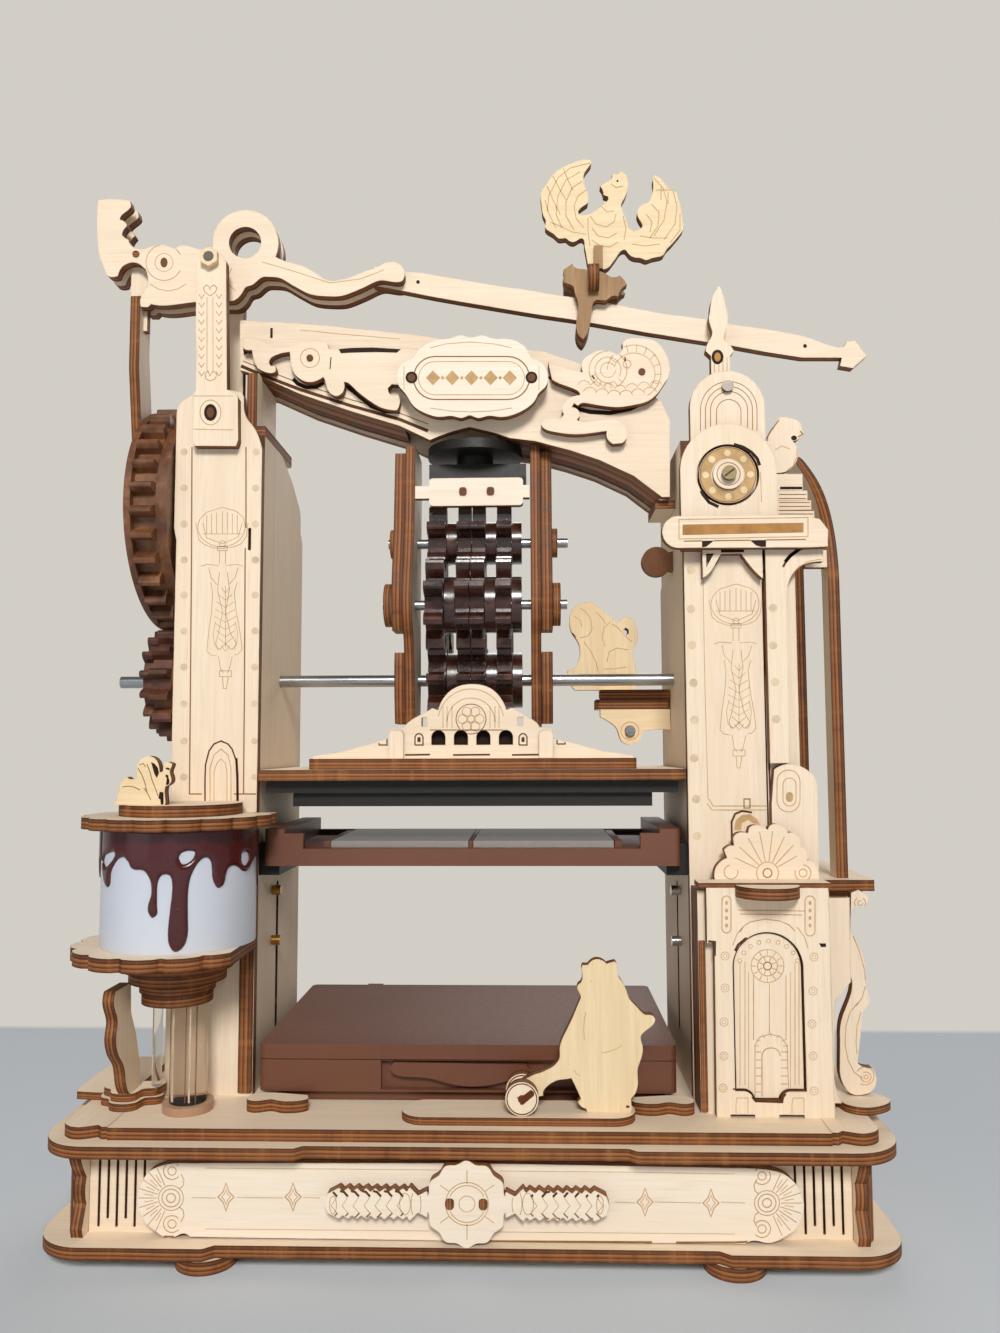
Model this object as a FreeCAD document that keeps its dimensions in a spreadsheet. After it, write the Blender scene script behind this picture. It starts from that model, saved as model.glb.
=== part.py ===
import FreeCAD, Part
import math
import os

# Hand cranked printing press model in laser-cut plywood.
# Millimetres. X to the right, Y away from the front, Z up. The outlines below are
# written from the centre of the base, its front edge and the underside of the feet;
# x_datum and y_datum move every piece so that the origin lies under the middle.

doc = FreeCAD.newDocument("PressModel")
sheet = doc.addObject("Spreadsheet::Sheet", "Params")

PARAMS = [
    # frame
    ("x_datum", -1.5855), ("y_datum", -45.935),
    # sheet material
    ("ply", 3.0), ("thin_ply", 2.0), ("clear_run", 0.05), ("gap_body", 0.3),
    # base levels
    ("z_plate", 3.3), ("z_wall", 6.3), ("wall_height", 20.7), ("z_deck_low", 27.0),
    ("z_deck_up", 30.0), ("z_deck_top", 33.0), ("foot_radius", 7.6),
    # front to back planes
    ("y_base_wall", 8.3), ("y_base_panel", 5.3), ("y_medallion", 2.3), ("y_tower", 28.5),
    ("y_tower_back", 78.0), ("y_pillar_front", 25.5), ("y_pillar_rear", 45.3),
    ("y_crossbar", 22.5), ("y_crown", 25.5), ("y_finial", 31.5), ("y_cabinet", 15.0),
    ("y_cabinet_rear", 18.0), ("y_beam_front", 40.0), ("y_beam_back", 62.0),
    ("y_scroll", 37.0), ("y_plaque", 34.0), ("y_lever_front", 33.0), ("y_lever_mid", 36.0),
    ("y_lever_back", 39.0), ("y_bear", 12.2), ("y_facade", 34.0), ("y_monkey", 64.0),
    ("y_bracket", 61.0), ("y_ornament", 26.0), ("y_wing", 20.0), ("y_figure", 8.0),
    # walls across the towers
    ("x_inner_left", -62.9), ("x_outer_left", -83.5), ("x_bearing_left", -80.5),
    ("x_inner_right", 59.9), ("x_outer_right", 87.7),
    ("wall_depth", 46.5), ("wall_top", 185.0),
    # shafts and gears
    ("shaft_y", 54.0), ("shaft_z", 148.0), ("shaft_radius", 1.8), ("axle_radius", 1.5),
    ("big_y", 54.0), ("big_z", 197.5), ("mid_y", 44.0), ("mid_z", 169.817),
    ("top_y", 51.0), ("top_z", 189.616), ("side_module", 2.2), ("small_teeth", 15),
    ("big_teeth", 30), ("mech_module", 3.0), ("pinion_teeth", 8), ("top_teeth", 6),
    ("crank_radius", 10.0), ("pin_radius", 1.5),
    # lever
    ("pivot_x", -75.0), ("pivot_z", 268.5), ("rod_pin_x", -99.8), ("rod_pin_z", 274.2),
    ("x_rod", -101.3),
    # platen and tray
    ("z_platen", 118.6), ("platen_half", 59.2), ("y_platen", 26.0), ("platen_depth", 50.5),
    ("z_pad", 111.3), ("z_tray", 95.1), ("y_tray", 28.0), ("tray_half", 57.6),
    ("z_glass", 99.8), ("glass_thick", 1.8), ("rack_line", 66.0),
    # storage case
    ("z_case", 33.3), ("case_left", -57.0), ("case_right", 55.0), ("case_front", 24.0),
    ("case_back", 93.0), ("case_wall", 1.6), ("z_lid", 44.4), ("lid_height", 3.9),
    ("hinge_y", 95.0), ("hinge_z", 44.2),
    # lamp
    ("lamp_x", -77.9), ("lamp_y", 19.5), ("lamp_radius", 20.0), ("shade_wall", 0.8),
    ("z_shelf_low", 71.5), ("z_shade", 76.3), ("shade_height", 30.6), ("z_ring", 103.5),
    ("z_shelf_top", 107.0), ("tube_x", -74.2), ("tube_y", 18.5), ("tube_radius", 4.8),
    # dial, roller
    ("dial_x", 72.1), ("dial_z", 203.3), ("dial_radius", 8.0), ("y_dial", 25.4),
    ("roller_x", 13.9), ("roller_z", 39.25), ("roller_radius", 4.2),
]
for row, (name, value) in enumerate(PARAMS, 1):
    sheet.set("A%d" % row, name)
    sheet.set("B%d" % row, "%g" % value)
    sheet.setAlias("B%d" % row, name)
doc.recompute()


def val(name):
    return float(sheet.get(name))


V = FreeCAD.Vector
ply = val("ply")

# ---------------------------------------------------------------- outlines (mm)
OUT = {
    "lever": [
        (-107.5, 291.5), (-103.3, 291.1), (-102, 290.7), (-101.7, 289.2), (-102.6, 287.9),
        (-104.4, 286.4), (-104.9, 284.9), (-103.4, 284.2), (-102.8, 283), (-103.9, 281.5),
        (-104.2, 280.2), (-103.3, 279.3), (-102, 278.6), (-102, 278), (-101.1, 276.8),
        (-99.9, 276.1), (-98.1, 275.8), (-95.7, 276.3), (-93.6, 276.9), (-91.5, 276.9),
        (-89.6, 276.2), (-88.1, 275.6), (-86.7, 276.5), (-84.9, 276.6), (-83, 276.1),
        (-80.9, 275.4), (-78.5, 275.4), (-76.5, 274.6), (-76.9, 277.2), (-76.7, 279.7),
        (-75.8, 282.1), (-74.3, 284.2), (-72.4, 285.8), (-70.1, 286.8), (-67.6, 287.2),
        (-65.1, 286.9), (-62.7, 286), (-60.6, 284.5), (-58.9, 282.5), (-57.8, 280.1),
        (-57.2, 277.6), (-57.3, 275), (-58, 272.6), (-54, 270.9), (-51, 270.1), (-48.1, 268.8),
        (-45.3, 266.9), (-42.3, 265.1), (-39.6, 265), (-35.5, 266), (-32.3, 267.3),
        (-28.7, 268.5), (-26.5, 269.6), (-25.5, 270.1), (-23.1, 270.4), (-20.7, 269.2),
        (-19.8, 267.5), (-19.7, 266), (-20.2, 264.7), (-22.5, 264.2), (-25.9, 264.8),
        (-28.1, 264.5), (-31, 263.1), (-34.4, 261.6), (-37.8, 260.4), (-41.2, 260.2),
        (-45.2, 260.5), (-48.1, 261.2), (-50.9, 262.7), (-53.9, 264.5), (-56.7, 266.1),
        (-59.6, 266.5), (-61.6, 266.5), (-63.1, 265.6), (-64.9, 264.1), (-66.7, 263.5),
        (-67.8, 261.7), (-69.9, 259.6), (-71.7, 259.3), (-76.7, 259.4), (-81.8, 259.2),
        (-86.3, 258.7), (-90.7, 258.3), (-94.9, 258.8), (-95.8, 257.9), (-97.9, 258),
        (-97.7, 261.9), (-96, 265.6), (-96.4, 268.4), (-96.7, 269.3), (-97.6, 270.2),
        (-98.8, 271.2), (-100.7, 271.7), (-102.2, 271.4), (-103.6, 270.6), (-104.5, 269.4),
        (-105.1, 267.6), (-106.9, 267.3), (-108.4, 268), (-109.3, 270.1), (-110.6, 273.2),
        (-111.3, 277.3), (-111.8, 281.9), (-111.9, 286.6), (-111.8, 289.7), (-111.7, 291.2),],
    "arm": [
        (-29.2, 270.7), (-19.9, 268.8), (-14.3, 268.3), (-2.9, 265.9), (8.6, 263.9),
        (22.8, 261.3), (44.1, 257.3), (56.1, 254.6), (68.1, 252.8), (76, 251.1), (85.9, 249.5),
        (96.6, 247.3), (100.6, 245.7), (106, 243.8), (108.6, 243.8), (109.5, 245.3),
        (111.9, 245.7), (115.1, 240.9), (111, 237.3), (107.3, 238), (107.6, 239.2),
        (107.9, 240.5), (96.4, 240.7), (85.7, 242.6), (75.9, 244.6), (67.9, 246), (52.3, 248.8),
        (36.6, 251.9), (29.5, 253.3), (19.8, 254.9), (8.6, 257), (-2.9, 259.2), (-11.4, 260.9),
        (-20.6, 262.9), (-29.2, 264.6),],
    "eagle": [
        (35.6, 302.1), (34, 302.4), (31.7, 302), (29.4, 301.2), (26.6, 299.9), (24.2, 297.9),
        (22.3, 295.3), (20.9, 293), (20.5, 291.2), (20.8, 288.4), (21.2, 285.5), (22, 283.5),
        (21.8, 281.8), (22.7, 280.6), (24.5, 279.4), (26, 278.1), (27.8, 278.2), (28.7, 277.5),
        (30.3, 277), (31.8, 277.8), (32.8, 278), (33.4, 277.1), (33.4, 276), (33.8, 273.5),
        (34.3, 270.3), (34.9, 269.3), (37.6, 268.4), (40.3, 268.9), (41.5, 270.3),
        (42.7, 271.9), (43.9, 273.7), (45.4, 274.3), (45.9, 273.7), (46.9, 272.5),
        (48.5, 271.8), (50, 271.6), (51.5, 271), (53.1, 271.5), (55, 271.9), (56.6, 272.5),
        (57.6, 274.1), (58.9, 275.5), (60.5, 277.4), (62.5, 280), (62.7, 281), (62.4, 283.5),
        (62.1, 286.7), (61.3, 289.6), (60.4, 292), (58.5, 293.1), (57, 295.3), (55.2, 296.8),
        (54.3, 297), (53.9, 295.8), (54, 293.8), (53.6, 291.3), (52.4, 288.9), (50.2, 287.8),
        (49.2, 286.1), (49.4, 284.1), (50.5, 282.1), (50.3, 280.9), (48.2, 280.1),
        (46.6, 280.9), (46.1, 283), (45.2, 285.4), (44.4, 287.9), (45.2, 289.9), (46.2, 292.3),
        (46.6, 295.2), (46.1, 297.2), (44.5, 298.6), (43.2, 297.7), (41.8, 297.8),
        (41.4, 296.1), (40, 295.3), (38.2, 294.1), (39, 292.7), (39.2, 291.3), (40.5, 290.8),
        (40.4, 289.6), (39, 288.4), (37.4, 287), (35, 285.6), (32.7, 285.2), (31.7, 285.9),
        (31.8, 286.7), (33.1, 287.9), (34.5, 288.9), (34.5, 292.1), (33.6, 294.6),
        (33.4, 297.5), (34.4, 299.5), (35.6, 301.1),],
    "perch": [
        (27.4, 263.2), (27.2, 263.8), (27, 267), (29.7, 268.9), (30.8, 267.5), (34.3, 267),
        (38.9, 265.9), (40.8, 264.7), (43.5, 265), (44.6, 263.8), (45.5, 262.3), (43.7, 260.7),
        (42.8, 258.7), (40.7, 258.6), (39.2, 257.6), (36.9, 257.8), (35.6, 256.8),
        (34.9, 252.3), (34, 248.5), (32.5, 246.1), (30.8, 248.5), (30.8, 252.4), (31.2, 257.2),
        (30.3, 260.1), (29.7, 262.1),],
    "bear": [
        (29.7, 71.8), (31, 71.8), (32, 72.8), (32.9, 73.2), (34.3, 73.1), (35.8, 72.1),
        (36.7, 72.4), (37.9, 72.7), (38.6, 71.5), (38.7, 69.2), (39.6, 67.8), (41, 64.8),
        (41.7, 63.1), (43.3, 61.4), (45.4, 59.4), (46.8, 59.3), (48, 58.4), (47.5, 56.9),
        (45.9, 55.6), (44.3, 54), (44.4, 52.8), (44.8, 51.1), (44.3, 48.4), (43.4, 45.6),
        (43.4, 42.2), (42.4, 39.3), (41.7, 38.5), (41.8, 35.9), (41.3, 35), (30.4, 34.9),
        (30.2, 35.9), (28.9, 36.5), (28.1, 37.6), (28.9, 38.4), (27.8, 40.9), (26.5, 43.5),
        (24.9, 43.2), (22.9, 42.9), (21.1, 42), (19.6, 40.6), (19.3, 39.1), (17.2, 38.5),
        (13.9, 38.2), (12.9, 39.2), (13.1, 41.4), (14.9, 43.2), (17.3, 44.4), (18.4, 44.7),
        (20.5, 45.6), (21.8, 46.3), (23.5, 48.3), (23.6, 50.9), (24.7, 54.1), (26.5, 57.6),
        (27.7, 60.2), (28.7, 62.5), (29.1, 64), (28.3, 65.7), (28.5, 66.8), (29.2, 67.4),
        (29.6, 69.1), (29.4, 70.6),],
    "monkey": [
        (30.2, 171.5), (32.4, 172.7), (35.6, 173.3), (38.7, 171.4), (42.4, 168.2), (44, 166.9),
        (46.5, 168.5), (49, 167.5), (50.5, 163.7), (50.2, 160.5), (48.9, 158), (50, 151.1),
        (49.3, 145.4), (30.6, 145.5), (28.4, 148.7), (28.4, 151.8), (31.3, 153.7),
        (32.3, 158.1), (31.3, 161.3), (29.5, 164.2), (29.2, 169.2),],
    "cub": [
        (83.7, 213.5), (84.3, 214.9), (85.8, 217.8), (87.9, 221), (88.7, 221.6), (91.3, 221.2),
        (93.2, 220.6), (94.3, 219.4), (94.6, 217.7), (95.1, 216.8), (94.2, 215.7),
        (93.1, 214.8), (91.9, 214.5), (92.8, 213.1), (93.3, 211.3), (92.9, 209), (91.8, 207.2),
        (90, 205.8), (88, 205.3), (83.5, 205.3),],
    "finial": [
        (71.9, 260.7), (70.7, 258.8), (69.5, 255.7), (69.1, 252.7), (68.8, 250.8),
        (69.5, 247.8), (69.6, 246), (68.6, 244.1), (67.7, 241.3), (69.2, 239.8), (69.1, 234.5),
        (74.5, 234.4), (74.6, 239.7), (75.8, 241.2), (74.4, 243.4), (73, 244.7), (73.2, 246.3),
        (73.8, 248.4), (74.3, 251.3), (73.8, 254.4), (73, 258.2),],
    "panel": [
        (-79.1, 22.4), (-77.1, 23.4), (-74.8, 24.1), (-70.3, 24.4), (0.3, 25), (68.7, 24.4),
        (74.7, 24), (78.4, 22.9), (80.7, 21), (82.1, 18.9), (82.8, 15.8), (82.2, 13),
        (80.9, 10.4), (79.2, 9), (76.8, 7.6), (73.8, 6.8), (71.2, 7.3), (68.3, 6.5), (0.3, 6.5),
        (-68.7, 6.7), (-70.9, 7.4), (-73.2, 6.4), (-75.7, 6.8), (-77.5, 8), (-79.3, 9.2),
        (-80.8, 11.1), (-81.9, 13.5), (-82.2, 15.9), (-81.8, 18.5), (-80.6, 20.7),],
    "shell": [
        (66, 91.3), (65.8, 94.7), (67.2, 96.8), (69.1, 97.9), (68.3, 100), (69.7, 101.1),
        (71, 101.1), (70.8, 103.2), (72.1, 104.5), (74.8, 104.5), (75.1, 105.8), (76.7, 106.6),
        (78.8, 106.1), (80.2, 105.3), (80.7, 106.4), (82.1, 106.9), (84.4, 106.1),
        (85.5, 104.5), (87.1, 104.5), (88.6, 103.2), (88.8, 101), (90.4, 100.2), (90.6, 98.4),
        (90.3, 97.3), (91.9, 96.8), (93.2, 94.7), (93.1, 91),],
    "side_orn": [
        (102.8, 88.2), (104.7, 89), (106.8, 87.9), (107.2, 86), (106.1, 84.4), (104.3, 84.7),
        (102.9, 83.6), (102.5, 78.3), (103.5, 76.2), (105, 73.1), (105.9, 69.1), (106, 63.9),
        (106.7, 60.5), (106.4, 58.4), (105, 56.8), (104.3, 52.1), (103.6, 46.9), (103.2, 43.5),
        (104.8, 42.5), (106.9, 42.3), (107.9, 40.5), (107.8, 37.9), (106.4, 36.1), (104, 35.3),
        (101.4, 35.5), (99.4, 37.6), (98.4, 41.7), (98.7, 49.5), (99.4, 55.2), (100.8, 58.6),
        (102.2, 62.6), (101.8, 66.5), (102.1, 75.7),],
    "lcap": [
        (-79.3, 228.6), (-78.4, 229.8), (-79.2, 267.1), (-78.1, 269.5), (-76.3, 271.3),
        (-74.3, 271.5), (-72.2, 270.3), (-70.4, 267.6), (-69.5, 229.7), (-67.7, 229.1),
        (-66.3, 227.3), (-66, 215), (-66.6, 213.3), (-78.6, 213.5), (-79.3, 215.2),],
    "fig": [
        (-92.0, 112.0), (-91.0, 114.3), (-90.5, 116.7), (-90.0, 118.2), (-88.5, 119.3),
        (-87.4, 118.7), (-85.8, 119.2), (-86.0, 120.8), (-85.9, 122.6), (-84.9, 123.9),
        (-83.4, 124.7), (-81.8, 124.4), (-80.7, 123.4), (-80.1, 121.8), (-79.9, 120.4),
        (-79.1, 120.8), (-78.9, 122.3), (-78.6, 123.1), (-77.6, 123.1), (-76.7, 122.6),
        (-77.0, 121.6), (-77.3, 120.5), (-76.9, 119.2), (-76.9, 118.0), (-77.6, 117.2),
        (-78.3, 116.9), (-78.5, 115.1), (-78.3, 113.6), (-78.3, 112.0),],
    "beamf": [
        (-70.4, 256.6), (-63.6, 256), (-52.1, 255.2), (-43, 254.2), (-21.9, 251.7),
        (21.6, 245.1), (33.4, 241), (43.8, 236.9), (51.1, 233.1), (56, 229.4), (58.3, 223.9),
        (57.9, 200.8), (55.6, 200.8), (52.1, 203.5), (47.5, 207.2), (37.5, 212.1),
        (28.7, 215.2), (18.4, 218.1), (11, 219.1), (6.6, 220.7), (-0.9, 222.6), (-7.4, 220.9),
        (-12.8, 218.8), (-21.7, 223.2), (-36.7, 228), (-51.8, 233.4), (-64, 239.1),
        (-70.1, 241),],
    "scroll_l": [
        (-68.4, 246.6), (-67.2, 246), (-65.7, 246), (-65.1, 242.9), (-63.8, 240.4),
        (-61.7, 239.2), (-59.6, 238.8), (-58.4, 239.7), (-58.7, 241), (-59.9, 241),
        (-60.5, 242.2), (-60, 243.4), (-58.5, 244.3), (-56.7, 244.9), (-54.3, 245.2),
        (-53.9, 241.2), (-53, 238.7), (-51.2, 236.9), (-48.8, 235.9), (-46.4, 236.2),
        (-44.3, 237.4), (-43.7, 236.2), (-43.1, 234), (-42.2, 232.5), (-40.4, 231.5),
        (-38.9, 232.1), (-38, 233.6), (-38.1, 235.8), (-36.3, 235.1), (-34.5, 233.3),
        (-32.7, 231.7), (-30.3, 229.9), (-27.3, 228), (-24.3, 227.1), (-22.3, 227),
        (-21.4, 229.5), (-22, 231.6), (-23.5, 231.3), (-24.6, 232.2), (-25, 233.7),
        (-23.8, 234.9), (-21.4, 234.6), (-18.4, 238.5), (-15.5, 245.5), (-17.9, 245.8),
        (-30.4, 246.3), (-42.6, 245.9), (-43.2, 247.7), (-45.9, 248.7), (-49.8, 248.5),
        (-52.8, 247.6), (-55.8, 246.7), (-59.7, 247.1), (-62.7, 248.7), (-65.8, 249.6),
        (-68.5, 249.7),],
    "scroll_r": [
        (22.4, 240.9), (25.9, 239.6), (30.3, 238.1), (32.6, 237.7), (32.4, 240.8),
        (33.9, 242.5), (36.8, 244), (40.1, 244), (42.7, 242.7), (44.2, 244.2), (44.2, 246.3),
        (46.6, 247.8), (50.1, 247.7), (53.9, 246.8), (56.5, 244), (57.9, 240.4), (57.8, 236.4),
        (56.3, 233.7), (54.5, 231.1), (51.6, 228.7), (47.5, 227.6), (42.8, 227), (38.7, 227.4),
        (35.2, 228), (32.6, 228.4), (31.1, 227.5), (29.9, 228.4), (29.3, 227.2), (31.1, 226.3),
        (31.6, 224.5), (30.7, 223.3), (34.5, 222.9), (38.9, 223.5), (42.7, 223.1), (45, 221),
        (45.3, 218.3), (43.8, 216.2), (41.2, 216), (39.5, 217.8), (39.5, 219.9), (36.9, 219.6),
        (33, 219.1), (28.7, 219.1), (24.3, 219.8), (21.4, 220.7), (20.2, 222.2), (21.4, 223.7),
        (23.7, 224), (25.8, 223.7), (27, 225.1), (26.4, 227), (27.6, 229.3), (29.9, 230.5),
        (31.7, 230.8), (31.1, 232), (27.6, 233.6), (23.5, 235.7),],
    "plaque": [
        (-21.9, 235.9), (-21.3, 238.9), (-19.6, 240.7), (-17.5, 241.6), (-16.3, 243.4),
        (-13.7, 245.7), (-9.9, 247.2), (-6.3, 247.4), (-3.4, 248.3), (-0.2, 247.6),
        (3.1, 248.2), (6, 247.2), (10.4, 246.9), (14.2, 245.6), (16.5, 243.1), (17.7, 241),
        (20, 240.1), (21.7, 238), (22.3, 235.3), (21.7, 232.6), (19.6, 230.5), (18.5, 228.4),
        (16.1, 226.1), (12.6, 224.3), (8.2, 223.5), (4.8, 223.9), (1.8, 223.3), (-0.5, 224.1),
        (-2.8, 223.4), (-5.7, 224), (-9.3, 223.8), (-13.6, 225), (-16.9, 227.1), (-18.6, 229.6),
        (-19.8, 231.4), (-21.3, 233.2),],
}


# ---------------------------------------------------------------- sketch geometry
def line(a, b):
    return Part.LineSegment(V(a[0], a[1], 0), V(b[0], b[1], 0))


def circ(x, y, r):
    return [Part.Circle(V(x, y, 0), V(0, 0, 1), r)]


def spline(pts):
    par = [0.0]
    for a, b in zip(pts, pts[1:]):
        par.append(par[-1] + math.sqrt(math.hypot(b[0] - a[0], b[1] - a[1])))
    c = Part.BSplineCurve()
    c.interpolate(Points=[V(q[0], q[1], 0) for q in pts], Parameters=par)
    return c


def turn(a, b, c):
    u = (b[0] - a[0], b[1] - a[1])
    w = (c[0] - b[0], c[1] - b[1])
    d = (u[0] * w[0] + u[1] * w[1]) / (math.hypot(*u) * math.hypot(*w))
    return math.degrees(math.acos(max(-1.0, min(1.0, d))))


def smooth(pts, corner=48.0, long_edge=7.0):
    # closed outline: smooth runs between sharp corners, long edges straight
    n = len(pts)
    brk = set()
    for i in range(n):
        a, b, c = pts[i - 1], pts[i], pts[(i + 1) % n]
        if turn(a, b, c) > corner:
            brk.add(i)
        if math.hypot(c[0] - b[0], c[1] - b[1]) > long_edge:
            brk.add(i)
            brk.add((i + 1) % n)
    if not brk:
        brk = {0}
    start = min(brk)
    order = [(start + k) % n for k in range(n)] + [start]
    geo, run = [], [order[0]]
    for k in order[1:]:
        run.append(k)
        if k in brk:
            q = [pts[j] for j in run]
            geo.append(line(q[0], q[1]) if len(q) == 2 else spline(q))
            run = [k]
    return geo


def poly(pts, r=0.0):
    # closed polygon, each corner rounded by r, or by the third number of a point
    n = len(pts)
    ends, arcs = [], []
    for i in range(n):
        a, b, c = pts[i - 1], pts[i], pts[(i + 1) % n]
        rad = b[2] if len(b) > 2 else r
        t = math.radians(turn(a, b, c))
        if rad <= 0 or t < 0.02:
            ends.append((b[:2], b[:2]))
            arcs.append(None)
            continue
        d = rad * math.tan(t / 2)
        la, lc = math.hypot(a[0] - b[0], a[1] - b[1]), math.hypot(c[0] - b[0], c[1] - b[1])
        d = min(d, 0.49 * la, 0.49 * lc)
        rad = d / math.tan(t / 2)
        ua = ((a[0] - b[0]) / la, (a[1] - b[1]) / la)
        uc = ((c[0] - b[0]) / lc, (c[1] - b[1]) / lc)
        p, q = (b[0] + ua[0] * d, b[1] + ua[1] * d), (b[0] + uc[0] * d, b[1] + uc[1] * d)
        bis = (ua[0] + uc[0], ua[1] + uc[1])
        lb = math.hypot(*bis)
        h = rad / math.cos(t / 2) - rad
        m = (b[0] + bis[0] / lb * h, b[1] + bis[1] / lb * h)
        ends.append((p, q))
        arcs.append((p, m, q))
    geo = []
    for i in range(n):
        if arcs[i]:
            p, m, q = arcs[i]
            geo.append(Part.Arc(V(p[0], p[1], 0), V(m[0], m[1], 0), V(q[0], q[1], 0)))
        s, e = ends[i][1], ends[(i + 1) % n][0]
        if math.hypot(e[0] - s[0], e[1] - s[1]) > 1e-6:
            geo.append(line(s, e))
    return geo


def rect(x0, y0, x1, y1, r=0.0):
    return poly([(x0, y0), (x1, y0), (x1, y1), (x0, y1)], r)


def arch(x0, x1, y0, ytop):
    r = (x1 - x0) / 2.0
    ys = ytop - r
    return [line((x0, ys), (x0, y0)), line((x0, y0), (x1, y0)), line((x1, y0), (x1, ys)),
            Part.Arc(V(x1, ys, 0), V(x0 + r, ytop, 0), V(x0, ys, 0))]


def polar(cx, cy, r, a):
    return (cx + r * math.cos(math.radians(a)), cy + r * math.sin(math.radians(a)))


# ---------------------------------------------------------------- pieces
ROLE = {"XY": "XY_Plane", "XZ": "XZ_Plane", "YZ": "YZ_Plane"}
serial = [0]


def place(obj, x="0", y="0", z="0"):
    obj.setExpression("Placement.Base.x", "Params.x_datum + %s" % x)
    obj.setExpression("Placement.Base.y", "Params.y_datum + %s" % y)
    obj.setExpression("Placement.Base.z", "0 + %s" % z)


def plate(label, plane, at, loops, thick="Params.ply", depth=0.0):
    """A cut sheet. plane XZ faces the front and grows back from Y = at,
    YZ grows to +X from X = at, XY grows up from Z = at."""
    serial[0] += 1
    body = doc.addObject("PartDesign::Body", "Plate%03d" % serial[0])
    body.Label = label
    sk = body.newObject("Sketcher::SketchObject", "Outline%03d" % serial[0])
    pl = [f for f in body.Origin.OriginFeatures if f.Role == ROLE[plane]][0]
    sk.AttachmentSupport = (pl, [""])
    sk.MapMode = "FlatFace"
    for geo in loops:
        sk.addGeometry(geo, False)
    pad = body.newObject("PartDesign::Pad", "Sheet%03d" % serial[0])
    pad.Profile = sk
    pad.setExpression("Length", thick)
    pad.Reversed = plane == "XZ"
    body.Tip = pad
    if plane == "XZ":
        place(body, y=at)
    elif plane == "YZ":
        place(body, x=at)
    else:
        place(body, z=at)
    return body


def rod(label, axis, radius, length, x, y, z):
    """A round bar along an axis from a start point; all sizes are sheet expressions."""
    serial[0] += 1
    c = doc.addObject("Part::Cylinder", "Rod%03d" % serial[0])
    c.Label = label
    if axis == "X":
        c.Placement.Rotation = FreeCAD.Rotation(V(0, 1, 0), 90)
    elif axis == "Y":
        c.Placement.Rotation = FreeCAD.Rotation(V(1, 0, 0), -90)
    c.setExpression("Radius", str(radius))
    c.setExpression("Height", str(length))
    place(c, str(x), str(y), str(z))
    return c


def block(label, x0, y0, z0, dx, dy, dz):
    serial[0] += 1
    b = doc.addObject("Part::Box", "Block%03d" % serial[0])
    b.Label = label
    b.setExpression("Length", str(dx))
    b.setExpression("Width", str(dy))
    b.setExpression("Height", str(dz))
    place(b, str(x0), str(y0), str(z0))
    return b


def cut(label, base, tool):
    serial[0] += 1
    c = doc.addObject("Part::Cut", "Cut%03d" % serial[0])
    c.Label = label
    c.Base, c.Tool = base, tool
    return c


def join(label, objs):
    """One solid from pieces that are cut from a single sheet."""
    serial[0] += 1
    f = doc.addObject("Part::MultiFuse", "Joined%03d" % serial[0])
    f.Label = label
    f.Shapes = objs
    return f


def group(label, objs):
    serial[0] += 1
    g = doc.addObject("Part::Compound", "Set%03d" % serial[0])
    g.Label = label
    g.Links = objs
    return g


NODES = {}


def node(label, *objs):
    """Adds pieces to a named sub-part."""
    NODES.setdefault(label, []).extend(objs)


def settle():
    """One object for each sub-part: the piece itself, or a compound of its pieces."""
    for label, objs in NODES.items():
        if len(objs) == 1:
            objs[0].Label = label
            NODES[label] = objs[0]
        else:
            for k, o in enumerate(objs, 1):
                o.Label = "%s_%d" % (label, k)
            NODES[label] = group(label, objs)


# ---------------------------------------------------------------- gears
def gear_outline(cx, cy, module, teeth, phase, add=0.74, ded=1.0, wide=0.40, top=0.20):
    """Chunky cut teeth: straight flanks from a wide root to a narrow tip. phase is the
    direction of one tooth, degrees. Widths are shares of the tooth pitch."""
    rp = module * teeth / 2.0
    step = 360.0 / teeth
    pts = []
    for k in range(int(teeth)):
        a = phase + k * step
        for r, w in ((rp - ded * module, wide * 1.28), (rp, wide), (rp + add * module * 0.75, top * 1.18),
                     (rp + add * module, top * 0.7)):
            pts.append((r, a - w * step / 2))
        for r, w in ((rp + add * module, top * 0.7), (rp + add * module * 0.75, top * 1.18), (rp, wide),
                     (rp - ded * module, wide * 1.28)):
            pts.append((r, a + w * step / 2))
    return [polar(cx, cy, r, a) for r, a in pts]


def mesh_phase(c1, n1, ph1, c2, n2):
    """Direction of a tooth of gear 2 so that its gap meets a tooth of gear 1."""
    d = math.degrees(math.atan2(c2[1] - c1[1], c2[0] - c1[0]))
    off = (ph1 - d) % (360.0 / n1)
    return d + 180.0 - off * n1 / n2 + 180.0 / n2


shaft_c = (val("shaft_y"), val("shaft_z"))
big_c = (val("big_y"), val("big_z"))
mid_c = (val("mid_y"), val("mid_z"))
top_c = (val("top_y"), val("top_z"))
ph_small = 6.0
ph_big = mesh_phase(shaft_c, 15, ph_small, big_c, 30)
ph_pin = 0.0
ph_mid = mesh_phase(shaft_c, 8, ph_pin, mid_c, 8)
ph_top = mesh_phase(mid_c, 8, ph_mid, top_c, 6)
run = val("clear_run")
r_shaft, r_axle = val("shaft_radius"), val("axle_radius")

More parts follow.
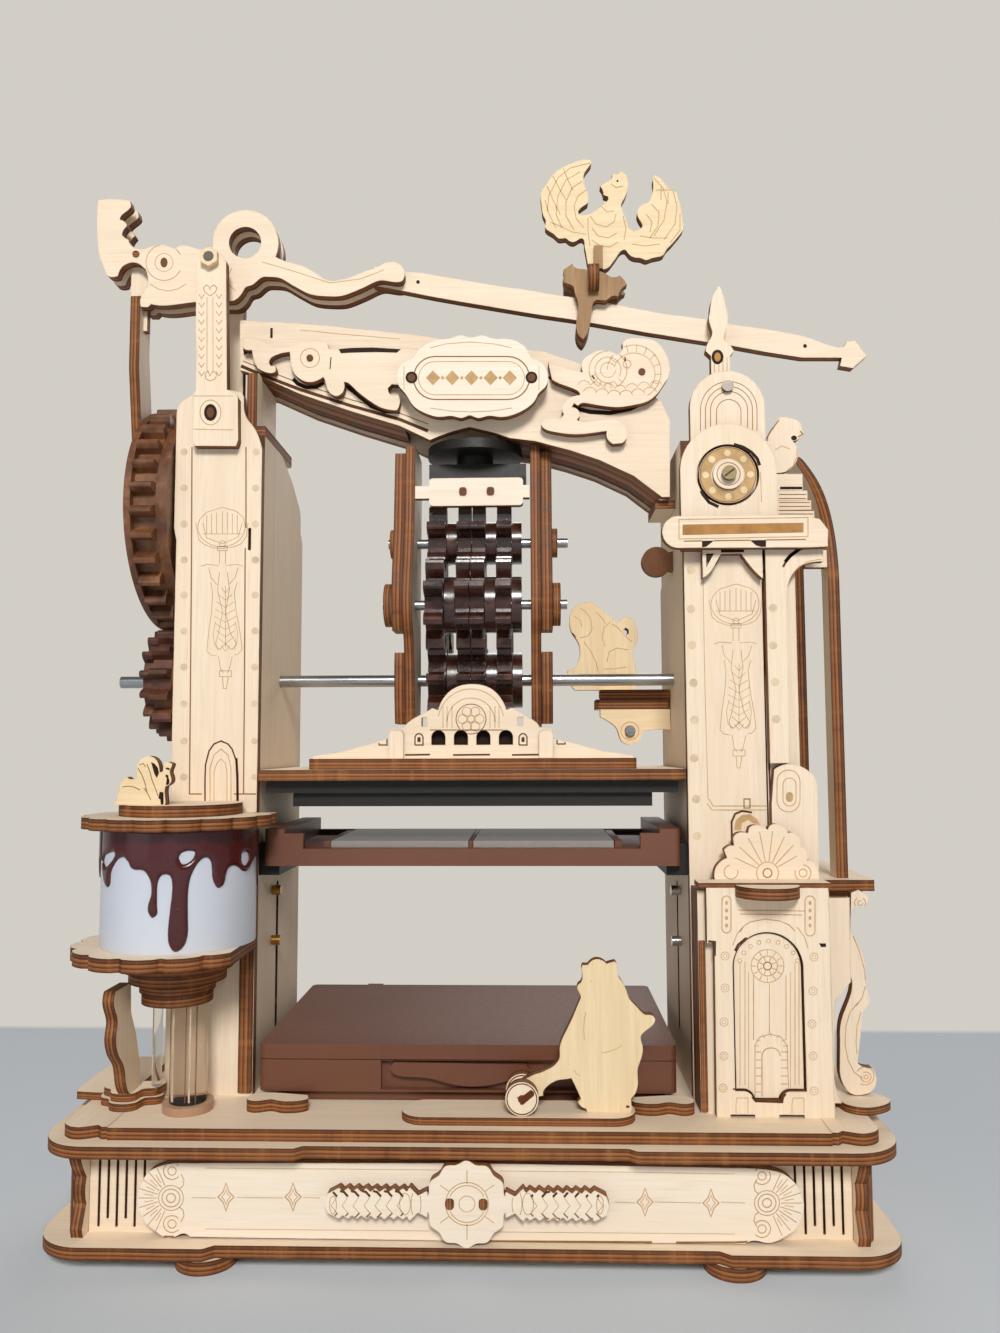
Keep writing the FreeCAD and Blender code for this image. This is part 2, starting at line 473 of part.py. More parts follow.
# ---------------------------------------------------------------- base
base_plan = [(-108, 0, 13), (-64, 0, 1.2), (-61.5, 2, 1.2), (61.5, 2, 1.2), (64, 0, 1.2),
             (108, 0, 13), (108, 58, 8), (88, 58, 3), (88, 98, 6), (-88, 98, 6), (-88, 58, 3),
             (-108, 58, 8)]
node("base_plate", plate("p", "XY", "Params.z_plate", [poly(base_plan)]))
feet = [rod("f", "Z", "Params.foot_radius", "Params.z_plate", x, y, 0)
        for x, y in ((-65, 7.4), (66, 7.4), (-65, 84), (66, 84))]
node("base_feet", *feet)

kerf = []
for k, x in enumerate((-93.0, -90.7, -88.4, -86.1, -83.8, -81.5)):
    z0 = 7.6 if k % 2 == 0 else 9.6
    kerf += rect(x - 0.3, z0, x + 0.3, 26.0)
    kerf += rect(-x - 0.3, z0, -x + 0.3, 26.0)
node("base_walls", plate("p", "XZ", "Params.y_base_wall",
                              [rect(-95.4, 6.3, 95.4, 27.0), kerf]))
bracket = [(8.3, 6.3), (5.0, 6.3), (4.2, 8.6), (5.3, 11.0), (6.6, 14.0), (5.6, 17.0), (6.3, 20.5),
           (4.0, 23.6), (2.2, 27.0), (14.0, 27.0), (14.0, 6.3)]
node("base_walls",
     plate("p", "YZ", "0 - 98.5", [smooth(bracket, 40, 5.0)]),
     plate("p", "YZ", "95.5", [smooth(bracket, 40, 5.0)]))
side = [(-98.9, 6.8), (-100.6, 9.0), (-101.4, 12.0), (-101.6, 16.0), (-101.6, 54.4),
        (-99.0, 54.4), (-99.0, 16.0), (-99.0, 12.8), (-98.9, 11.0)]
node("base_walls",
     plate("p", "XY", "Params.z_wall", [smooth(side, 40, 8.0)], "Params.wall_height"),
     plate("p", "XY", "Params.z_wall", [smooth([(-a, b) for a, b in side[::-1]], 40, 8.0)],
           "Params.wall_height"))
node("base_walls",
     *[plate("p", "XY", "Params.z_wall", [rect(*r)], "Params.wall_height")
       for r in ((-99.0, 54.5, -84.0, 57.0), (84.0, 54.5, 99.0, 57.0), (-86.6, 57.0, -84.0, 94.0),
                 (84.0, 57.0, 86.6, 94.0), (-86.6, 94.0, 86.6, 96.6))])
node("base_front_panel", plate("p", "XZ", "Params.y_base_panel", [smooth(OUT["panel"], 42)]))

medal = []
for k in range(72):
    a = k * 5.0
    medal.append(polar(0.3, 16.5, 9.9 + 0.35 * math.cos(math.radians(a * 12)), a))
rope_l = [(-9.2, 19.6), (-11.6, 18.4), (-13.6, 20.4)] + \
    [(-15.2 - k * 2.25 + (0.0 if j else 0.9), 20.1 if j else 19.2) for k in range(8) for j in (0, 1)] + \
    [(-33.9, 18.6), (-34.6, 16.4), (-33.9, 14.2)] + \
    [(-15.2 - k * 2.25 + (0.0 if j else 0.9), 12.7 if j else 13.6) for k in reversed(range(8)) for j in (1, 0)] + \
    [(-13.6, 12.4), (-11.6, 14.4), (-9.2, 13.2)]
rope_r = [(0.6 - a, b) for a, b in rope_l]
node("base_medallion",
     join("medal", [plate("p", "XZ", "Params.y_medallion",
                          [smooth(medal, 60), rect(-4.9, 15.2, -2.7, 17.8, 0.9),
                           rect(3.3, 15.2, 5.5, 17.8, 0.9)]),
                    plate("p", "XZ", "Params.y_medallion", [poly(rope_l, 0.3)]),
                    plate("p", "XZ", "Params.y_medallion", [poly(rope_r, 0.3)])]),
     plate("p", "XZ", "Params.y_medallion - 0.4", [rect(-4.8, 15.3, -2.8, 17.7, 0.8)]),
     plate("p", "XZ", "Params.y_medallion - 0.4", [rect(3.4, 15.3, 5.4, 17.7, 0.8)]))

# ---------------------------------------------------------------- decks
low_plan = [(-107.6, 0.3, 13), (-42, 0.3, 1.2), (-40, 2, 1.2), (40, 2, 1.2), (42, 0.3, 1.2),
            (107.6, 0.3, 13), (107.6, 58, 8), (88, 58, 3), (88, 97.6, 6), (-88, 97.6, 6),
            (-88, 58, 3), (-107.6, 58, 8)]
node("lower_deck", plate("p", "XY", "Params.z_deck_low", [poly(low_plan)]))
up_plan = [(-90, 4.7), (90, 4.7), (90, 56), (84, 56), (84, 95.6, 4), (-84, 95.6, 4),
           (-84, 56), (-90, 56)]
node("upper_deck", plate("p", "XY", "Params.z_deck_up", [poly(up_plan)]))
trim = [(-90.1, 5.4), (-91.6, 5.2), (-93.0, 6.6), (-94.8, 5.7), (-97.5, 4.9), (-100.3, 5.9),
        (-102.3, 8.2), (-102.6, 11.5), (-102.6, 55.8), (-90.1, 55.8)]
raised = [(-92.0, 25.6), (-94.0, 27.2), (-96.0, 25.0), (-101.5, 24.6), (-107.0, 25.4),
          (-107.8, 28.0), (-107.8, 54.0), (-105.0, 57.0), (-92.0, 57.0)]
raised_r = [(92.0, 57.0), (105.0, 57.0), (107.8, 54.0), (107.8, 28.4), (109.6, 26.8),
            (110.6, 24.0), (109.4, 21.0), (106.2, 18.4), (102.7, 17.2), (99.6, 18.0),
            (97.6, 20.4), (96.9, 23.6), (95.2, 26.6), (94.7, 29.0), (92.0, 29.0)]
lamp_foot = [(-99.2, 23.0), (-98.0, 20.6), (-96.0, 19.6), (-94.6, 17.0), (-90.8, 15.6),
             (-87.6, 17.2), (-86.6, 20.6), (-84.0, 21.4), (-82.6, 24.4),
             (-99.0, 24.4)]

foot_top = [(-98.4, 28.0), (-98.0, 22.4), (-96.0, 21.0), (-94.8, 18.4), (-91.4, 17.2),
            (-88.4, 18.4), (-87.4, 21.6), (-84.6, 22.4), (-83.2, 25.4), (-83.4, 28.2)]


def flip(pts):
    return [(-a, b) for a, b in pts[::-1]]


node("deck_fittings",
     plate("p", "XY", "Params.z_deck_up", [smooth(trim, 45)]),
     plate("p", "XY", "Params.z_deck_up", [smooth(flip(trim), 45)]),
     plate("p", "XY", "Params.z_deck_top", [smooth(raised, 45)], "Params.thin_ply"),
     plate("p", "XY", "Params.z_deck_top", [smooth(raised_r, 45)], "Params.thin_ply"))
clip_l = [(-58.6, 18.8), (-57.6, 16.6), (-54.8, 16.0), (-52.0, 17.2), (-49.0, 16.0),
          (-44.5, 16.2), (-42.2, 18.2), (-43.0, 20.8), (-47.0, 21.6), (-51.5, 22.4),
          (-56.4, 22.6)]
node("deck_fittings",
     plate("p", "XY", "Params.z_deck_top", [smooth(clip_l, 60)]),
     plate("p", "XY", "Params.z_deck_top", [smooth(flip(clip_l), 60)]))

# ---------------------------------------------------------------- front figure and roller
node("deck_fittings", plate("p", "XY", "Params.z_deck_top",
                           [poly([(-17.0, 8.0), (42.8, 8.0), (42.8, 21.0), (-17.0, 21.0)], 6.0)],
                           "Params.thin_ply"))
paw = []
for x, z in OUT["bear"]:
    d = math.hypot(x - val("roller_x"), z - val("roller_z"))
    if d < 2.6:
        x, z = (val("roller_x") + (x - val("roller_x")) * 2.6 / d,
                val("roller_z") + (z - val("roller_z")) * 2.6 / d)
    paw.append((round(x, 2), round(max(z, 35.0), 2)))
bear = plate("p", "XZ", "Params.y_bear", [smooth(paw, 44),
                                         circ(val("roller_x"), val("roller_z"), 1.05)])
node("bear_figure", bear)
node("ink_roller",
     plate("p", "XZ", "Params.y_bear - 3.3", [circ(val("roller_x"), val("roller_z"), 4.2),
                                              circ(val("roller_x"), val("roller_z"), 1.03)]),
     plate("p", "XZ", "Params.y_bear + 3.3", [circ(val("roller_x"), val("roller_z"), 4.2),
                                              circ(val("roller_x"), val("roller_z"), 1.03)]),
     rod("r", "Y", 1.0, 9.6, "Params.roller_x", "Params.y_bear - 3.3", "Params.roller_z"))

# ---------------------------------------------------------------- storage case
cl, cr, cf, cb = val("case_left"), val("case_right"), val("case_front"), val("case_back")
w = val("case_wall")
zc, zl = val("z_case"), val("z_lid")
floor_ = plate("case_floor", "XY", "Params.z_case + 2.6",
               [rect(cl, cf, cr, cb, 2.0)], "Params.z_lid - 0.2 - Params.z_case - 2.6")
hollow = block("case_hollow", "Params.case_left + Params.case_wall",
               "Params.case_front + 3.6", "Params.z_case + 4.4",
               "Params.case_right - Params.case_left - 2 * Params.case_wall",
               "Params.case_back - Params.case_front - 3.6 - Params.case_wall", 12)
recess = block("case_recess", -24, "Params.case_front - 1", "Params.z_case + 3.2", 55, 3.2, 7.6)
tub = cut("case_tub", cut("case_shell", floor_, hollow), recess)
runners = [block("r", -52, cf + 2, "Params.z_case", 104, 5, 2.6),
           block("r", -52, cb - 8, "Params.z_case", 104, 5, 2.6)]
grip = [(-20.5, 43.6), (-21.6, 42.4), (-19.6, 40.2), (-12.0, 39.6), (-6.0, 38.2), (0.5, 37.4),
        (7.0, 38.2), (12.5, 39.8), (16.0, 41.6), (15.0, 43.2)]
handle = plate("h", "XZ", "Params.case_front", [smooth(grip, 50, 9.0)], "2.1")


def knuckle(x0, tab_down, bore, length):
    hy, hz = val("hinge_y"), val("hinge_z")
    if tab_down:
        pts = [line((hy - 2.0, hz - 6.0), (hy, hz - 6.0)), line((hy, hz - 6.0), (hy + 1.9, hz)),
               Part.Arc(V(hy + 1.9, hz, 0), V(hy, hz + 1.9, 0), V(hy - 1.9, hz, 0)),
               line((hy - 1.9, hz), (hy - 2.0, hz - 6.0))]
    else:
        pts = [line((hy - 2.0, hz + 4.0), (hy - 1.9, hz)),
               Part.Arc(V(hy - 1.9, hz, 0), V(hy, hz - 1.9, 0), V(hy + 1.9, hz, 0)),
               line((hy + 1.9, hz), (hy, hz + 4.0)), line((hy, hz + 4.0), (hy - 2.0, hz + 4.0))]
    return plate("k", "YZ", "0 + %g" % x0, [pts, circ(hy, hz, bore)], "%g" % length)


node("storage_case", tub)
node("case_fittings", runners[0], runners[1], handle,
     knuckle(-44, True, 1.03, 5), knuckle(-33.4, True, 1.03, 5),
     knuckle(26.4, True, 1.03, 5), knuckle(37, True, 1.03, 5),
     rod("pin", "X", 1.0, 15.6, -44, "Params.hinge_y", "Params.hinge_z"),
     rod("pin", "X", 1.0, 15.6, 26.4, "Params.hinge_y", "Params.hinge_z"))
lid_top = plate("lid_block", "XY", "Params.z_lid", [rect(cl, cf, cr, cb, 2.0)], "Params.lid_height")
lid_hollow = block("lid_hollow", "Params.case_left + Params.case_wall",
                   "Params.case_front + Params.case_wall", "Params.z_lid - 1",
                   "Params.case_right - Params.case_left - 2 * Params.case_wall",
                   "Params.case_back - Params.case_front - 2 * Params.case_wall", 3.2)
node("storage_case_lid", cut("lid_shell", lid_top, lid_hollow),
     knuckle(-38.7, False, 1.05, 5), knuckle(31.7, False, 1.05, 5))

# ---------------------------------------------------------------- left tower
sy, sz = shaft_c
ltf = [(-84.2, 33.0), (-84.2, 187.0), (-84.9, 190.5), (-84.9, 220.9), (-84.9, 224.3),
       (-84.0, 227.1), (-81.1, 229.1), (-80.3, 229.6), (-69.5, 230.7), (-66.6, 230.1),
       (-65.5, 228.6), (-65.3, 224.8), (-64.1, 221.8), (-62.4, 219.7), (-60.9, 216.8),
       (-59.9, 213.0), (-59.9, 33.0)]
node("left_tower_front", plate("p", "XZ", "Params.y_tower",
                               [smooth(ltf, 40), rect(-63.5, 183.9, -62.7, 190.3)]))
y0, y1 = 31.5, 78.0
wall_hole = circ(sy, sz, r_shaft + run)
inner = [(y0, 33.0), (y1, 33.0), (y1, 206.0, 5), (66.0, 213.0, 5), (52.0, 218.0, 3), (y0, 218.0)]
guide = rect(52.0, 45.0, 54.6, 88.0, 1.2)
node("left_tower_walls", plate("p", "YZ", "Params.x_inner_left",
                                    [poly(inner), wall_hole, guide]))
node("left_tower_walls",
     plate("p", "YZ", "Params.x_outer_left",
           [poly(inner), wall_hole, circ(big_c[0], big_c[1], r_shaft + run)]),
     plate("p", "YZ", "Params.x_bearing_left",
           [poly([(42, 185.5), (66, 185.5), (66, 209.5), (42, 209.5)], 4),
            circ(big_c[0], big_c[1], r_shaft + run)]),
     plate("p", "YZ", "Params.x_bearing_left",
           [poly([(45, 139), (63, 139), (63, 157), (45, 157)], 4), wall_hole]))
node("left_tower_walls", plate("p", "XZ", "Params.y_tower_back",
                              [poly([(-83.5, 33), (-59.9, 33), (-59.9, 204, 8), (-83.5, 204, 8)])]))
node("left_tower_walls", plate("p", "XY", "218", [poly([(-83.5, 31.6), (-59.9, 31.6), (-59.9, 66, 2), (-83.5, 66, 2)])]))
px, pz = val("pivot_x"), val("pivot_z")
node("left_tower_pillars", plate("p", "XZ", "Params.y_pillar_front",
                                      [smooth(OUT["lcap"], 40), circ(px, pz, 1.53)]))
rear_p = [(-79.3, 221.0), (-79.2, 267.1), (-78.1, 269.5), (-76.3, 271.3), (-74.3, 271.5),
          (-72.2, 270.3), (-70.8, 267.6), (-70.6, 221.0)]
node("left_tower_pillars", plate("p", "XZ", "Params.y_pillar_rear",
                                     [smooth(rear_p, 40), circ(px, pz, 1.53)]))
node("pins_and_screws",
     rod("p", "Y", 1.5, 26.6, "Params.pivot_x", "Params.y_pillar_front - 1.9", "Params.pivot_z"),
     plate("p", "XZ", "Params.y_pillar_front - 1.9", [poly([polar(px, pz, 2.9, 30 + 60 * k) for k in range(6)], 0.3),
                                                      circ(px, pz, 1.53)], "1.8"),
     plate("p", "XZ", "Params.y_pillar_rear + 3.1", [poly([polar(px, pz, 2.9, 30 + 60 * k) for k in range(6)], 0.3),
                                                     circ(px, pz, 1.53)], "1.8"))
node("left_tower_walls", plate("p", "YZ", "Params.x_inner_left - 3",
                              [poly([(33.4, 221.0), (38.8, 221.0), (38.8, 238.0, 1.5), (33.4, 238.0, 1.5)])]))

# ---------------------------------------------------------------- lamp
lx, ly, lr = val("lamp_x"), val("lamp_y"), val("lamp_radius")


def scallop(r0, amp, count, y_cut, extra=None, skip=()):
    """Plan of a scalloped shelf round the lamp, cut flat at the tower's front."""
    pts = []
    a0 = math.degrees(math.asin((y_cut - ly) / r0))
    n = count * 8
    for k in range(n + 1):
        a = 180.0 - a0 + (180.0 + 2 * a0) * k / n
        r = r0 + amp * abs(math.sin(math.pi * count * k / n)) ** 0.6
        pts.append(polar(lx, ly, r, a))
    pts[0] = (pts[0][0], y_cut)
    pts[-1] = (pts[-1][0], y_cut)
    return pts


def d_ring(ro, ri, ycut):
    ao, ai = math.degrees(math.asin((ycut - ly) / ro)), math.degrees(math.asin((ycut - ly) / ri))
    o0, o1 = polar(lx, ly, ro, ao), polar(lx, ly, ro, 180 - ao)
    i0, i1 = polar(lx, ly, ri, ai), polar(lx, ly, ri, 180 - ai)
    om, im = (lx, ly - ro), (lx, ly - ri)
    return [Part.Arc(V(o0[0], o0[1], 0), V(om[0], om[1], 0), V(o1[0], o1[1], 0)), line(o1, i1),
            Part.Arc(V(i1[0], i1[1], 0), V(im[0], im[1], 0), V(i0[0], i0[1], 0)), line(i0, o0)]


def d_disc(ro, ycut):
    ao = math.degrees(math.asin((ycut - ly) / ro))
    o0, o1 = polar(lx, ly, ro, ao), polar(lx, ly, ro, 180 - ao)
    return [Part.Arc(V(o0[0], o0[1], 0), V(lx, ly - ro, 0), V(o1[0], o1[1], 0)), line(o1, o0)]


def cut_right(pts, xc):
    """The same plan, cut straight at the right where the inner wall begins."""
    out = []
    for (xa, ya), (xb, yb) in zip(pts, pts[1:]):
        out.append((xa, ya))
        if xa <= xc < xb:
            f = (xc - xa) / (xb - xa)
            out.append((xc, ya + (yb - ya) * f))
            break
    return out + [(xc, pts[-1][1])]


low_a = smooth(cut_right([(x - 1.6, y) for x, y in scallop(24.0, 1.6, 9, 28.4)], -59.3), 70, 9)
node("lamp_stand", plate("p", "XY", "Params.z_shelf_low + 1.4", [low_a], "3.4"))
up_a = smooth([(x, min(y, 25.2) if x > -59.7 else y) for x, y in scallop(23.6, 1.6, 11, 28.4)] +
              [(-59.8, 25.2), (-59.8, 28.4)], 70, 9)
node("lamp_top_shelf",
     plate("p", "XY", "Params.z_shelf_top", [up_a]),
     plate("p", "XY", "Params.z_shelf_top + Params.ply", [d_disc(16.0, 28.4)]),
     plate("p", "XY", "Params.z_ring", [d_ring(18.8, 15.0, 28.4)], "Params.z_shelf_top - Params.z_ring"))
node("lamp_shade", plate("p", "XY", "Params.z_shade", [d_ring(lr, lr - 0.8, 28.3)],
                         "Params.shade_height"))
arm_br = [(6.4, 66.0), (6.0, 62.0), (8.2, 58.0), (7.4, 54.0), (9.6, 49.0), (13.0, 45.5),
          (14.6, 41.0), (17.6, 37.0), (24.6, 37.0), (23.8, 44.0), (20.6, 52.0), (17.0, 58.0),
          (16.4, 66.0)]
node("lamp_stand",
     plate("p", "XY", "Params.z_shelf_low - 1.9", [circ(lx, ly, 14.4)] if ly + 14.4 < 28.4 else
           [d_disc(14.4, 28.4)], "3.3"),
     plate("p", "XY", "Params.z_shelf_low - 5", [d_disc(12.6, 28.4)], "3.1"),
     plate("p", "XY", "Params.z_shelf_low - 7.7", [d_disc(9.8, 28.4)], "2.7"),
     plate("p", "XY", "Params.z_shelf_low - 10.7", [d_disc(9.2, 28.4)], "3"),
     plate("p", "YZ", "0 - 92.4", [smooth(arm_br, 50)]),
     plate("p", "XY", "Params.z_deck_top", [smooth(lamp_foot, 60)], "Params.thin_ply"),
     plate("p", "XY", "Params.z_deck_top + Params.thin_ply", [smooth(foot_top, 60)], "Params.thin_ply"))
node("lamp_tubes",
     rod("t", "Z", "Params.tube_radius", 25.6, "Params.tube_x", "Params.tube_y", 35.2),
     plate("t", "XY", "Params.z_deck_top", [circ(val("tube_x"), val("tube_y"), 6.6)], "2.2"),
     rod("t", "Z", 1.3, 21.8, -82.7, "Params.tube_y", 39.0))
node("lamp_figure", plate("p", "XZ", "Params.y_figure",
                           [smooth([(x, z + 1.0) for x, z in OUT["fig"]], 50)]))

# ---------------------------------------------------------------- side gears
def g(label, x, module, centre, teeth, phase, thick, bore, **kw):
    return plate(label, "YZ", x, [poly(gear_outline(centre[0], centre[1], module, teeth, phase, **kw), 0.12),
                                  circ(centre[0], centre[1], bore)], thick)


def disc(label, x, centre, r, thick, bore):
    return plate(label, "YZ", x, [circ(centre[0], centre[1], r), circ(centre[0], centre[1], bore)], thick)


bb = r_shaft + 0.03
node("large_gear",
     disc("d", "0 - 96.7", big_c, 33.4, "1.9", bb),
     g("g", "0 - 94.8", 2.2, big_c, 30, ph_big, "3.1", bb),
     g("g", "0 - 91.7", 2.2, big_c, 30, ph_big, "3.1", bb),
     disc("d", "0 - 88.6", big_c, 30.6, "3.1", bb))
cy_pin = big_c[0] - val("crank_radius")
node("large_gear_axle",
     rod("a", "X", "Params.shaft_radius", 23.1, -98.6, "Params.big_y", "Params.big_z"),
     rod("a", "X", "Params.pin_radius", 8.2, -104.9, "Params.big_y - Params.crank_radius",
         "Params.big_z"))
node("small_gear",
     g("g", "0 - 97.9", 1.91, shaft_c, 15, ph_small, "3.4", bb),
     g("g", "0 - 94.5", 2.2, shaft_c, 15, ph_small, "2.8", bb),
     g("g", "0 - 91.7", 2.2, shaft_c, 15, ph_small, "2.8", bb),
     disc("d", "0 - 88.9", shaft_c, 13.8, "2.7", bb))
node("drive_shaft", rod("s", "X", "Params.shaft_radius", 175.3, -109.3, "Params.shaft_y",
                        "Params.shaft_z"))

# ---------------------------------------------------------------- centre gear train
COLS = [(-13.8, 5.4), (-4.9, 4.0), (-0.6, 4.0), (6.8, 4.4)]
DISCS = [(-8.2, 3.0), (3.6, 3.0), (11.4, 2.8)]


def train(centre, teeth, phase, bore, disc_r):
    out = []
    for x, t in COLS:
        out.append(g("g", "0 + %g" % x, 3.0, centre, teeth, phase, "%g" % t, bore))
    for x, t in DISCS:
        out.append(disc("d", "0 + %g" % x, centre, disc_r, "%g" % t, bore))
    return out


ab = r_axle + 0.03
node("drive_pinions", *train(shaft_c, 8, ph_pin, bb, 8.4))
node("middle_gears", *train(mid_c, 8, ph_mid, ab, 8.4))
node("top_gears", *train(top_c, 6, ph_top, ab, 6.4))
node("middle_axle", rod("a", "X", "Params.axle_radius", 54.6, -27.0, "Params.mid_y", "Params.mid_z"))
node("top_axle", rod("a", "X", "Params.axle_radius", 54.6, -26.4, "Params.top_y", "Params.top_z"))

# cheeks: knee shaped side plates that hang from the beam and carry the three axles
cheek = [(44.0, 218.2), (43.0, 205.0), (41.0, 190.0), (38.2, 180.0), (36.6, 174.5), (36.2, 169.5),
         (37.4, 164.5), (40.4, 160.0), (43.4, 150.0), (45.4, 138.0), (46.6, 127.4), (58.0, 127.4),
         (59.6, 138.0), (60.6, 150.0), (59.6, 170.0), (60.6, 190.0), (61.6, 205.0), (61.6, 218.2)]
outer_p = [(46.0, 216.6), (44.4, 204.0), (42.6, 190.0), (39.6, 179.0), (39.0, 170.0), (41.0, 162.0),
           (50.0, 162.0), (53.0, 175.0), (57.4, 185.0), (58.0, 200.0), (58.0, 216.6)]
low_o = [(46.4, 156.0), (46.0, 148.0), (47.0, 140.0), (48.2, 134.8), (58.6, 134.8), (60.0, 148.0), (59.4, 156.0)]
ch = [circ(sy, sz, r_shaft + run), circ(mid_c[0], mid_c[1], r_axle + run),
      circ(top_c[0], top_c[1], r_axle + run)]
ou = [circ(mid_c[0], mid_c[1], r_axle + run), circ(top_c[0], top_c[1], r_axle + run)]
lo = [circ(sy, sz, r_shaft + run)]
node("mechanism_cheeks",
     plate("p", "YZ", "0 - 20.5", [smooth(cheek, 40, 16)] + ch),
     plate("p", "YZ", "0 - 23.9", [smooth(outer_p, 40, 20)] + ou, "3.3"),
     plate("p", "YZ", "0 - 23.9", [smooth(low_o, 40, 20)] + lo, "3.3"))
node("mechanism_cheeks",
     plate("p", "YZ", "16.9", [smooth(cheek, 40, 16)] + ch),
     plate("p", "YZ", "20", [smooth(outer_p, 40, 20)] + ou, "3.3"),
     plate("p", "YZ", "20", [smooth(low_o, 40, 20)] + lo, "3.3"))
node("mechanism_cheeks",
     disc("b", "0 - 26.2", mid_c, 6.4, "2.2", r_axle + run),
     disc("b", "23.4", mid_c, 6.4, "2.2", r_axle + run),
     disc("b", "0 - 25.6", top_c, 4.4, "1.6", r_axle + run),
     disc("b", "23.4", top_c, 4.4, "1.6", r_axle + run))
cross = [(-13.2, 199.3, 1.4), (14.8, 199.3, 1.4), (14.8, 201.6), (16.7, 201.6), (16.7, 205.4),
         (14.8, 205.4), (14.8, 207.7, 1.4), (-13.2, 207.7, 1.4), (-13.2, 205.4), (-17.4, 205.4),
         (-17.4, 201.6), (-13.2, 201.6)]
node("mechanism_cross_plate",
     plate("p", "XZ", "41.9", [poly(cross)], "2.6"),
     plate("p", "XZ", "41.5", [rect(-4.2, 202.4, -2.0, 204.8, 0.8)], "0.4"),
     plate("p", "XZ", "41.5", [rect(4.0, 202.4, 6.2, 204.8, 0.8)], "0.4"))
node("ram_block",
     plate("p", "XY", "215.9", [circ(0, 52, 14.4)], "2.8"),
     rod("r", "Z", 5.6, 2.6, 0, 52, 213.3),
     block("r", -13.7, 47, 209.2, 29.4, 10, 4.1))

# ---------------------------------------------------------------- platen
ph = val("platen_half")
node("platen_plate", plate("p", "XY", "Params.z_platen", [rect(-ph, 26.0, ph, 76.5, 1.2)]))
node("platen_pad",
     block("p", -57.4, 29.5, "Params.z_platen - 3.5", 114.8, 45, 3.5),
     block("p", -50.4, 31.5, "Params.z_pad", 100.8, 42, "Params.z_platen - 3.5 - Params.z_pad"))
fac = [(-45.5, 124.6), (-45.5, 125.3), (-37.0, 126.6), (-27.4, 129.2), (-23.6, 130.4),
       (-23.6, 133.0), (-19.4, 133.4), (-17.2, 135.6), (-13.6, 137.6), (-11.4, 138.9),
       (-9.6, 138.3), (-8.6, 141.0), (-6.2, 143.8), (-3.2, 145.3), (0.0, 145.7), (3.2, 145.3),
       (6.2, 143.8), (8.6, 141.0), (9.7, 138.3), (11.6, 138.9), (13.7, 137.5), (17.2, 135.5),
       (19.2, 133.4), (22.9, 133.0), (22.9, 130.2), (27.0, 129.2), (37.0, 126.6), (45.5, 125.2),
       (45.5, 124.6)]
wins = []
for c in (-9.6, -3.2, 3.2, 9.6):
    wins += arch(c - 2.0, c + 2.0, 128.4, 132.6)
wins2 = rect(-14.4, 133.7, -12.9, 136.2) + rect(13.0, 133.7, 14.5, 136.2)
node("platen_facade",
     plate("p", "XZ", "Params.y_facade", [smooth(fac, 32, 6.0), wins, wins2]),
     plate("p", "XZ", "Params.y_facade - 1.2", [poly([(-23.6, 124.6), (-19.4, 124.6), (-19.4, 132.6, 1.4), (-23.6, 132.6, 1.4)])], "1.2"),
     plate("p", "XZ", "Params.y_facade - 1.2", [poly([(18.9, 124.6), (23.0, 124.6), (23.0, 132.4, 1.4), (18.9, 132.4, 1.4)])], "1.2"),
     plate("p", "XY", "Params.z_platen + Params.ply", [rect(-46.4, 30.4, 46.4, 39.4, 3.5)]))


def rack(x, t):
    m, yl, zc_ = 3.0, val("rack_line"), val("shaft_z")
    pit = math.pi * m
    pts = [(76.0, 121.6), (76.0, 164.4), (yl + 3.0, 164.4)]
    for k in (1, 0, -1, -2):
        c = zc_ + pit * (k + 0.5)
        for y, wd in ((yl + 3.0, 0.27), (yl, 0.19), (yl - 1.7, 0.115), (yl - 2.2, 0.075)):
            pts.append((y, c + wd * pit))
        for y, wd in ((yl - 2.2, 0.075), (yl - 1.7, 0.115), (yl, 0.19), (yl + 3.0, 0.27)):
            pts.append((y, c - wd * pit))
    pts += [(yl + 3.0, 121.6)]
    return plate("r", "YZ", "0 + %g" % x, [poly(pts, 0.1)], "%g" % t)


node("platen_racks", rack(-13.8, 5.4), rack(6.8, 4.4),
     plate("r", "XY", "Params.z_platen + Params.ply", [rect(-8.2, 66.4, 6.6, 75.6, 1.0)]))

# ---------------------------------------------------------------- type tray
th = val("tray_half")
tray_body = plate("tray_block", "XY", "Params.z_tray", [rect(-th, 28.0, th, 77.0, 1.6)], "10.1")
t1 = block("tray_hollow", -51.8, 30.2, "Params.z_glass", 103.6, 44.6, 9)
t2 = block("tray_front_cut", -46.6, 27, "Params.z_glass", 93.2, 5, 9)
t3 = block("tray_low_rim", -51.9, 27, 104.0, 103.8, 6, 5)
t4 = block("tray_back_cut", -51.8, 74.0, 101.5, 103.6, 4, 5)
tray = cut("tray_d", cut("tray_c", cut("tray_b", cut("tray_a", tray_body, t1), t2), t3), t4)
node("type_tray", tray,
     block("b", -42.0, 34, "Params.z_glass", 2.0, 38, "1.6"),
     block("b", 40.0, 34, "Params.z_glass", 2.0, 38, "1.6"))
node("tray_glass", block("gl", -39.6, 32.4, "Params.z_glass", 38.6, 42, "Params.glass_thick"),
     block("gl", 0.4, 32.4, "Params.z_glass", 39.2, 42, "Params.glass_thick"))
node("type_tray", block("dv", -0.8, 32.4, "Params.z_glass", 1.0, 42, "Params.glass_thick"))
rail_l = [(-59.9, 92.2), (-54.0, 92.2), (-54.0, 94.8), (-57.9, 94.8), (-57.9, 101.0), (-59.9, 101.0)]
rails = []
for pts in (rail_l, flip(rail_l)):
    rails.append(plate("r", "XZ", "31.5 + 0.1", [poly(pts)], "45"))
node("tray_rails", *rails)

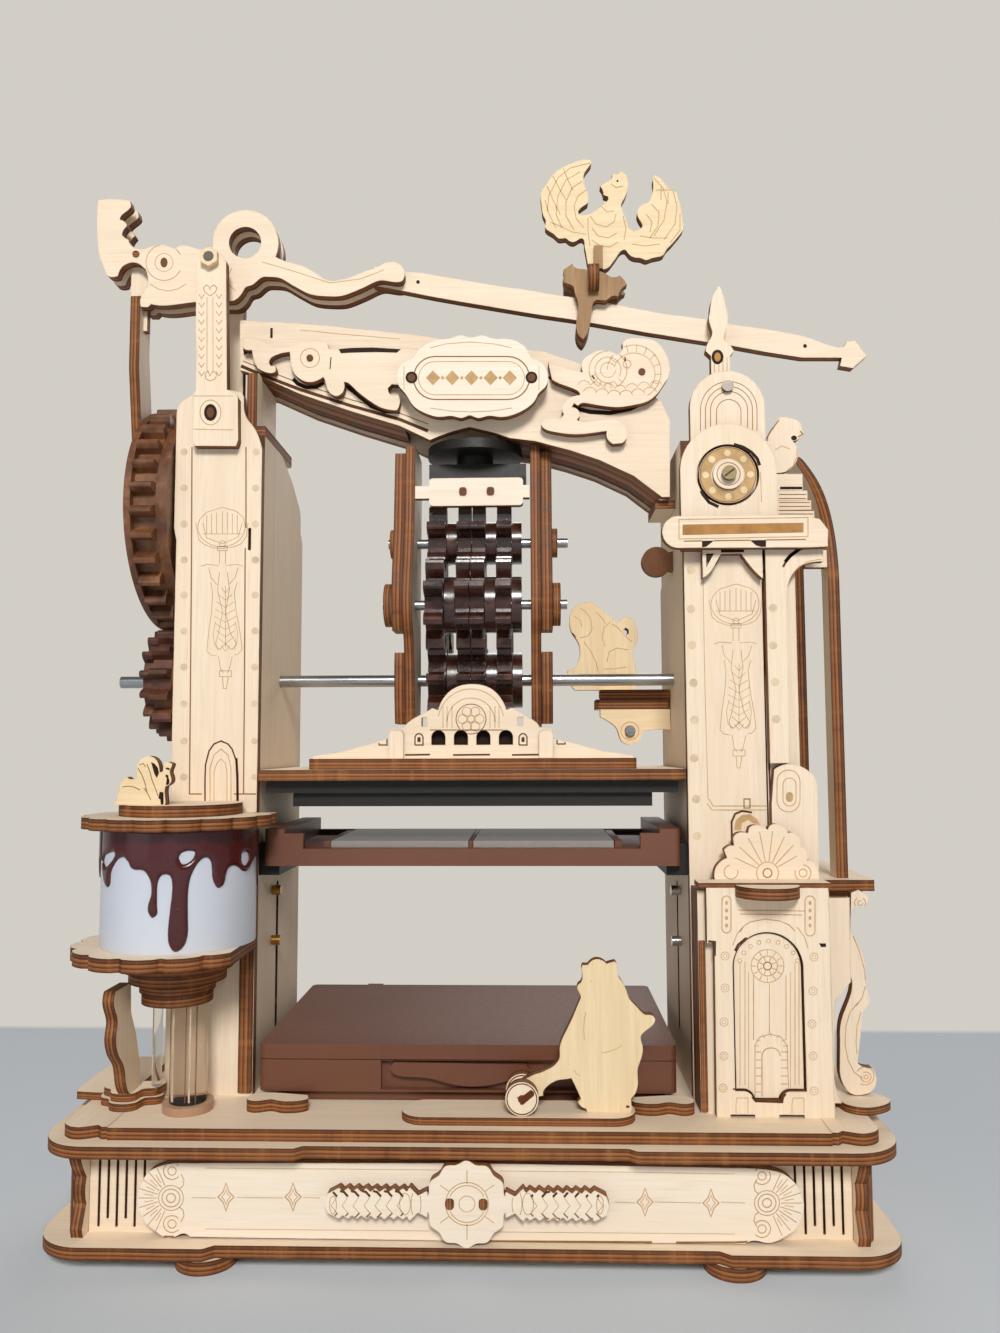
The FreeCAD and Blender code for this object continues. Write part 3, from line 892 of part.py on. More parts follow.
# ---------------------------------------------------------------- beam
node("beam_plates", plate("p", "XZ", "Params.y_beam_front", [smooth(OUT["beamf"], 30, 7.0)]))
node("beam_plates", plate("p", "XZ", "Params.y_beam_back", [smooth(OUT["beamf"], 30, 7.0)]))
bt = [(-70.0, 256.2), (-43.0, 253.8), (-21.9, 251.3), (21.6, 244.7), (33.0, 240.8), (43.4, 236.6)]
under = [(-70.0, 241.0), (-64.0, 239.1), (-51.8, 233.4), (-36.7, 228.0), (-21.7, 223.4)]


def strip(pts, t, down):
    """Thin bent strip between the beam plates, following a line of points."""
    off = [(a, b - t if down else b + t) for a, b in pts]
    return plate("s", "XZ", "Params.y_beam_front + Params.ply", [poly(pts + off[::-1])],
                 "Params.y_beam_back - Params.y_beam_front - Params.ply")


under_in = [(a + 0.4, b + 1.0) for a, b in under]
right_in = [(7.0, 221.6), (18.4, 219.1), (28.7, 216.2), (37.5, 213.1), (47.5, 208.2), (55.6, 202.0)]
node("beam_plates", strip(under_in, 2.0, False), strip(right_in, 2.0, False),
     strip([(a, b - 1.4) for a, b in bt], 2.0, True),
     plate("e", "YZ", "0 - 68.6", [poly([(43.1, 244.0), (61.9, 244.0), (61.9, 251.4), (43.1, 251.4)])]))
node("beam_plates",
     plate("s", "YZ", "0 - 68.6", [poly([(43.1, 221.0), (61.9, 221.0), (61.9, 239.6), (43.1, 239.6)])], "4"),
     block("s", 54.0, 43.1, 198.0, 5.8, 18.8, 2.6))
node("beam_ornaments", plate("p", "XZ", "Params.y_scroll", [smooth(OUT["scroll_l"], 50, 7.5),
                                                             circ(-48.3, 243.2, 1.0)]))
node("beam_ornaments", plate("p", "XZ", "Params.y_scroll", [smooth(OUT["scroll_r"], 50, 7.5),
                                                              circ(49.9, 237.5, 1.0)]))
node("beam_plaque", plate("p", "XZ", "Params.y_plaque", [smooth(OUT["plaque"], 60)]))

# ---------------------------------------------------------------- lever
rx, rz = val("rod_pin_x"), val("rod_pin_z")
lev = [smooth(OUT["lever"], 46), circ(-67.2, 277.2, 4.8), circ(px, pz, r_axle + run),
       circ(rx, rz, 1.03)]
node("lever_sculpture",
     plate("p", "XZ", "Params.y_lever_front", lev),
     plate("p", "XZ", "Params.y_lever_back", lev),
     rod("p", "Y", 1.0, 9.6, "Params.rod_pin_x", "Params.y_lever_front - 0.3", "Params.rod_pin_z"))
node("lever_arm", plate("p", "XZ", "Params.y_lever_mid", [smooth(OUT["arm"], 40, 9)]),
     plate("p", "XZ", "Params.y_lever_front - 4.2", [circ(px, pz, 3.0), circ(px, pz, r_axle + run)], "4.1"),
     plate("p", "XZ", "Params.y_lever_mid", [circ(px, pz, 4.2), circ(px, pz, r_axle + run)]),
     plate("p", "XZ", "Params.y_lever_back + Params.ply + 0.1", [circ(px, pz, 3.0), circ(px, pz, r_axle + run)], "2.9"))
node("eagle_figure", plate("p", "XZ", "Params.y_lever_mid", [smooth(OUT["eagle"], 50)]))
cp = [(30.2, 262.6), (30.2, 265.6), (33.0, 268.2), (44.0, 268.2), (46.6, 265.4), (46.6, 262.8),
      (43.2, 261.0), (33.4, 260.8)]
node("eagle_perch",
     block("t", 36.1, 34.4, 268.9 - 0.9, 2.6, 1.55, 7.0),
     plate("p", "XZ", "Params.y_lever_front", [smooth(OUT["perch"], 50)]),
     plate("p", "XZ", "Params.y_lever_back", [smooth(OUT["perch"], 50)]),
     plate("p", "YZ", "34.2", [smooth([(30.6 - 2.6, 264.4), (28.6, 262.0), (30.6, 260.2), (32.9, 260.4), (32.9, 267.6), (30.2, 267.4)], 50)]),
     plate("p", "YZ", "34.2", [smooth([(75.0 - a, b) for a, b in [(30.6 - 2.6, 264.4), (28.6, 262.0), (30.6, 260.2), (32.9, 260.4), (32.9, 267.6), (30.2, 267.4)]][::-1], 50)]))
head = [(-102.4, 274.2), (-101.4, 276.4), (-99.8, 277.0), (-98.0, 276.2), (-97.2, 274.2),
        (-97.2, 252.0), (-102.4, 252.0)]
slot_y0, slot_y1 = 36.3, 38.7
shank = [(33.6, 262.0, 1), (36.25, 262.0), (36.25, 252.0), (38.75, 252.0), (38.75, 262.0),
         (41.4, 262.0, 1), (41.4, 246.0, 8), (47.2, 212.0, 12), (49.0, 199.0), (48.4, 193.6, 4),
         (44.0, 191.6, 4), (39.6, 193.6, 4), (39.0, 199.0), (38.4, 212.0, 12), (33.6, 240.0, 8)]
node("connecting_rod",
     plate("p", "XZ", "Params.y_lever_mid + 0.3", [smooth(head, 50, 9), circ(rx, rz, 1.06)], "2.4"),
     plate("p", "YZ", "Params.x_rod", [poly(shank), circ(cy_pin, big_c[1], 2.9)]))

# ---------------------------------------------------------------- right tower
rtf = [(59.9, 33.0), (90.7, 33.0), (90.7, 190.0), (83.5, 190.0), (83.5, 223.7)]
arc_r = [Part.Arc(V(83.5, 223.7, 0), V(72.95, 234.25, 0), V(62.4, 223.7, 0))]
front_r = [line(rtf[i], rtf[i + 1]) for i in range(4)] + arc_r + \
    [line((62.4, 223.7), (62.4, 190.0)), line((62.4, 190.0), (59.9, 190.0)), line((59.9, 190.0), (59.9, 33.0))]
groove = rect(81.4, 96.0, 81.8, 176.0)
node("right_tower_front", plate("p", "XZ", "Params.y_tower", [front_r, groove]))
r_in = [(y0, 33.0), (y1, 33.0), (y1, 206.0, 5), (66.0, 211.0, 5), (52.0, 215.0, 3), (y0, 215.0)]
node("right_tower_walls", plate("p", "YZ", "Params.x_inner_right",
                                     [poly(r_in), wall_hole, guide]))
node("right_tower_walls", plate("p", "YZ", "Params.x_outer_right",
                                     [poly([(y0, 33.0), (y1, 33.0), (y1, 190.0, 4), (y0, 190.0)])]))
node("right_tower_walls", plate("p", "XZ", "Params.y_tower_back",
                               [poly([(59.9, 33), (90.7, 33), (90.7, 186, 8), (59.9, 186, 8)])]))
df = [line((58.9, 204.8), (58.9, 191.2)), line((58.9, 191.2), (85.6, 191.2)),
      line((85.6, 191.2), (85.6, 204.6)),
      Part.Arc(V(85.6, 204.6, 0), V(72.25, 217.95, 0), V(58.9, 204.8, 0))]
dx_, dz_ = val("dial_x"), val("dial_z")
node("right_tower_crown", plate("p", "XZ", "Params.y_crown", [df, circ(dx_, dz_, 8.7)]))
node("right_tower_crown", plate("p", "XZ", "Params.y_finial",
                     [smooth([(x, (z if z > 235 else 228.0)) for x, z in OUT["finial"]], 40, 7.0)]))
node("dial",
     plate("p", "XZ", "Params.y_dial", [circ(dx_, dz_, 8.0), circ(dx_, dz_, 1.05)], "2.4"),
     plate("p", "XZ", "Params.y_dial - 0.9", [circ(dx_, dz_, 4.3), circ(dx_, dz_, 1.05)], "0.9"))
node("pins_and_screws",
     rod("s", "Y", 1.0, 4.1, "Params.dial_x", "Params.y_dial - 1.1", "Params.dial_z"),
     plate("s", "XZ", "Params.y_dial - 2.6", [circ(dx_, dz_, 2.0)], "1.5"))
cross_b = [line((57.7, 182.2), (93.6, 182.0)), line((93.6, 182.0), (98.3, 182.2)),
           line((98.3, 182.2), (98.5, 186.8)), line((98.5, 186.8), (96.4, 189.8)),
           line((96.4, 189.8), (91.0, 191.1)), line((91.0, 191.1), (57.7, 191.1)),
           Part.Arc(V(57.7, 191.1, 0), V(53.2, 186.65, 0), V(57.7, 182.2, 0))]
node("tower_crossbar", plate("p", "XZ", "Params.y_crossbar", [cross_b]))
br_l = [(64.6, 182.1), (64.6, 174.3), (66.6, 175.8), (68.2, 178.3), (69.8, 181.0), (75.3, 181.0),
        (76.8, 178.8), (78.8, 176.2), (81.1, 174.0), (81.1, 182.1)]
sidebr = [(81.9, 182.1), (81.9, 123.1), (87.2, 123.1), (87.5, 165.0), (87.8, 171.6), (89.2, 175.0), (91.4, 177.2),
          (94.0, 178.3), (97.8, 178.6), (97.8, 182.1)]
node("tower_crossbar",
     plate("p", "XZ", "Params.y_crown", [smooth(br_l, 40, 9),
                                         smooth([(65.6, 182.0 - 0.9), (67.8, 181.1), (65.6, 177.2)], 10, 1)]),
     plate("p", "XZ", "Params.y_crown", [smooth(sidebr, 40, 5.4)]),
     block("p", 58.9, "Params.y_crown", 182.2, 36.0, "Params.ply", 8.9))
node("right_tower_roof", plate("p", "XZ", "Params.y_finial",
                          [smooth(OUT["cub"], 50)]))
node("right_tower_roof",
     block("r", 83.6, 31.6, 200.2, 10.8, 26, 4.8),
     block("r", 83.6, 31.6, 197.4, 12.0, 28, 2.7),
     block("r", 83.6, 31.6, 194.6, 13.0, 30, 2.7),
     block("r", 83.6, 31.6, 191.8, 13.8, 32, 2.7),
     block("r", 83.6, 31.6, 190.0, 14.2, 32, 1.7))
bump = [(82.0, 94.3), (94.2, 94.3), (94.4, 117.2), (93.1, 120.1), (89.9, 122.3), (86.7, 122.9),
        (82.9, 121.4), (82.0, 112.0)]
node("right_tower_front", plate("p", "XZ", "Params.y_crown", [smooth(bump, 40, 7.0)]))
node("tower_ornaments", plate("p", "XZ", "Params.y_crossbar", [smooth(OUT["shell"], 46)]))

# ---------------------------------------------------------------- cabinet at the right
cabf = [(62.1, 91.0), (62.1, 76.9), (64.0, 76.9), (63.7, 33.0), (67.2, 33.0), (67.2, 33.8),
        (73.4, 33.8), (73.4, 33.0), (79.6, 33.0), (79.6, 33.8), (86.0, 33.8), (86.0, 33.0),
        (93.6, 33.0), (93.6, 91.0)]
door = [line((68.5, 39.6), (68.5, 70.6)), Part.Arc(V(68.5, 70.6, 0), V(77.6, 79.7, 0), V(86.7, 70.6, 0)),
        line((86.7, 70.6), (86.7, 39.6)), line((86.7, 39.6), (82.6, 39.6)),
        Part.Arc(V(82.6, 39.6, 0), V(80.9, 38.9, 0), V(80.2, 37.3, 0)), line((80.2, 37.3), (73.2, 37.3)),
        Part.Arc(V(73.2, 37.3, 0), V(72.4, 38.9, 0), V(70.7, 39.6, 0)), line((70.7, 39.6), (68.5, 39.6))]
node("cabinet_front", plate("p", "XZ", "Params.y_cabinet", [poly(cabf), door]))
din = [line((69.0, 40.0), (69.0, 70.6)), Part.Arc(V(69.0, 70.6, 0), V(77.6, 79.2, 0), V(86.2, 70.6, 0)),
       line((86.2, 70.6), (86.2, 40.0)), line((86.2, 40.0), (82.8, 40.0)),
       Part.Arc(V(82.8, 40.0, 0), V(80.6, 39.2, 0), V(79.7, 37.7, 0)), line((79.7, 37.7), (73.7, 37.7)),
       Part.Arc(V(73.7, 37.7, 0), V(72.8, 39.2, 0), V(70.9, 40.0, 0)), line((70.9, 40.0), (69.0, 40.0))]
node("cabinet_box", plate("p", "XZ", "Params.y_cabinet + 0.9", [din], "2.1"))
node("cabinet_box",
     plate("p", "XZ", "Params.y_cabinet_rear", [poly([(60.2, 33.0), (94.6, 33.0), (94.6, 89.9), (60.2, 89.9)])]),
     plate("p", "YZ", "60.2", [poly([(21.0, 33.0), (28.4, 33.0), (28.4, 89.9), (21.0, 89.9)])]),
     plate("p", "YZ", "91.4", [poly([(21.0, 33.0), (28.4, 33.0), (28.4, 89.9), (21.0, 89.9)])]),
     plate("p", "XY", "91.0", [poly([(60.2, 15.2), (94.4, 15.2), (94.4, 22.4), (60.2, 22.4)])], "1.2"))


def half_round(cx, cy, r):
    return [Part.Arc(V(cx - r, cy, 0), V(cx, cy - r, 0), V(cx + r, cy, 0)), line((cx + r, cy), (cx - r, cy))]


node("cabinet_box",
     plate("p", "XY", "88.8", [half_round(77.8, 14.9, 8.2)]))
node("cabinet_box", plate("p", "XZ", "Params.y_wing",
                        [smooth([(94.8, 87.8), (100.5, 87.8), (100.2, 66.0), (96.0, 61.0),
                                 (95.3, 45.0), (95.3, 40.0), (97.0, 35.1), (94.8, 35.1)], 35, 9)]))
node("tower_ornaments", plate("p", "XZ", "Params.y_ornament", [smooth(OUT["side_orn"], 50)]))
butt = [(35.0, 91.0), (35.0, 176.0), (36.4, 184.0), (40.0, 193.0), (46.0, 201.5), (54.0, 209.0),
        (63.0, 215.5), (71.0, 220.6), (75.4, 222.4), (78.6, 221.0), (78.6, 91.0), (72.4, 91.0),
        (72.4, 208.0), (70.4, 209.4), (63.0, 205.6), (55.0, 199.0), (47.6, 190.4), (42.6, 182.0),
        (41.2, 174.0), (41.2, 91.0)]
node("side_buttress", plate("p", "YZ", "101.7", [smooth(butt, 38, 12)], "3.2"))
node("side_buttress",
     block("b", 90.7, 72.6, 182.0, 11.0, 3.0, 8.0),
     block("b", 90.8, 72.6, 150.0, 10.9, 3.0, 5.0),
     block("b", 98.5 - 3.0, 35.4, 178.7, 6.2, 3.0, 5.0))
node("side_buttress",
     plate("p", "XY", "88", [poly([(90.8, 31.6), (94.8, 30.9), (110.9, 30.9), (110.9, 80.0), (90.8, 80.0)], 0.8)]),
     plate("p", "XY", "86.2", [poly([(94.0, 34.0), (108.6, 34.0), (108.6, 78.0), (94.0, 78.0)], 1.0)], "1.7"),
     block("s", 90.8, 40, 74.0, 3.0, 30, 12.1))

# ---------------------------------------------------------------- bracket with small figure
node("monkey_bracket", plate("p", "XZ", "Params.y_monkey", [smooth(OUT["monkey"], 50),
                                                          poly([(45.6, 163.0), (46.8, 162.2), (47.4, 164.2), (46.2, 165.0)], 0.5)]))
node("monkey_bracket",
     plate("p", "XY", "139.4", [poly([(37.0, 61.0), (59.8, 61.0), (59.8, 74.0), (37.0, 74.0)], 1.5)]),
     plate("p", "XZ", "Params.y_bracket",
           [smooth([(38.2, 139.3), (38.2, 137.0), (41.0, 135.4), (43.4, 133.0), (44.6, 129.6), (47.3, 128.4),
                    (50.0, 129.6), (51.4, 132.6), (56.0, 133.0), (59.8, 133.0), (59.8, 139.3)], 50, 9),
            circ(47.3, 132.6, 1.2)]),
     plate("p", "XZ", "Params.y_bracket", [poly([(38.0, 142.5), (59.8, 142.5), (59.8, 145.4), (38.0, 145.4)], 0.6)]))
stop = [polar(55.0, 183.5, 4.5, 38 + 284.0 * k / 24) for k in range(25)] + [(59.8, 180.4), (59.8, 186.6)]
node("monkey_bracket", plate("p", "XZ", "50", [smooth(stop, 50, 3.0)]))

# ---------------------------------------------------------------- pins and screws
pins = []
for x, z in ((-59.8, 86.0), (-59.8, 71.5)):
    pins.append(rod("p", "X", 1.4, 2.6, x, 47.0, z))
for x, z in ((59.8, 86.0), (59.8, 71.5)):
    pins.append(rod("p", "X", 1.4, 2.6, x - 2.6, 47.0, z))
pins.append(rod("p", "Y", 1.6, 1.2, 73.0, 27.2, 229.5))
pins.append(rod("p", "Y", 1.5, 1.3, 47.3, 59.6, 132.6))
pins.append(rod("p", "Y", 0.95, 3.6, 47.3, 60.9, 132.6))
pins.append(rod("p", "Y", 0.97, 3.4, -48.3, 36.6, 243.2))
pins.append(rod("p", "Y", 0.97, 3.4, 49.9, 36.6, 237.5))
node("pins_and_screws", *pins)

# ---------------------------------------------------------------- checks and export
settle()
doc.recompute()
bad = []
for o in doc.Objects:
    if "Invalid" in o.State or "Error" in o.State:
        bad.append("%s (%s): %s" % (o.Name, o.Label, o.State))
for name, o in NODES.items():
    s = o.Shape
    if s.isNull() or not s.isValid() or not s.Solids:
        bad.append("%s: null, invalid or without solids" % name)
if bad:
    raise RuntimeError("model failed: " + "; ".join(bad))

os.makedirs("parts", exist_ok=True)
box = FreeCAD.BoundBox()
for name, o in NODES.items():
    box.add(o.Shape.BoundBox)
    o.Shape.exportStep("parts/%s.step" % name)
print("nodes", len(NODES), "solids", sum(len(o.Shape.Solids) for o in NODES.values()))
print("box X %.3f %.3f  Y %.3f %.3f  Z %.3f %.3f" % (box.XMin, box.XMax, box.YMin, box.YMax,
                                                   box.ZMin, box.ZMax))
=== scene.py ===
"""Looks of the wooden press: sheet wood with burnt edges, waxed gears, plastics, metal rods,
burnt line work with painted shade strips, the lamp's drips, and the camera, floor and light."""
import math

import bpy  # noqa: E402
import bmesh  # noqa: E402
import numpy as np  # noqa: E402
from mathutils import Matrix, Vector  # noqa: E402


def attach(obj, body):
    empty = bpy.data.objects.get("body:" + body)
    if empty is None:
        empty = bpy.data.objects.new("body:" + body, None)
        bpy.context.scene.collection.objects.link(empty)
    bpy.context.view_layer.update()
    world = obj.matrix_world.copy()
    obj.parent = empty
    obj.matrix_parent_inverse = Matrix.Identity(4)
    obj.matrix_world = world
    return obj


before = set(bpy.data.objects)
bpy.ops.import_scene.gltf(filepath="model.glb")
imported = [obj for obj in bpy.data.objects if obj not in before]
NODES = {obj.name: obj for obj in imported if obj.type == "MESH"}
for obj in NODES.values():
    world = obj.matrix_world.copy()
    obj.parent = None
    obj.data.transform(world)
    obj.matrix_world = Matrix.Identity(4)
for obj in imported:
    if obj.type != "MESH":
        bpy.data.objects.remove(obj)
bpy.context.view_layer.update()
DX, DY = -1.5855, -45.935


def P(x, y, z):
    """A point given in millimetres from the middle of the base's front edge, in the row frame."""
    return ((x + DX) / 1000.0, (y + DY) / 1000.0, z / 1000.0)


# ------------------------------------------------------------------ node helpers
class Tree:
    def __init__(self, name):
        self.mat = bpy.data.materials.new(name)
        self.mat.use_nodes = True
        self.nt = self.mat.node_tree
        self.nt.nodes.clear()
        self.out = self.add("ShaderNodeOutputMaterial")
        self.bsdf = self.add("ShaderNodeBsdfPrincipled")
        self.link(self.bsdf.outputs[0], self.out.inputs[0])
        self.tc = self.add("ShaderNodeTexCoord")

    def add(self, kind, **kw):
        n = self.nt.nodes.new(kind)
        for k, v in kw.items():
            setattr(n, k, v)
        return n

    def link(self, a, b):
        self.nt.links.new(a, b)

    def put(self, n, name, v):
        s = n.inputs[name]
        if hasattr(v, "links") or hasattr(v, "is_linked"):
            self.link(v, s)
        else:
            s.default_value = v

    def mapped(self, scale, rot=(0, 0, 0), loc=(0, 0, 0)):
        m = self.add("ShaderNodeMapping")
        self.link(self.tc.outputs["Object"], m.inputs["Vector"])
        m.inputs["Scale"].default_value = scale
        m.inputs["Rotation"].default_value = rot
        m.inputs["Location"].default_value = loc
        return m.outputs[0]

    def noise(self, vec, scale=5.0, detail=3.0, rough=0.5, dist=0.0):
        n = self.add("ShaderNodeTexNoise")
        self.link(vec, n.inputs["Vector"])
        n.inputs["Scale"].default_value = scale
        n.inputs["Detail"].default_value = detail
        n.inputs["Roughness"].default_value = rough
        n.inputs["Distortion"].default_value = dist
        return n.outputs[0]

    def ramp(self, fac, stops, mode="LINEAR"):
        r = self.add("ShaderNodeValToRGB")
        r.color_ramp.interpolation = mode
        el = r.color_ramp.elements
        while len(el) < len(stops):
            el.new(0.5)
        for e, (p, c) in zip(el, stops):
            e.position = p
            e.color = tuple(c) + (1.0,) if len(c) == 3 else c
        self.link(fac, r.inputs[0])
        return r.outputs[0]

    def grey(self, fac, a, b):
        r = self.add("ShaderNodeMapRange")
        self.link(fac, r.inputs["Value"])
        r.inputs["From Min"].default_value = a
        r.inputs["From Max"].default_value = b
        r.clamp = True
        return r.outputs[0]

    def math(self, op, a, b=None):
        m = self.add("ShaderNodeMath", operation=op)
        for i, v in enumerate((a, b)):
            if v is None:
                continue
            if isinstance(v, (int, float)):
                m.inputs[i].default_value = v
            else:
                self.link(v, m.inputs[i])
        return m.outputs[0]

    def mix(self, fac, a, b, kind="MIX"):
        m = self.add("ShaderNodeMix", data_type="RGBA", blend_type=kind)
        for sock, v in ((m.inputs[0], fac), (m.inputs[6], a), (m.inputs[7], b)):
            if isinstance(v, (int, float)):
                sock.default_value = v
            elif isinstance(v, (tuple, list)):
                sock.default_value = tuple(v) + (1.0,) if len(v) == 3 else v
            else:
                self.link(v, sock)
        return m.outputs[2]

    def bump(self, height, strength, dist):
        b = self.add("ShaderNodeBump")
        b.inputs["Strength"].default_value = strength
        b.inputs["Distance"].default_value = dist
        self.link(height, b.inputs["Height"])
        self.link(b.outputs[0], self.bsdf.inputs["Normal"])
        return b

    def axis(self, i):
        s = self.add("ShaderNodeSeparateXYZ")
        self.link(self.tc.outputs["Object"], s.inputs[0])
        return s.outputs[i]


def hexc(s):
    """sRGB hex to linear."""
    out = []
    for i in (0, 2, 4):
        c = int(s[i:i + 2], 16) / 255.0
        out.append(c / 12.92 if c <= 0.04045 else ((c + 0.055) / 1.055) ** 2.4)
    return tuple(out)


MATS = {}


def edge_factor(t, radius, lo, hi):
    """1 near a sheet's cut edges, 0 in the middle of its face."""
    bev = t.add("ShaderNodeBevel")
    bev.samples = 6
    bev.inputs["Radius"].default_value = radius
    geo = t.add("ShaderNodeNewGeometry")
    d = t.add("ShaderNodeVectorMath", operation="DOT_PRODUCT")
    t.link(bev.outputs[0], d.inputs[0])
    t.link(geo.outputs["Normal"], d.inputs[1])
    r = t.add("ShaderNodeMapRange")
    r.clamp = True
    t.link(d.outputs["Value"], r.inputs["Value"])
    r.inputs["From Min"].default_value = hi
    r.inputs["From Max"].default_value = lo
    r.inputs["To Min"].default_value = 1.0
    r.inputs["To Max"].default_value = 0.0
    return r.outputs[0]


def wood_face(grain, tone="light"):
    """Face of a sheet; grain is the axis number its grain runs along."""
    key = ("face", grain, tone)
    if key in MATS:
        return MATS[key]
    t = Tree("sheet_face_%s_%s" % ("xyz"[grain], tone))
    sc = [230.0, 230.0, 230.0]
    sc[grain] = 9.0
    fine = t.noise(t.mapped(sc), 6.0, 4.0, 0.62, 0.3)
    sc2 = [60.0, 60.0, 60.0]
    sc2[grain] = 4.5
    broad = t.noise(t.mapped(sc2), 1.6, 3.0, 0.5, 0.9)
    patch = t.noise(t.mapped((14.0, 14.0, 14.0)), 1.0, 2.0, 0.5)
    sc3 = [900.0, 900.0, 900.0]
    sc3[grain] = 60.0
    pores = t.noise(t.mapped(sc3), 1.0, 2.0, 0.6)
    light = {"light": ("EFDCC4", "E7D2B7", "D9C2A1"), "pale": ("F2E4D2", "EDDCC6", "E0CCB0"),
             "warm": ("EAD4AE", "E1C79D", "D2B485"), "mid": ("DDC49C", "CCAC7E", "B28E60"),
             "dark": ("A9855A", "8F6B45", "745233")}[tone]
    c = t.ramp(fine, [(0.30, hexc(light[1])), (0.62, hexc(light[0]))])
    c = t.mix(t.grey(broad, 0.50, 0.72), c, hexc(light[1]))
    c = t.mix(t.math("MULTIPLY", t.grey(patch, 0.5, 0.75), 0.12), c, hexc(light[2]))
    c = t.mix(t.math("MULTIPLY", t.grey(pores, 0.60, 0.74), 0.12), c, hexc("A9865B"))
    edge = edge_factor(t, 0.00055, 0.998, 0.80)
    blot = t.grey(t.noise(t.mapped((120.0, 120.0, 120.0)), 1.0, 3.0, 0.6), 0.42, 0.66)
    burn = t.math("MULTIPLY", edge, t.math("ADD", t.math("MULTIPLY", blot, 0.5), 0.10))
    c = t.mix(burn, c, hexc("8A5F36"))
    t.link(c, t.bsdf.inputs["Base Color"])
    t.link(t.ramp(fine, [(0.2, (0.62,) * 3), (0.8, (0.52,) * 3)]), t.bsdf.inputs["Roughness"])
    t.bsdf.inputs["Specular IOR Level"].default_value = 0.32
    t.bump(t.mix(0.5, fine, pores), 0.12, 0.0002)
    MATS[key] = t.mat
    return t.mat


def wood_edge(axis, start, thick, tone="burnt"):
    """Cut edge of a sheet: plies across its thickness, scorched by the cut. start and thick in
    metres along the sheet's thin axis."""
    start, thick = round(start, 5), round(thick, 5)
    key = ("edge", axis, start, thick, tone)
    if key in MATS:
        return MATS[key]
    t = Tree("sheet_edge_%s_%d_%d" % ("xyz"[axis], round(start * 1e5), round(thick * 1e5)))
    pos = t.axis(axis)
    rel = t.math("DIVIDE", t.math("SUBTRACT", pos, start), thick)
    wob = t.noise(t.mapped((55.0, 55.0, 55.0)), 1.0, 2.0, 0.5)
    rel = t.math("ADD", rel, t.math("MULTIPLY", t.math("SUBTRACT", wob, 0.5), 0.12))
    if tone == "burnt":
        cols = ["34190C", "74421F", "9A6035", "462310", "84502B", "A66C3D", "48240F", "704020", "2C1509"]
    else:
        # any other tone gives a darker copy of the plies: painted shade for edges that face down
        cols = ["2A150B", "44240F", "5A3419", "2E180C", "4C2B14", "5E391D", "301A0D", "432410", "24120A"]
    pts = [0.0, 0.12, 0.28, 0.36, 0.46, 0.60, 0.68, 0.84, 1.0]
    c = t.ramp(rel, [(p, hexc(h)) for p, h in zip(pts, cols)])
    streak = [240.0, 240.0, 240.0]
    streak[axis] = 30.0
    s = t.noise(t.mapped(streak), 1.0, 3.0, 0.7)
    c = t.mix(t.math("MULTIPLY", t.grey(s, 0.52, 0.74), 0.45), c, hexc("2B140A"))
    c = t.mix(t.math("MULTIPLY", t.grey(s, 0.46, 0.30), 0.30), c, hexc("B47A48"))
    big = t.noise(t.mapped((28.0, 28.0, 28.0)), 1.0, 2.0, 0.5)
    c = t.mix(t.math("MULTIPLY", t.grey(big, 0.50, 0.72), 0.22), c, hexc("A87042"))
    t.link(c, t.bsdf.inputs["Base Color"])
    t.link(t.ramp(s, [(0.2, (0.75,) * 3), (0.8, (0.5,) * 3)]), t.bsdf.inputs["Roughness"])
    t.bsdf.inputs["Specular IOR Level"].default_value = 0.3
    t.bump(s, 0.35, 0.0003)
    MATS[key] = t.mat
    return t.mat


def waxed(kind="gear"):
    key = ("wax", kind)
    if key in MATS:
        return MATS[key]
    t = Tree("waxed_wood_" + kind)
    a = t.noise(t.mapped((160.0, 160.0, 160.0)), 1.0, 4.0, 0.65, 0.4)
    b = t.noise(t.mapped((420.0, 60.0, 60.0)), 1.0, 3.0, 0.6)
    cols = {"gear": ("1C0B06", "3A180C", "5E2F1A"), "disc": ("4A2A16", "734729", "9A6A3D"),
            "perch": ("2A150C", "4A2A18", "6A4428"),
            "small": ("351C10", "5E3420", "86532F"), "big": ("120604", "27110A", "46200F")}[kind]
    c = t.ramp(a, [(0.30, hexc(cols[0])), (0.55, hexc(cols[1])), (0.78, hexc(cols[2]))])
    c = t.mix(t.math("MULTIPLY", t.grey(b, 0.52, 0.72), 0.5), c, hexc(cols[0]))
    t.link(c, t.bsdf.inputs["Base Color"])
    t.link(t.ramp(a, [(0.25, (0.16,) * 3), (0.75, (0.42,) * 3)]) if kind in ("gear", "big") else
           t.ramp(a, [(0.25, (0.36,) * 3), (0.75, (0.6,) * 3)]), t.bsdf.inputs["Roughness"])
    t.bsdf.inputs["Coat Weight"].default_value = 0.70 if kind in ("gear", "big") else 0.12
    t.bsdf.inputs["Coat Roughness"].default_value = 0.16
    t.bump(t.mix(0.4, a, b), 0.5, 0.0004)
    MATS[key] = t.mat
    return t.mat


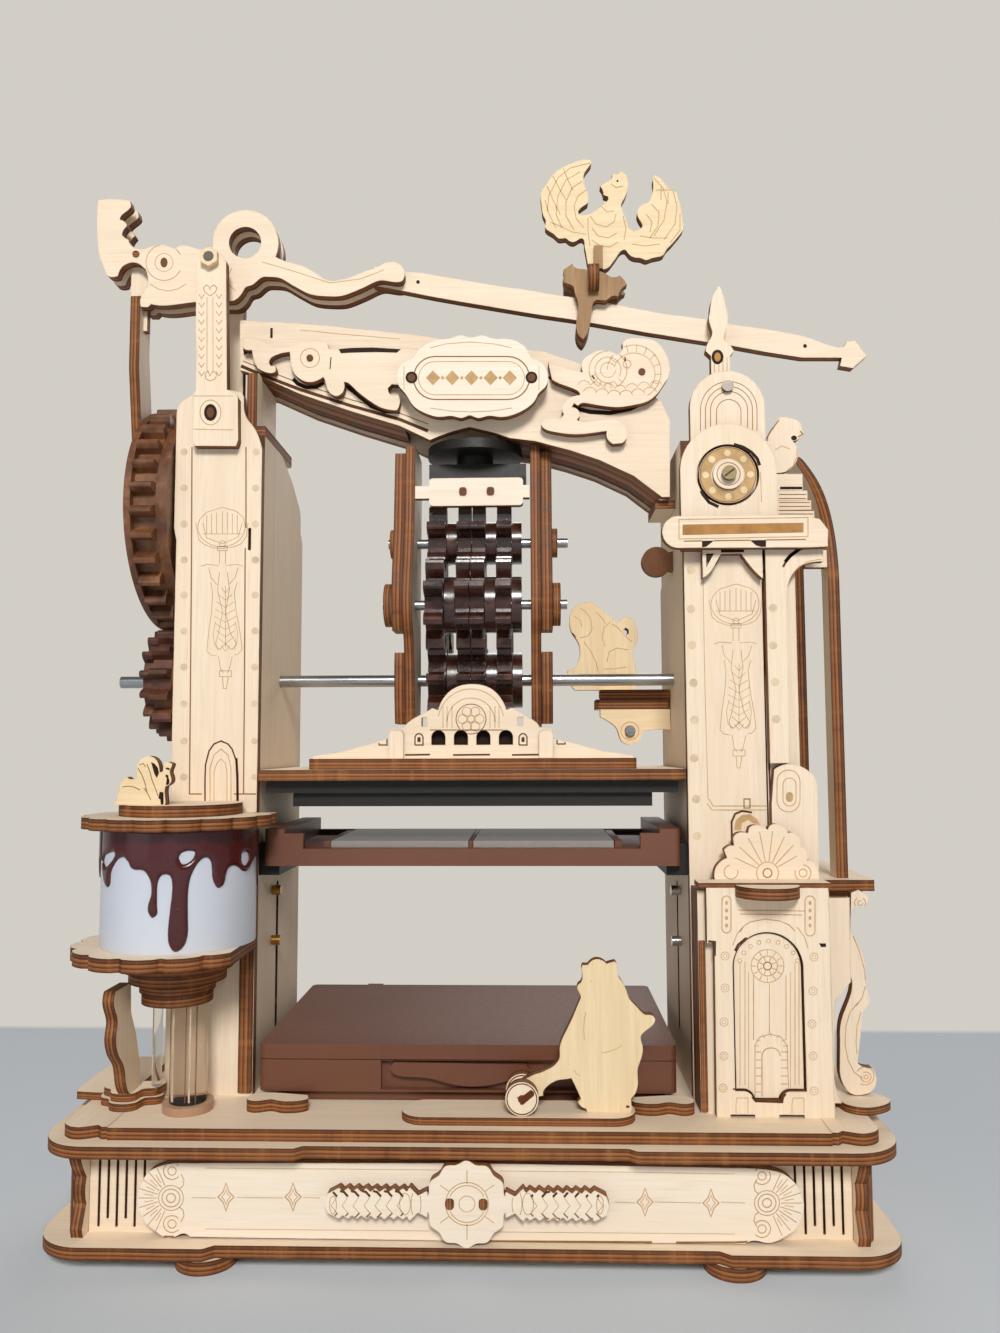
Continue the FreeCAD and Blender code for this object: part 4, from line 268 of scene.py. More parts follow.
def plastic(name, col, rough, var=0.10, coat=0.0, grit=0.25, scale=900.0):
    key = ("plastic", name)
    if key in MATS:
        return MATS[key]
    t = Tree(name)
    a = t.noise(t.mapped((scale,) * 3), 1.0, 3.0, 0.6)
    b = t.noise(t.mapped((22.0,) * 3), 1.0, 3.0, 0.5)
    base = hexc(col)
    dark = tuple(v * (1 - var) for v in base)
    lite = tuple(min(1, v * (1 + var)) for v in base)
    c = t.ramp(b, [(0.3, dark), (0.7, lite)])
    c = t.mix(t.math("MULTIPLY", t.grey(a, 0.45, 0.75), 0.25), c, tuple(v * 1.25 for v in base))
    t.link(c, t.bsdf.inputs["Base Color"])
    t.link(t.ramp(a, [(0.2, (rough - 0.06,) * 3), (0.8, (rough + 0.08,) * 3)]),
           t.bsdf.inputs["Roughness"])
    t.bsdf.inputs["Coat Weight"].default_value = coat
    t.bsdf.inputs["Coat Roughness"].default_value = 0.12
    t.bump(a, grit, 0.00012)
    MATS[key] = t.mat
    return t.mat


def metal(name, col, rough, along=0):
    key = ("metal", name)
    if key in MATS:
        return MATS[key]
    t = Tree(name)
    sc = [2600.0] * 3
    sc[along] = 60.0
    a = t.noise(t.mapped(sc), 1.0, 3.0, 0.6)
    b = t.noise(t.mapped((60.0,) * 3), 1.0, 2.0, 0.5)
    base = hexc(col)
    c = t.ramp(a, [(0.25, tuple(v * 0.72 for v in base)), (0.75, base)])
    c = t.mix(t.math("MULTIPLY", t.grey(b, 0.5, 0.75), 0.3), c, tuple(v * 0.55 for v in base))
    t.link(c, t.bsdf.inputs["Base Color"])
    t.bsdf.inputs["Metallic"].default_value = 1.0
    t.link(t.ramp(a, [(0.2, (rough - 0.07,) * 3), (0.8, (rough + 0.1,) * 3)]),
           t.bsdf.inputs["Roughness"])
    t.bump(a, 0.15, 0.0001)
    MATS[key] = t.mat
    return t.mat


def ink(name, col, rough=0.7, strength=1.0):
    """Scorched engraving on a sheet, also used for painted shade lines and patches."""
    key = ("ink", name)
    if key in MATS:
        return MATS[key]
    t = Tree(name)
    a = t.noise(t.mapped((260.0,) * 3), 1.0, 3.0, 0.6)
    base = hexc(col)
    c = t.ramp(a, [(0.25, tuple(v * 0.72 for v in base)), (0.75, tuple(min(1.0, v * 1.18) for v in base))])
    t.link(c, t.bsdf.inputs["Base Color"])
    t.bsdf.inputs["Roughness"].default_value = rough
    t.bsdf.inputs["Specular IOR Level"].default_value = 0.2
    MATS[key] = t.mat
    return t.mat


# ------------------------------------------------------------------ which face is which
def islands(me):
    """Connected pieces of a mesh, matched by position. Gives a label for each polygon."""
    n = len(me.vertices)
    co = np.empty(n * 3, np.float32)
    me.vertices.foreach_get("co", co)
    co = co.reshape(-1, 3)
    q = np.round(co * 1e6).astype(np.int64)
    _, inv = np.unique(q, axis=0, return_inverse=True)
    inv = inv.ravel()
    lv = np.empty(len(me.loops), np.int32)
    me.loops.foreach_get("vertex_index", lv)
    tot = np.empty(len(me.polygons), np.int32)
    me.polygons.foreach_get("loop_total", tot)
    start = np.empty(len(me.polygons), np.int32)
    me.polygons.foreach_get("loop_start", start)
    w = inv[lv]
    m = int(w.max()) + 1
    lab = np.arange(m)
    first = w[start]
    poly_of = np.repeat(np.arange(len(tot)), tot)
    a, b = first[poly_of], w
    while True:
        low = np.minimum(lab[a], lab[b])
        new = lab.copy()
        np.minimum.at(new, a, low)
        np.minimum.at(new, b, low)
        new = new[new]
        new = new[new]
        if np.array_equal(new, lab):
            break
        lab = new
    return co, lab[first], w, start, tot


def dress(node, face, edge=None, tone="light", thin=None):
    """Gives each sheet of a node a face material on its two faces and a cut-edge material on
    the rest. face may be a material that is used everywhere."""
    o = NODES[node]
    me = o.data
    me.materials.clear()
    if face is not None:
        me.materials.append(face)
        for p in me.polygons:
            p.material_index = 0
        return
    co, lab, w, start, tot = islands(me)
    nor = np.empty(len(me.polygons) * 3, np.float32)
    me.polygons.foreach_get("normal", nor)
    nor = nor.reshape(-1, 3)
    lv = np.empty(len(me.loops), np.int32)
    me.loops.foreach_get("vertex_index", lv)
    idx = np.zeros(len(me.polygons), np.int32)
    slots = {}

    def slot_of(mat):
        if mat.name not in slots:
            slots[mat.name] = len(me.materials)
            me.materials.append(mat)
        return slots[mat.name]

    poly_of = np.repeat(np.arange(len(tot)), tot)
    for L in np.unique(lab):
        polys = np.nonzero(lab == L)[0]
        mask = lab[poly_of] == L
        pts = co[lv[mask]]
        lo, hi = pts.min(0), pts.max(0)
        size = hi - lo
        ax = int(np.argmin(size)) if thin is None else thin
        if size[ax] > 0.0045 and thin is None:
            ax = int(np.argmin(size))
        rest = [i for i in range(3) if i != ax]
        grain = rest[0] if size[rest[0]] >= size[rest[1]] else rest[1]
        f = slot_of(wood_face(grain, tone))
        e = slot_of(edge if edge is not None else wood_edge(ax, float(lo[ax]), float(size[ax])))
        flat = np.abs(nor[polys, ax]) > 0.95
        idx[polys] = np.where(flat, f, e)
    me.polygons.foreach_set("material_index", idx)
    me.update()


# ------------------------------------------------------------------ mesh pieces
def lift(plane, at, u, v, d):
    """A point of a plane: u along the plane's first axis, v along its second, d outwards."""
    if plane == "XZ":
        return P(u, at - d, v)
    if plane == "XZ+":
        return P(u, at + d, v)
    if plane == "YZ":
        return P(at + d, u, v)
    if plane == "YZ-":
        return P(at - d, u, v)
    if plane == "XY":
        return P(u, v, at + d)
    return P(u, v, at - d)


def make(name, bm, mats, body, smooth=False):
    bmesh.ops.recalc_face_normals(bm, faces=bm.faces)
    me = bpy.data.meshes.new(name)
    bm.to_mesh(me)
    bm.free()
    for m in (mats if isinstance(mats, (list, tuple)) else [mats]):
        me.materials.append(m)
    if smooth:
        for p in me.polygons:
            p.use_smooth = True
    o = bpy.data.objects.new(name, me)
    bpy.context.scene.collection.objects.link(o)
    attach(o, body)
    return o


def add_strip(bm, plane, at, pts, width, height, closed=False, sink=0.08, mat=0):
    """A thin closed bar along a line on a plane. pts in millimetres, mitred at its corners."""
    pts = [tuple(p) for p in pts]
    clean = [pts[0]]
    for p in pts[1:]:
        if math.hypot(p[0] - clean[-1][0], p[1] - clean[-1][1]) > 0.02:
            clean.append(p)
    if closed and math.hypot(clean[0][0] - clean[-1][0], clean[0][1] - clean[-1][1]) < 0.02:
        clean.pop()
    pts = clean
    n = len(pts)
    if n < 2:
        return
    h = width / 2.0
    rows = []
    for i in range(n):
        a = pts[i - 1] if (closed or i > 0) else None
        c = pts[(i + 1) % n] if (closed or i < n - 1) else None
        b = pts[i]
        dirs = []
        if a is not None:
            l = math.hypot(b[0] - a[0], b[1] - a[1])
            dirs.append(((b[0] - a[0]) / l, (b[1] - a[1]) / l))
        if c is not None:
            l = math.hypot(c[0] - b[0], c[1] - b[1])
            dirs.append(((c[0] - b[0]) / l, (c[1] - b[1]) / l))
        dx = sum(d[0] for d in dirs) / len(dirs)
        dy = sum(d[1] for d in dirs) / len(dirs)
        l = math.hypot(dx, dy)
        if l < 0.25:
            dx, dy = dirs[-1]
            l = 1.0
        k = min(1.0 / l, 1.8)
        nx, ny = -dy / l * h * k, dx / l * h * k
        rows.append([bm.verts.new(lift(plane, at, b[0] + nx * s, b[1] + ny * s, d))
                     for s, d in ((1, height), (-1, height), (-1, -sink), (1, -sink))])
    m = n if closed else n - 1
    for i in range(m):
        r, q = rows[i], rows[(i + 1) % n]
        for k in range(4):
            f = bm.faces.new((r[k], r[(k + 1) % 4], q[(k + 1) % 4], q[k]))
            f.material_index = mat
    if not closed:
        for r in (rows[0], rows[-1]):
            f = bm.faces.new(r)
            f.material_index = mat


def add_patch(bm, plane, at, pts, height, sink=0.08, mat=0, inset=0.0):
    """A closed flat piece with a given outline, standing a little out of a plane."""
    top = [bm.verts.new(lift(plane, at, u, v, height)) for u, v in pts]
    low = [bm.verts.new(lift(plane, at, u, v, -sink)) for u, v in pts]
    n = len(pts)
    fs = [bm.faces.new(top), bm.faces.new(low[::-1])]
    for i in range(n):
        fs.append(bm.faces.new((top[i], low[i], low[(i + 1) % n], top[(i + 1) % n])))
    for f in fs:
        f.material_index = mat
    bmesh.ops.triangulate(bm, faces=fs[:2])


def ring_pts(cx, cy, r, n=24, a0=0.0, a1=360.0, ry=None):
    ry = r if ry is None else ry
    full = abs(a1 - a0) >= 359.9
    k = n if full else n + 1
    return [(cx + r * math.cos(math.radians(a0 + (a1 - a0) * i / n)),
             cy + ry * math.sin(math.radians(a0 + (a1 - a0) * i / n))) for i in range(k)]


def lines(name, plane, at, items, mat, body="frame", height=0.03, slot="plywood"):
    """items: (points, width, closed)."""
    bm = bmesh.new()
    for pts, width, closed in items:
        add_strip(bm, plane, at, pts, width, height, closed)
    return make(name, bm, mat, body)

# ------------------------------------------------------------------ the CAD nodes' finishes
SHEET = ["base_plate", "base_feet", "base_walls", "base_front_panel", "base_medallion",
         "lower_deck", "upper_deck", "deck_fittings", "bear_figure", "ink_roller",
         "left_tower_front", "left_tower_walls", "left_tower_pillars", "lamp_stand",
         "lamp_top_shelf", "lamp_figure", "mechanism_cheeks", "mechanism_cross_plate",
         "platen_plate", "platen_facade", "platen_racks", "beam_plates",
         "beam_ornaments", "beam_plaque", "lever_sculpture", "lever_arm", "eagle_figure",
         "connecting_rod", "right_tower_front", "right_tower_walls", "right_tower_crown", "dial",
         "tower_crossbar", "right_tower_roof", "tower_ornaments", "cabinet_front", "cabinet_box",
         "side_buttress", "monkey_bracket"]
TONES = {"base_front_panel": "pale", "base_medallion": "pale", "beam_plaque": "pale",
         "bear_figure": "warm", "monkey_bracket": "warm", "eagle_figure": "warm",
         "lamp_figure": "warm", "mechanism_cross_plate": "pale"}
for n_ in SHEET:
    dress(n_, None, tone=TONES.get(n_, "light"))
dress("eagle_perch", None, tone="dark")


def by_start(node, axis, rules, other):
    """Materials of a node's separate solids, chosen by where each one starts on an axis."""
    o = NODES[node]
    me = o.data
    me.materials.clear()
    co, lab, w, start, tot = islands(me)
    lv = np.empty(len(me.loops), np.int32)
    me.loops.foreach_get("vertex_index", lv)
    poly_of = np.repeat(np.arange(len(tot)), tot)
    idx = np.zeros(len(me.polygons), np.int32)
    names = {}
    for L in np.unique(lab):
        pts = co[lv[lab[poly_of] == L]]
        at = float(pts[:, axis].min()) * 1000.0 - (DX if axis == 0 else DY if axis == 1 else 0.0)
        mat = other
        for lo, hi, m in rules:
            if lo <= at <= hi:
                mat = m
        if mat.name not in names:
            names[mat.name] = len(me.materials)
            me.materials.append(mat)
        idx[lab == L] = names[mat.name]
    me.polygons.foreach_set("material_index", idx)
    me.update()


STEEL = metal("drawn_steel_rod", "B9BBBE", 0.28)
BRASS = metal("brass_pin", "B98E4A", 0.30)
SILVER = metal("bright_pin", "D4D4D2", 0.20)
BOLT = metal("dull_bolt", "6E6862", 0.34)
OLD_BRASS = metal("dull_brass_screw", "7A6A4E", 0.36)
BROWN = plastic("satin_brown_moulding", "6A3E29", 0.46, 0.10, 0.10)
BROWN_DARK = plastic("dark_brown_moulding", "2A1813", 0.42, 0.12, 0.05)
BLACK = plastic("satin_black_moulding", "0C0704", 0.50, 0.12, 0.0)
GREY = plastic("glossy_grey_plate", "8C8681", 0.14, 0.10, 0.6, 0.05)
MAROON = plastic("glossy_maroon_drip", "44090D", 0.24, 0.20, 0.30, 0.05, 300.0)

PEG = ink("peg_end_grain", "6B4428", 0.6)
by_start("large_gear", 0, [(-97.5, -96.0, waxed("disc")), (-89.2, -88.0, waxed("disc"))], waxed("big"))
by_start("small_gear", 0, [], waxed("small"))
for n_ in ("drive_pinions", "middle_gears", "top_gears"):
    dress(n_, waxed("gear"))
for n_ in ("drive_shaft", "large_gear_axle", "middle_axle", "top_axle"):
    dress(n_, STEEL)
by_start("pins_and_screws", 0, [(-60.0, -59.6, BRASS), (57.0, 57.4, SILVER), (-49.5, -49.1, PEG),
                                (48.7, 49.1, PEG), (-77.6, -77.4, wood_face(0, "warm")), (-76.6, -76.4, BOLT),
                                (71.3, 71.5, BOLT), (70.0, 70.2, OLD_BRASS)], STEEL)
for n_ in ("ram_block", "tray_rails", "platen_pad"):
    dress(n_, BLACK)
for n_ in ("storage_case", "case_fittings", "storage_case_lid", "type_tray"):
    dress(n_, BROWN)
dress("tray_glass", GREY)


def shade_sheet():
    t = Tree("white_lamp_sheet")
    a = t.noise(t.mapped((60.0, 60.0, 25.0)), 1.0, 3.0, 0.5)
    b = t.noise(t.mapped((700.0,) * 3), 1.0, 2.0, 0.6)
    c = t.ramp(a, [(0.3, hexc("C6CBD8")), (0.7, hexc("D0D5E0"))])
    t.link(c, t.bsdf.inputs["Base Color"])
    t.link(t.ramp(b, [(0.2, (0.28,) * 3), (0.8, (0.42,) * 3)]), t.bsdf.inputs["Roughness"])
    t.bsdf.inputs["Subsurface Weight"].default_value = 0.35
    t.bsdf.inputs["Subsurface Radius"].default_value = (0.004, 0.004, 0.004)
    t.bsdf.inputs["Subsurface Scale"].default_value = 0.5
    t.bump(b, 0.08, 0.0001)
    return t.mat


def clear_tube():
    t = Tree("clear_ribbed_tube")
    a = t.noise(t.mapped((90.0, 90.0, 20.0)), 1.0, 2.0, 0.5)
    c = t.ramp(a, [(0.3, hexc("F0E6DA")), (0.7, hexc("FBF6F0"))])
    t.link(c, t.bsdf.inputs["Base Color"])
    t.link(t.ramp(a, [(0.2, (0.06,) * 3), (0.8, (0.18,) * 3)]), t.bsdf.inputs["Roughness"])
    t.bsdf.inputs["Transmission Weight"].default_value = 0.97
    t.bsdf.inputs["IOR"].default_value = 1.16
    t.bump(a, 0.1, 0.0002)
    return t.mat


dress("lamp_shade", shade_sheet())
dress("lamp_tubes", clear_tube())

LINE = ink("light_engraved_line", "C6A174", 0.75)
BURN = ink("burnt_line_and_painted_shadow", "5A361C", 0.7)
DARK = ink("deep_burnt_slot_and_painted_shade", "2A170C", 0.65)
# ------------------------------------------------------------------ burnt line work and painted shade strips
ART = [
    ('s', 'base_front_panel', 'frame', 'LINE', 5.3, 0.3, True, [(-59.86, 19.69), (-59.07, 17.54), (-57.8, 16.35), (-59.03, 15.14), (-59.74, 12.98), (-60.53, 15.13), (-61.81, 16.31), (-60.58, 17.52)]),
    ('s', 'base_front_panel', 'frame', 'LINE', 5.3, 0.18, True, [(-59.84, 18.25), (-59.41, 17.05), (-58.67, 16.34), (-59.39, 15.62), (-59.77, 14.42), (-60.19, 15.61), (-60.93, 16.32), (-60.22, 17.05)]),
    ('s', 'base_front_panel', 'frame', 'LINE', 5.3, 0.3, True, [(-43.06, 19.85), (-42.28, 17.7), (-41.02, 16.51), (-42.25, 15.31), (-42.97, 13.15), (-43.75, 15.29), (-45.02, 16.48), (-43.78, 17.68)]),
    ('s', 'base_front_panel', 'frame', 'LINE', 5.3, 0.18, True, [(-43.04, 18.41), (-42.63, 17.22), (-41.89, 16.51), (-42.61, 15.78), (-42.99, 14.58), (-43.41, 15.77), (-44.14, 16.48), (-43.43, 17.21)]),
    ('s', 'base_front_panel', 'frame', 'LINE', 5.3, 0.3, True, [(44.12, 19.48), (44.82, 17.35), (46.03, 16.18), (44.78, 14.99), (44.02, 12.85), (43.32, 14.97), (42.11, 16.14), (43.35, 17.34)]),
    ('s', 'base_front_panel', 'frame', 'LINE', 5.3, 0.18, True, [(44.1, 18.05), (44.47, 16.87), (45.17, 16.17), (44.45, 15.45), (44.04, 14.27), (43.67, 15.45), (42.97, 16.15), (43.69, 16.87)]),
    ('s', 'base_front_panel', 'frame', 'LINE', 5.3, 0.3, True, [(60.25, 19.39), (60.94, 17.27), (62.14, 16.1), (60.9, 14.91), (60.12, 12.78), (59.43, 14.9), (58.24, 16.06), (59.48, 17.26)]),
    ('s', 'base_front_panel', 'frame', 'LINE', 5.3, 0.18, True, [(60.23, 17.97), (60.59, 16.8), (61.29, 16.09), (60.56, 15.38), (60.15, 14.2), (59.78, 15.37), (59.09, 16.07), (59.81, 16.79)]),
    ('s', 'base_front_panel', 'frame', 'LINE', 5.3, 0.16, False, [(-68.34, 16.13), (-62.31, 16.07)]),
    ('s', 'base_front_panel', 'frame', 'LINE', 5.3, 0.16, False, [(-57.04, 16.24), (-45.51, 16.23)]),
    ('s', 'base_front_panel', 'frame', 'LINE', 5.3, 0.16, False, [(-40.52, 16.4), (-36.27, 16.32)]),
    ('s', 'base_front_panel', 'frame', 'LINE', 5.3, 0.16, False, [(36.72, 16.09), (41.62, 15.9)]),
    ('s', 'base_front_panel', 'frame', 'LINE', 5.3, 0.16, False, [(46.52, 16.18), (57.75, 16.06)]),
    ('s', 'base_front_panel', 'frame', 'LINE', 5.3, 0.16, False, [(62.63, 16.34), (68.47, 16.17)]),
    ('s', 'base_front_panel', 'frame', 'LINE', 5.3, 0.28, True, [(-72.49, 15.97), (-72.6, 15.5), (-72.9, 15.12), (-73.35, 14.91), (-73.86, 14.9), (-74.32, 15.11), (-74.64, 15.48), (-74.76, 15.95), (-74.66, 16.42), (-74.35, 16.79), (-73.9, 17.01), (-73.4, 17.01), (-72.94, 16.81), (-72.62, 16.44)]),
    ('s', 'base_front_panel', 'frame', 'LINE', 5.3, 0.26, True, [(-71.36, 15.98), (-71.46, 15.31), (-71.77, 14.71), (-72.26, 14.22), (-72.88, 13.91), (-73.58, 13.8), (-74.28, 13.9), (-74.92, 14.2), (-75.43, 14.67), (-75.77, 15.27), (-75.9, 15.93), (-75.8, 16.6), (-75.49, 17.21), (-75, 17.69), (-74.38, 18.01), (-73.68, 18.12), (-72.97, 18.02), (-72.33, 17.72), (-71.82, 17.24), (-71.49, 16.65)]),
    ('s', 'base_front_panel', 'frame', 'LINE', 5.3, 0.22, True, [(-70.48, 15.99), (-70.57, 15.21), (-70.87, 14.48), (-71.36, 13.86), (-72, 13.38), (-72.75, 13.07), (-73.56, 12.96), (-74.38, 13.05), (-75.14, 13.35), (-75.81, 13.81), (-76.32, 14.43), (-76.65, 15.15), (-76.78, 15.93), (-76.69, 16.7), (-76.39, 17.43), (-75.9, 18.06), (-75.26, 18.54), (-74.51, 18.85), (-73.7, 18.96), (-72.88, 18.87), (-72.11, 18.57), (-71.45, 18.1), (-70.93, 17.48), (-70.6, 16.76)]),
    ('s', 'base_front_panel', 'frame', 'LINE', 5.3, 0.22, False, [(-75.24, 18.97), (-77.68, 23.92)]),
    ('s', 'base_front_panel', 'frame', 'LINE', 5.3, 0.22, False, [(-76.05, 18.43), (-79.69, 22.52)]),
    ('s', 'base_front_panel', 'frame', 'LINE', 5.3, 0.22, False, [(-76.66, 17.71), (-81.23, 20.6)]),
    ('s', 'base_front_panel', 'frame', 'LINE', 5.3, 0.22, False, [(-77.04, 16.85), (-82.17, 18.33)]),
    ('s', 'base_front_panel', 'frame', 'LINE', 5.3, 0.22, False, [(-77.16, 15.92), (-82.45, 15.87)]),
    ('s', 'base_front_panel', 'frame', 'LINE', 5.3, 0.22, False, [(-77, 15), (-82.05, 13.43)]),
    ('s', 'base_front_panel', 'frame', 'LINE', 5.3, 0.22, False, [(-76.58, 14.15), (-80.99, 11.18)]),
    ('s', 'base_front_panel', 'frame', 'LINE', 5.3, 0.22, False, [(-75.93, 13.44), (-79.37, 9.31)]),
    ('s', 'base_front_panel', 'frame', 'LINE', 5.3, 0.22, False, [(-75.1, 12.92), (-77.31, 7.95)]),
    ('s', 'base_front_panel', 'frame', 'LINE', 5.3, 0.18, False, [(-76.25, 19.52), (-77.56, 21.5)]),
    ('s', 'base_front_panel', 'frame', 'LINE', 5.3, 0.18, False, [(-77.17, 18.7), (-78.94, 20.23)]),
    ('s', 'base_front_panel', 'frame', 'LINE', 5.3, 0.18, False, [(-77.81, 17.68), (-79.91, 18.63)]),
    ('s', 'base_front_panel', 'frame', 'LINE', 5.3, 0.18, False, [(-78.13, 16.51), (-80.39, 16.83)]),
    ('s', 'base_front_panel', 'frame', 'LINE', 5.3, 0.18, False, [(-78.11, 15.31), (-80.34, 14.96)]),
    ('s', 'base_front_panel', 'frame', 'LINE', 5.3, 0.18, False, [(-77.73, 14.16), (-79.78, 13.16)]),
    ('s', 'base_front_panel', 'frame', 'LINE', 5.3, 0.18, False, [(-77.04, 13.15), (-78.74, 11.59)]),
    ('s', 'base_front_panel', 'frame', 'LINE', 5.3, 0.18, False, [(-76.08, 12.35), (-77.3, 10.36)]),
    ('s', 'base_front_panel', 'frame', 'LINE', 5.3, 0.26, False, [(-71.85, 21.15), (-72.27, 20.78), (-72.78, 20.52), (-73.35, 20.41), (-73.93, 20.45), (-74.48, 20.63), (-74.96, 20.95), (-75.33, 21.38), (-75.58, 21.88), (-75.67, 22.43), (-75.6, 22.98), (-75.38, 23.5), (-75.03, 23.93), (-74.56, 24.26), (-74.02, 24.45), (-73.44, 24.5), (-72.87, 24.4), (-72.35, 24.15), (-71.91, 23.78)]),
    ('s', 'base_front_panel', 'frame', 'LINE', 5.3, 0.24, True, [(-72.46, 22.46), (-72.59, 21.96), (-72.97, 21.58), (-73.5, 21.44), (-74.03, 21.57), (-74.43, 21.94), (-74.58, 22.44), (-74.45, 22.95), (-74.07, 23.32), (-73.54, 23.47), (-73.01, 23.33), (-72.61, 22.97)]),
    ('s', 'base_front_panel', 'frame', 'LINE', 5.3, 0.26, False, [(-71.57, 8.44), (-71.99, 8.07), (-72.5, 7.82), (-73.07, 7.71), (-73.64, 7.74), (-74.19, 7.92), (-74.67, 8.24), (-75.04, 8.66), (-75.28, 9.17), (-75.37, 9.71), (-75.31, 10.26), (-75.09, 10.76), (-74.74, 11.2), (-74.27, 11.52), (-73.73, 11.71), (-73.16, 11.76), (-72.59, 11.66), (-72.07, 11.42), (-71.63, 11.06)]),
    ('s', 'base_front_panel', 'frame', 'LINE', 5.3, 0.24, True, [(-72.18, 9.74), (-72.31, 9.24), (-72.69, 8.87), (-73.21, 8.73), (-73.75, 8.86), (-74.14, 9.22), (-74.29, 9.72), (-74.16, 10.22), (-73.78, 10.6), (-73.26, 10.74), (-72.73, 10.61), (-72.33, 10.24)]),
    ('s', 'base_front_panel', 'frame', 'LINE', 5.3, 0.24, False, [(-71.24, 21.75), (-70.45, 20.31), (-70.67, 18.87), (-71.66, 18.14)]),
    ('s', 'base_front_panel', 'frame', 'LINE', 5.3, 0.24, False, [(-70.99, 10.23), (-70.26, 11.68), (-70.54, 13.11), (-71.57, 13.82)]),
    ('s', 'base_front_panel', 'frame', 'LINE', 5.3, 0.28, True, [(74.91, 16.23), (74.79, 15.77), (74.48, 15.4), (74.04, 15.19), (73.55, 15.18), (73.12, 15.38), (72.82, 15.75), (72.73, 16.21), (72.85, 16.67), (73.16, 17.04), (73.6, 17.25), (74.09, 17.26), (74.52, 17.05), (74.82, 16.69)]),
    ('s', 'base_front_panel', 'frame', 'LINE', 5.3, 0.26, True, [(76.01, 16.24), (75.88, 15.58), (75.56, 14.99), (75.06, 14.52), (74.45, 14.21), (73.77, 14.1), (73.1, 14.2), (72.49, 14.49), (72.02, 14.95), (71.72, 15.54), (71.63, 16.2), (71.76, 16.85), (72.08, 17.45), (72.58, 17.92), (73.19, 18.23), (73.87, 18.34), (74.55, 18.24), (75.15, 17.95), (75.62, 17.48), (75.92, 16.89)]),
    ('s', 'base_front_panel', 'frame', 'LINE', 5.3, 0.22, True, [(76.86, 16.25), (76.73, 15.49), (76.41, 14.77), (75.92, 14.16), (75.28, 13.68), (74.54, 13.38), (73.75, 13.27), (72.97, 13.37), (72.24, 13.65), (71.62, 14.11), (71.15, 14.72), (70.87, 15.43), (70.78, 16.19), (70.9, 16.95), (71.22, 17.67), (71.72, 18.28), (72.36, 18.76), (73.1, 19.06), (73.89, 19.17), (74.68, 19.08), (75.4, 18.79), (76.02, 18.32), (76.49, 17.72), (76.77, 17.01)]),
    ('s', 'base_front_panel', 'frame', 'LINE', 5.3, 0.22, False, [(75.38, 19.2), (77.75, 24.11)]),
    ('s', 'base_front_panel', 'frame', 'LINE', 5.3, 0.22, False, [(76.16, 18.7), (79.68, 22.77)]),
    ('s', 'base_front_panel', 'frame', 'LINE', 5.3, 0.22, False, [(76.75, 18), (81.15, 20.92)]),
    ('s', 'base_front_panel', 'frame', 'LINE', 5.3, 0.22, False, [(77.11, 17.16), (82.05, 18.7)]),
    ('s', 'base_front_panel', 'frame', 'LINE', 5.3, 0.22, False, [(77.22, 16.25), (82.32, 16.3)]),
    ('s', 'base_front_panel', 'frame', 'LINE', 5.3, 0.22, False, [(77.07, 15.34), (81.92, 13.9)]),
    ('s', 'base_front_panel', 'frame', 'LINE', 5.3, 0.22, False, [(76.66, 14.5), (80.91, 11.68)]),
    ('s', 'base_front_panel', 'frame', 'LINE', 5.3, 0.22, False, [(76.04, 13.79), (79.34, 9.81)]),
    ('s', 'base_front_panel', 'frame', 'LINE', 5.3, 0.22, False, [(75.24, 13.27), (77.35, 8.44)]),
    ('s', 'base_front_panel', 'frame', 'LINE', 5.3, 0.18, False, [(76.35, 19.76), (77.63, 21.73)]),
    ('s', 'base_front_panel', 'frame', 'LINE', 5.3, 0.18, False, [(77.24, 18.98), (78.95, 20.51)]),
    ('s', 'base_front_panel', 'frame', 'LINE', 5.3, 0.18, False, [(77.86, 17.98), (79.88, 18.96)]),
    ('s', 'base_front_panel', 'frame', 'LINE', 5.3, 0.18, False, [(78.17, 16.85), (80.34, 17.2)]),
    ('s', 'base_front_panel', 'frame', 'LINE', 5.3, 0.18, False, [(78.13, 15.67), (80.29, 15.37)]),
    ('s', 'base_front_panel', 'frame', 'LINE', 5.3, 0.18, False, [(77.77, 14.53), (79.74, 13.6)]),
    ('s', 'base_front_panel', 'frame', 'LINE', 5.3, 0.18, False, [(77.1, 13.53), (78.73, 12.03)]),
    ('s', 'base_front_panel', 'frame', 'LINE', 5.3, 0.18, False, [(76.18, 12.73), (77.35, 10.79)]),
    ('s', 'base_front_panel', 'frame', 'LINE', 5.3, 0.26, False, [(71.2, 23.86), (71.62, 24.24), (72.13, 24.48), (72.68, 24.59), (73.24, 24.56), (73.76, 24.38), (74.21, 24.06), (74.55, 23.64), (74.76, 23.14), (74.83, 22.6), (74.74, 22.06), (74.5, 21.56), (74.14, 21.14), (73.68, 20.82), (73.15, 20.62), (72.59, 20.58), (72.04, 20.68), (71.55, 20.92), (71.14, 21.28)]),
    ('s', 'base_front_panel', 'frame', 'LINE', 5.3, 0.24, True, [(73.78, 22.59), (73.63, 22.1), (73.25, 21.73), (72.73, 21.59), (72.22, 21.72), (71.86, 22.08), (71.73, 22.58), (71.88, 23.07), (72.27, 23.44), (72.78, 23.58), (73.29, 23.45), (73.65, 23.09)]),
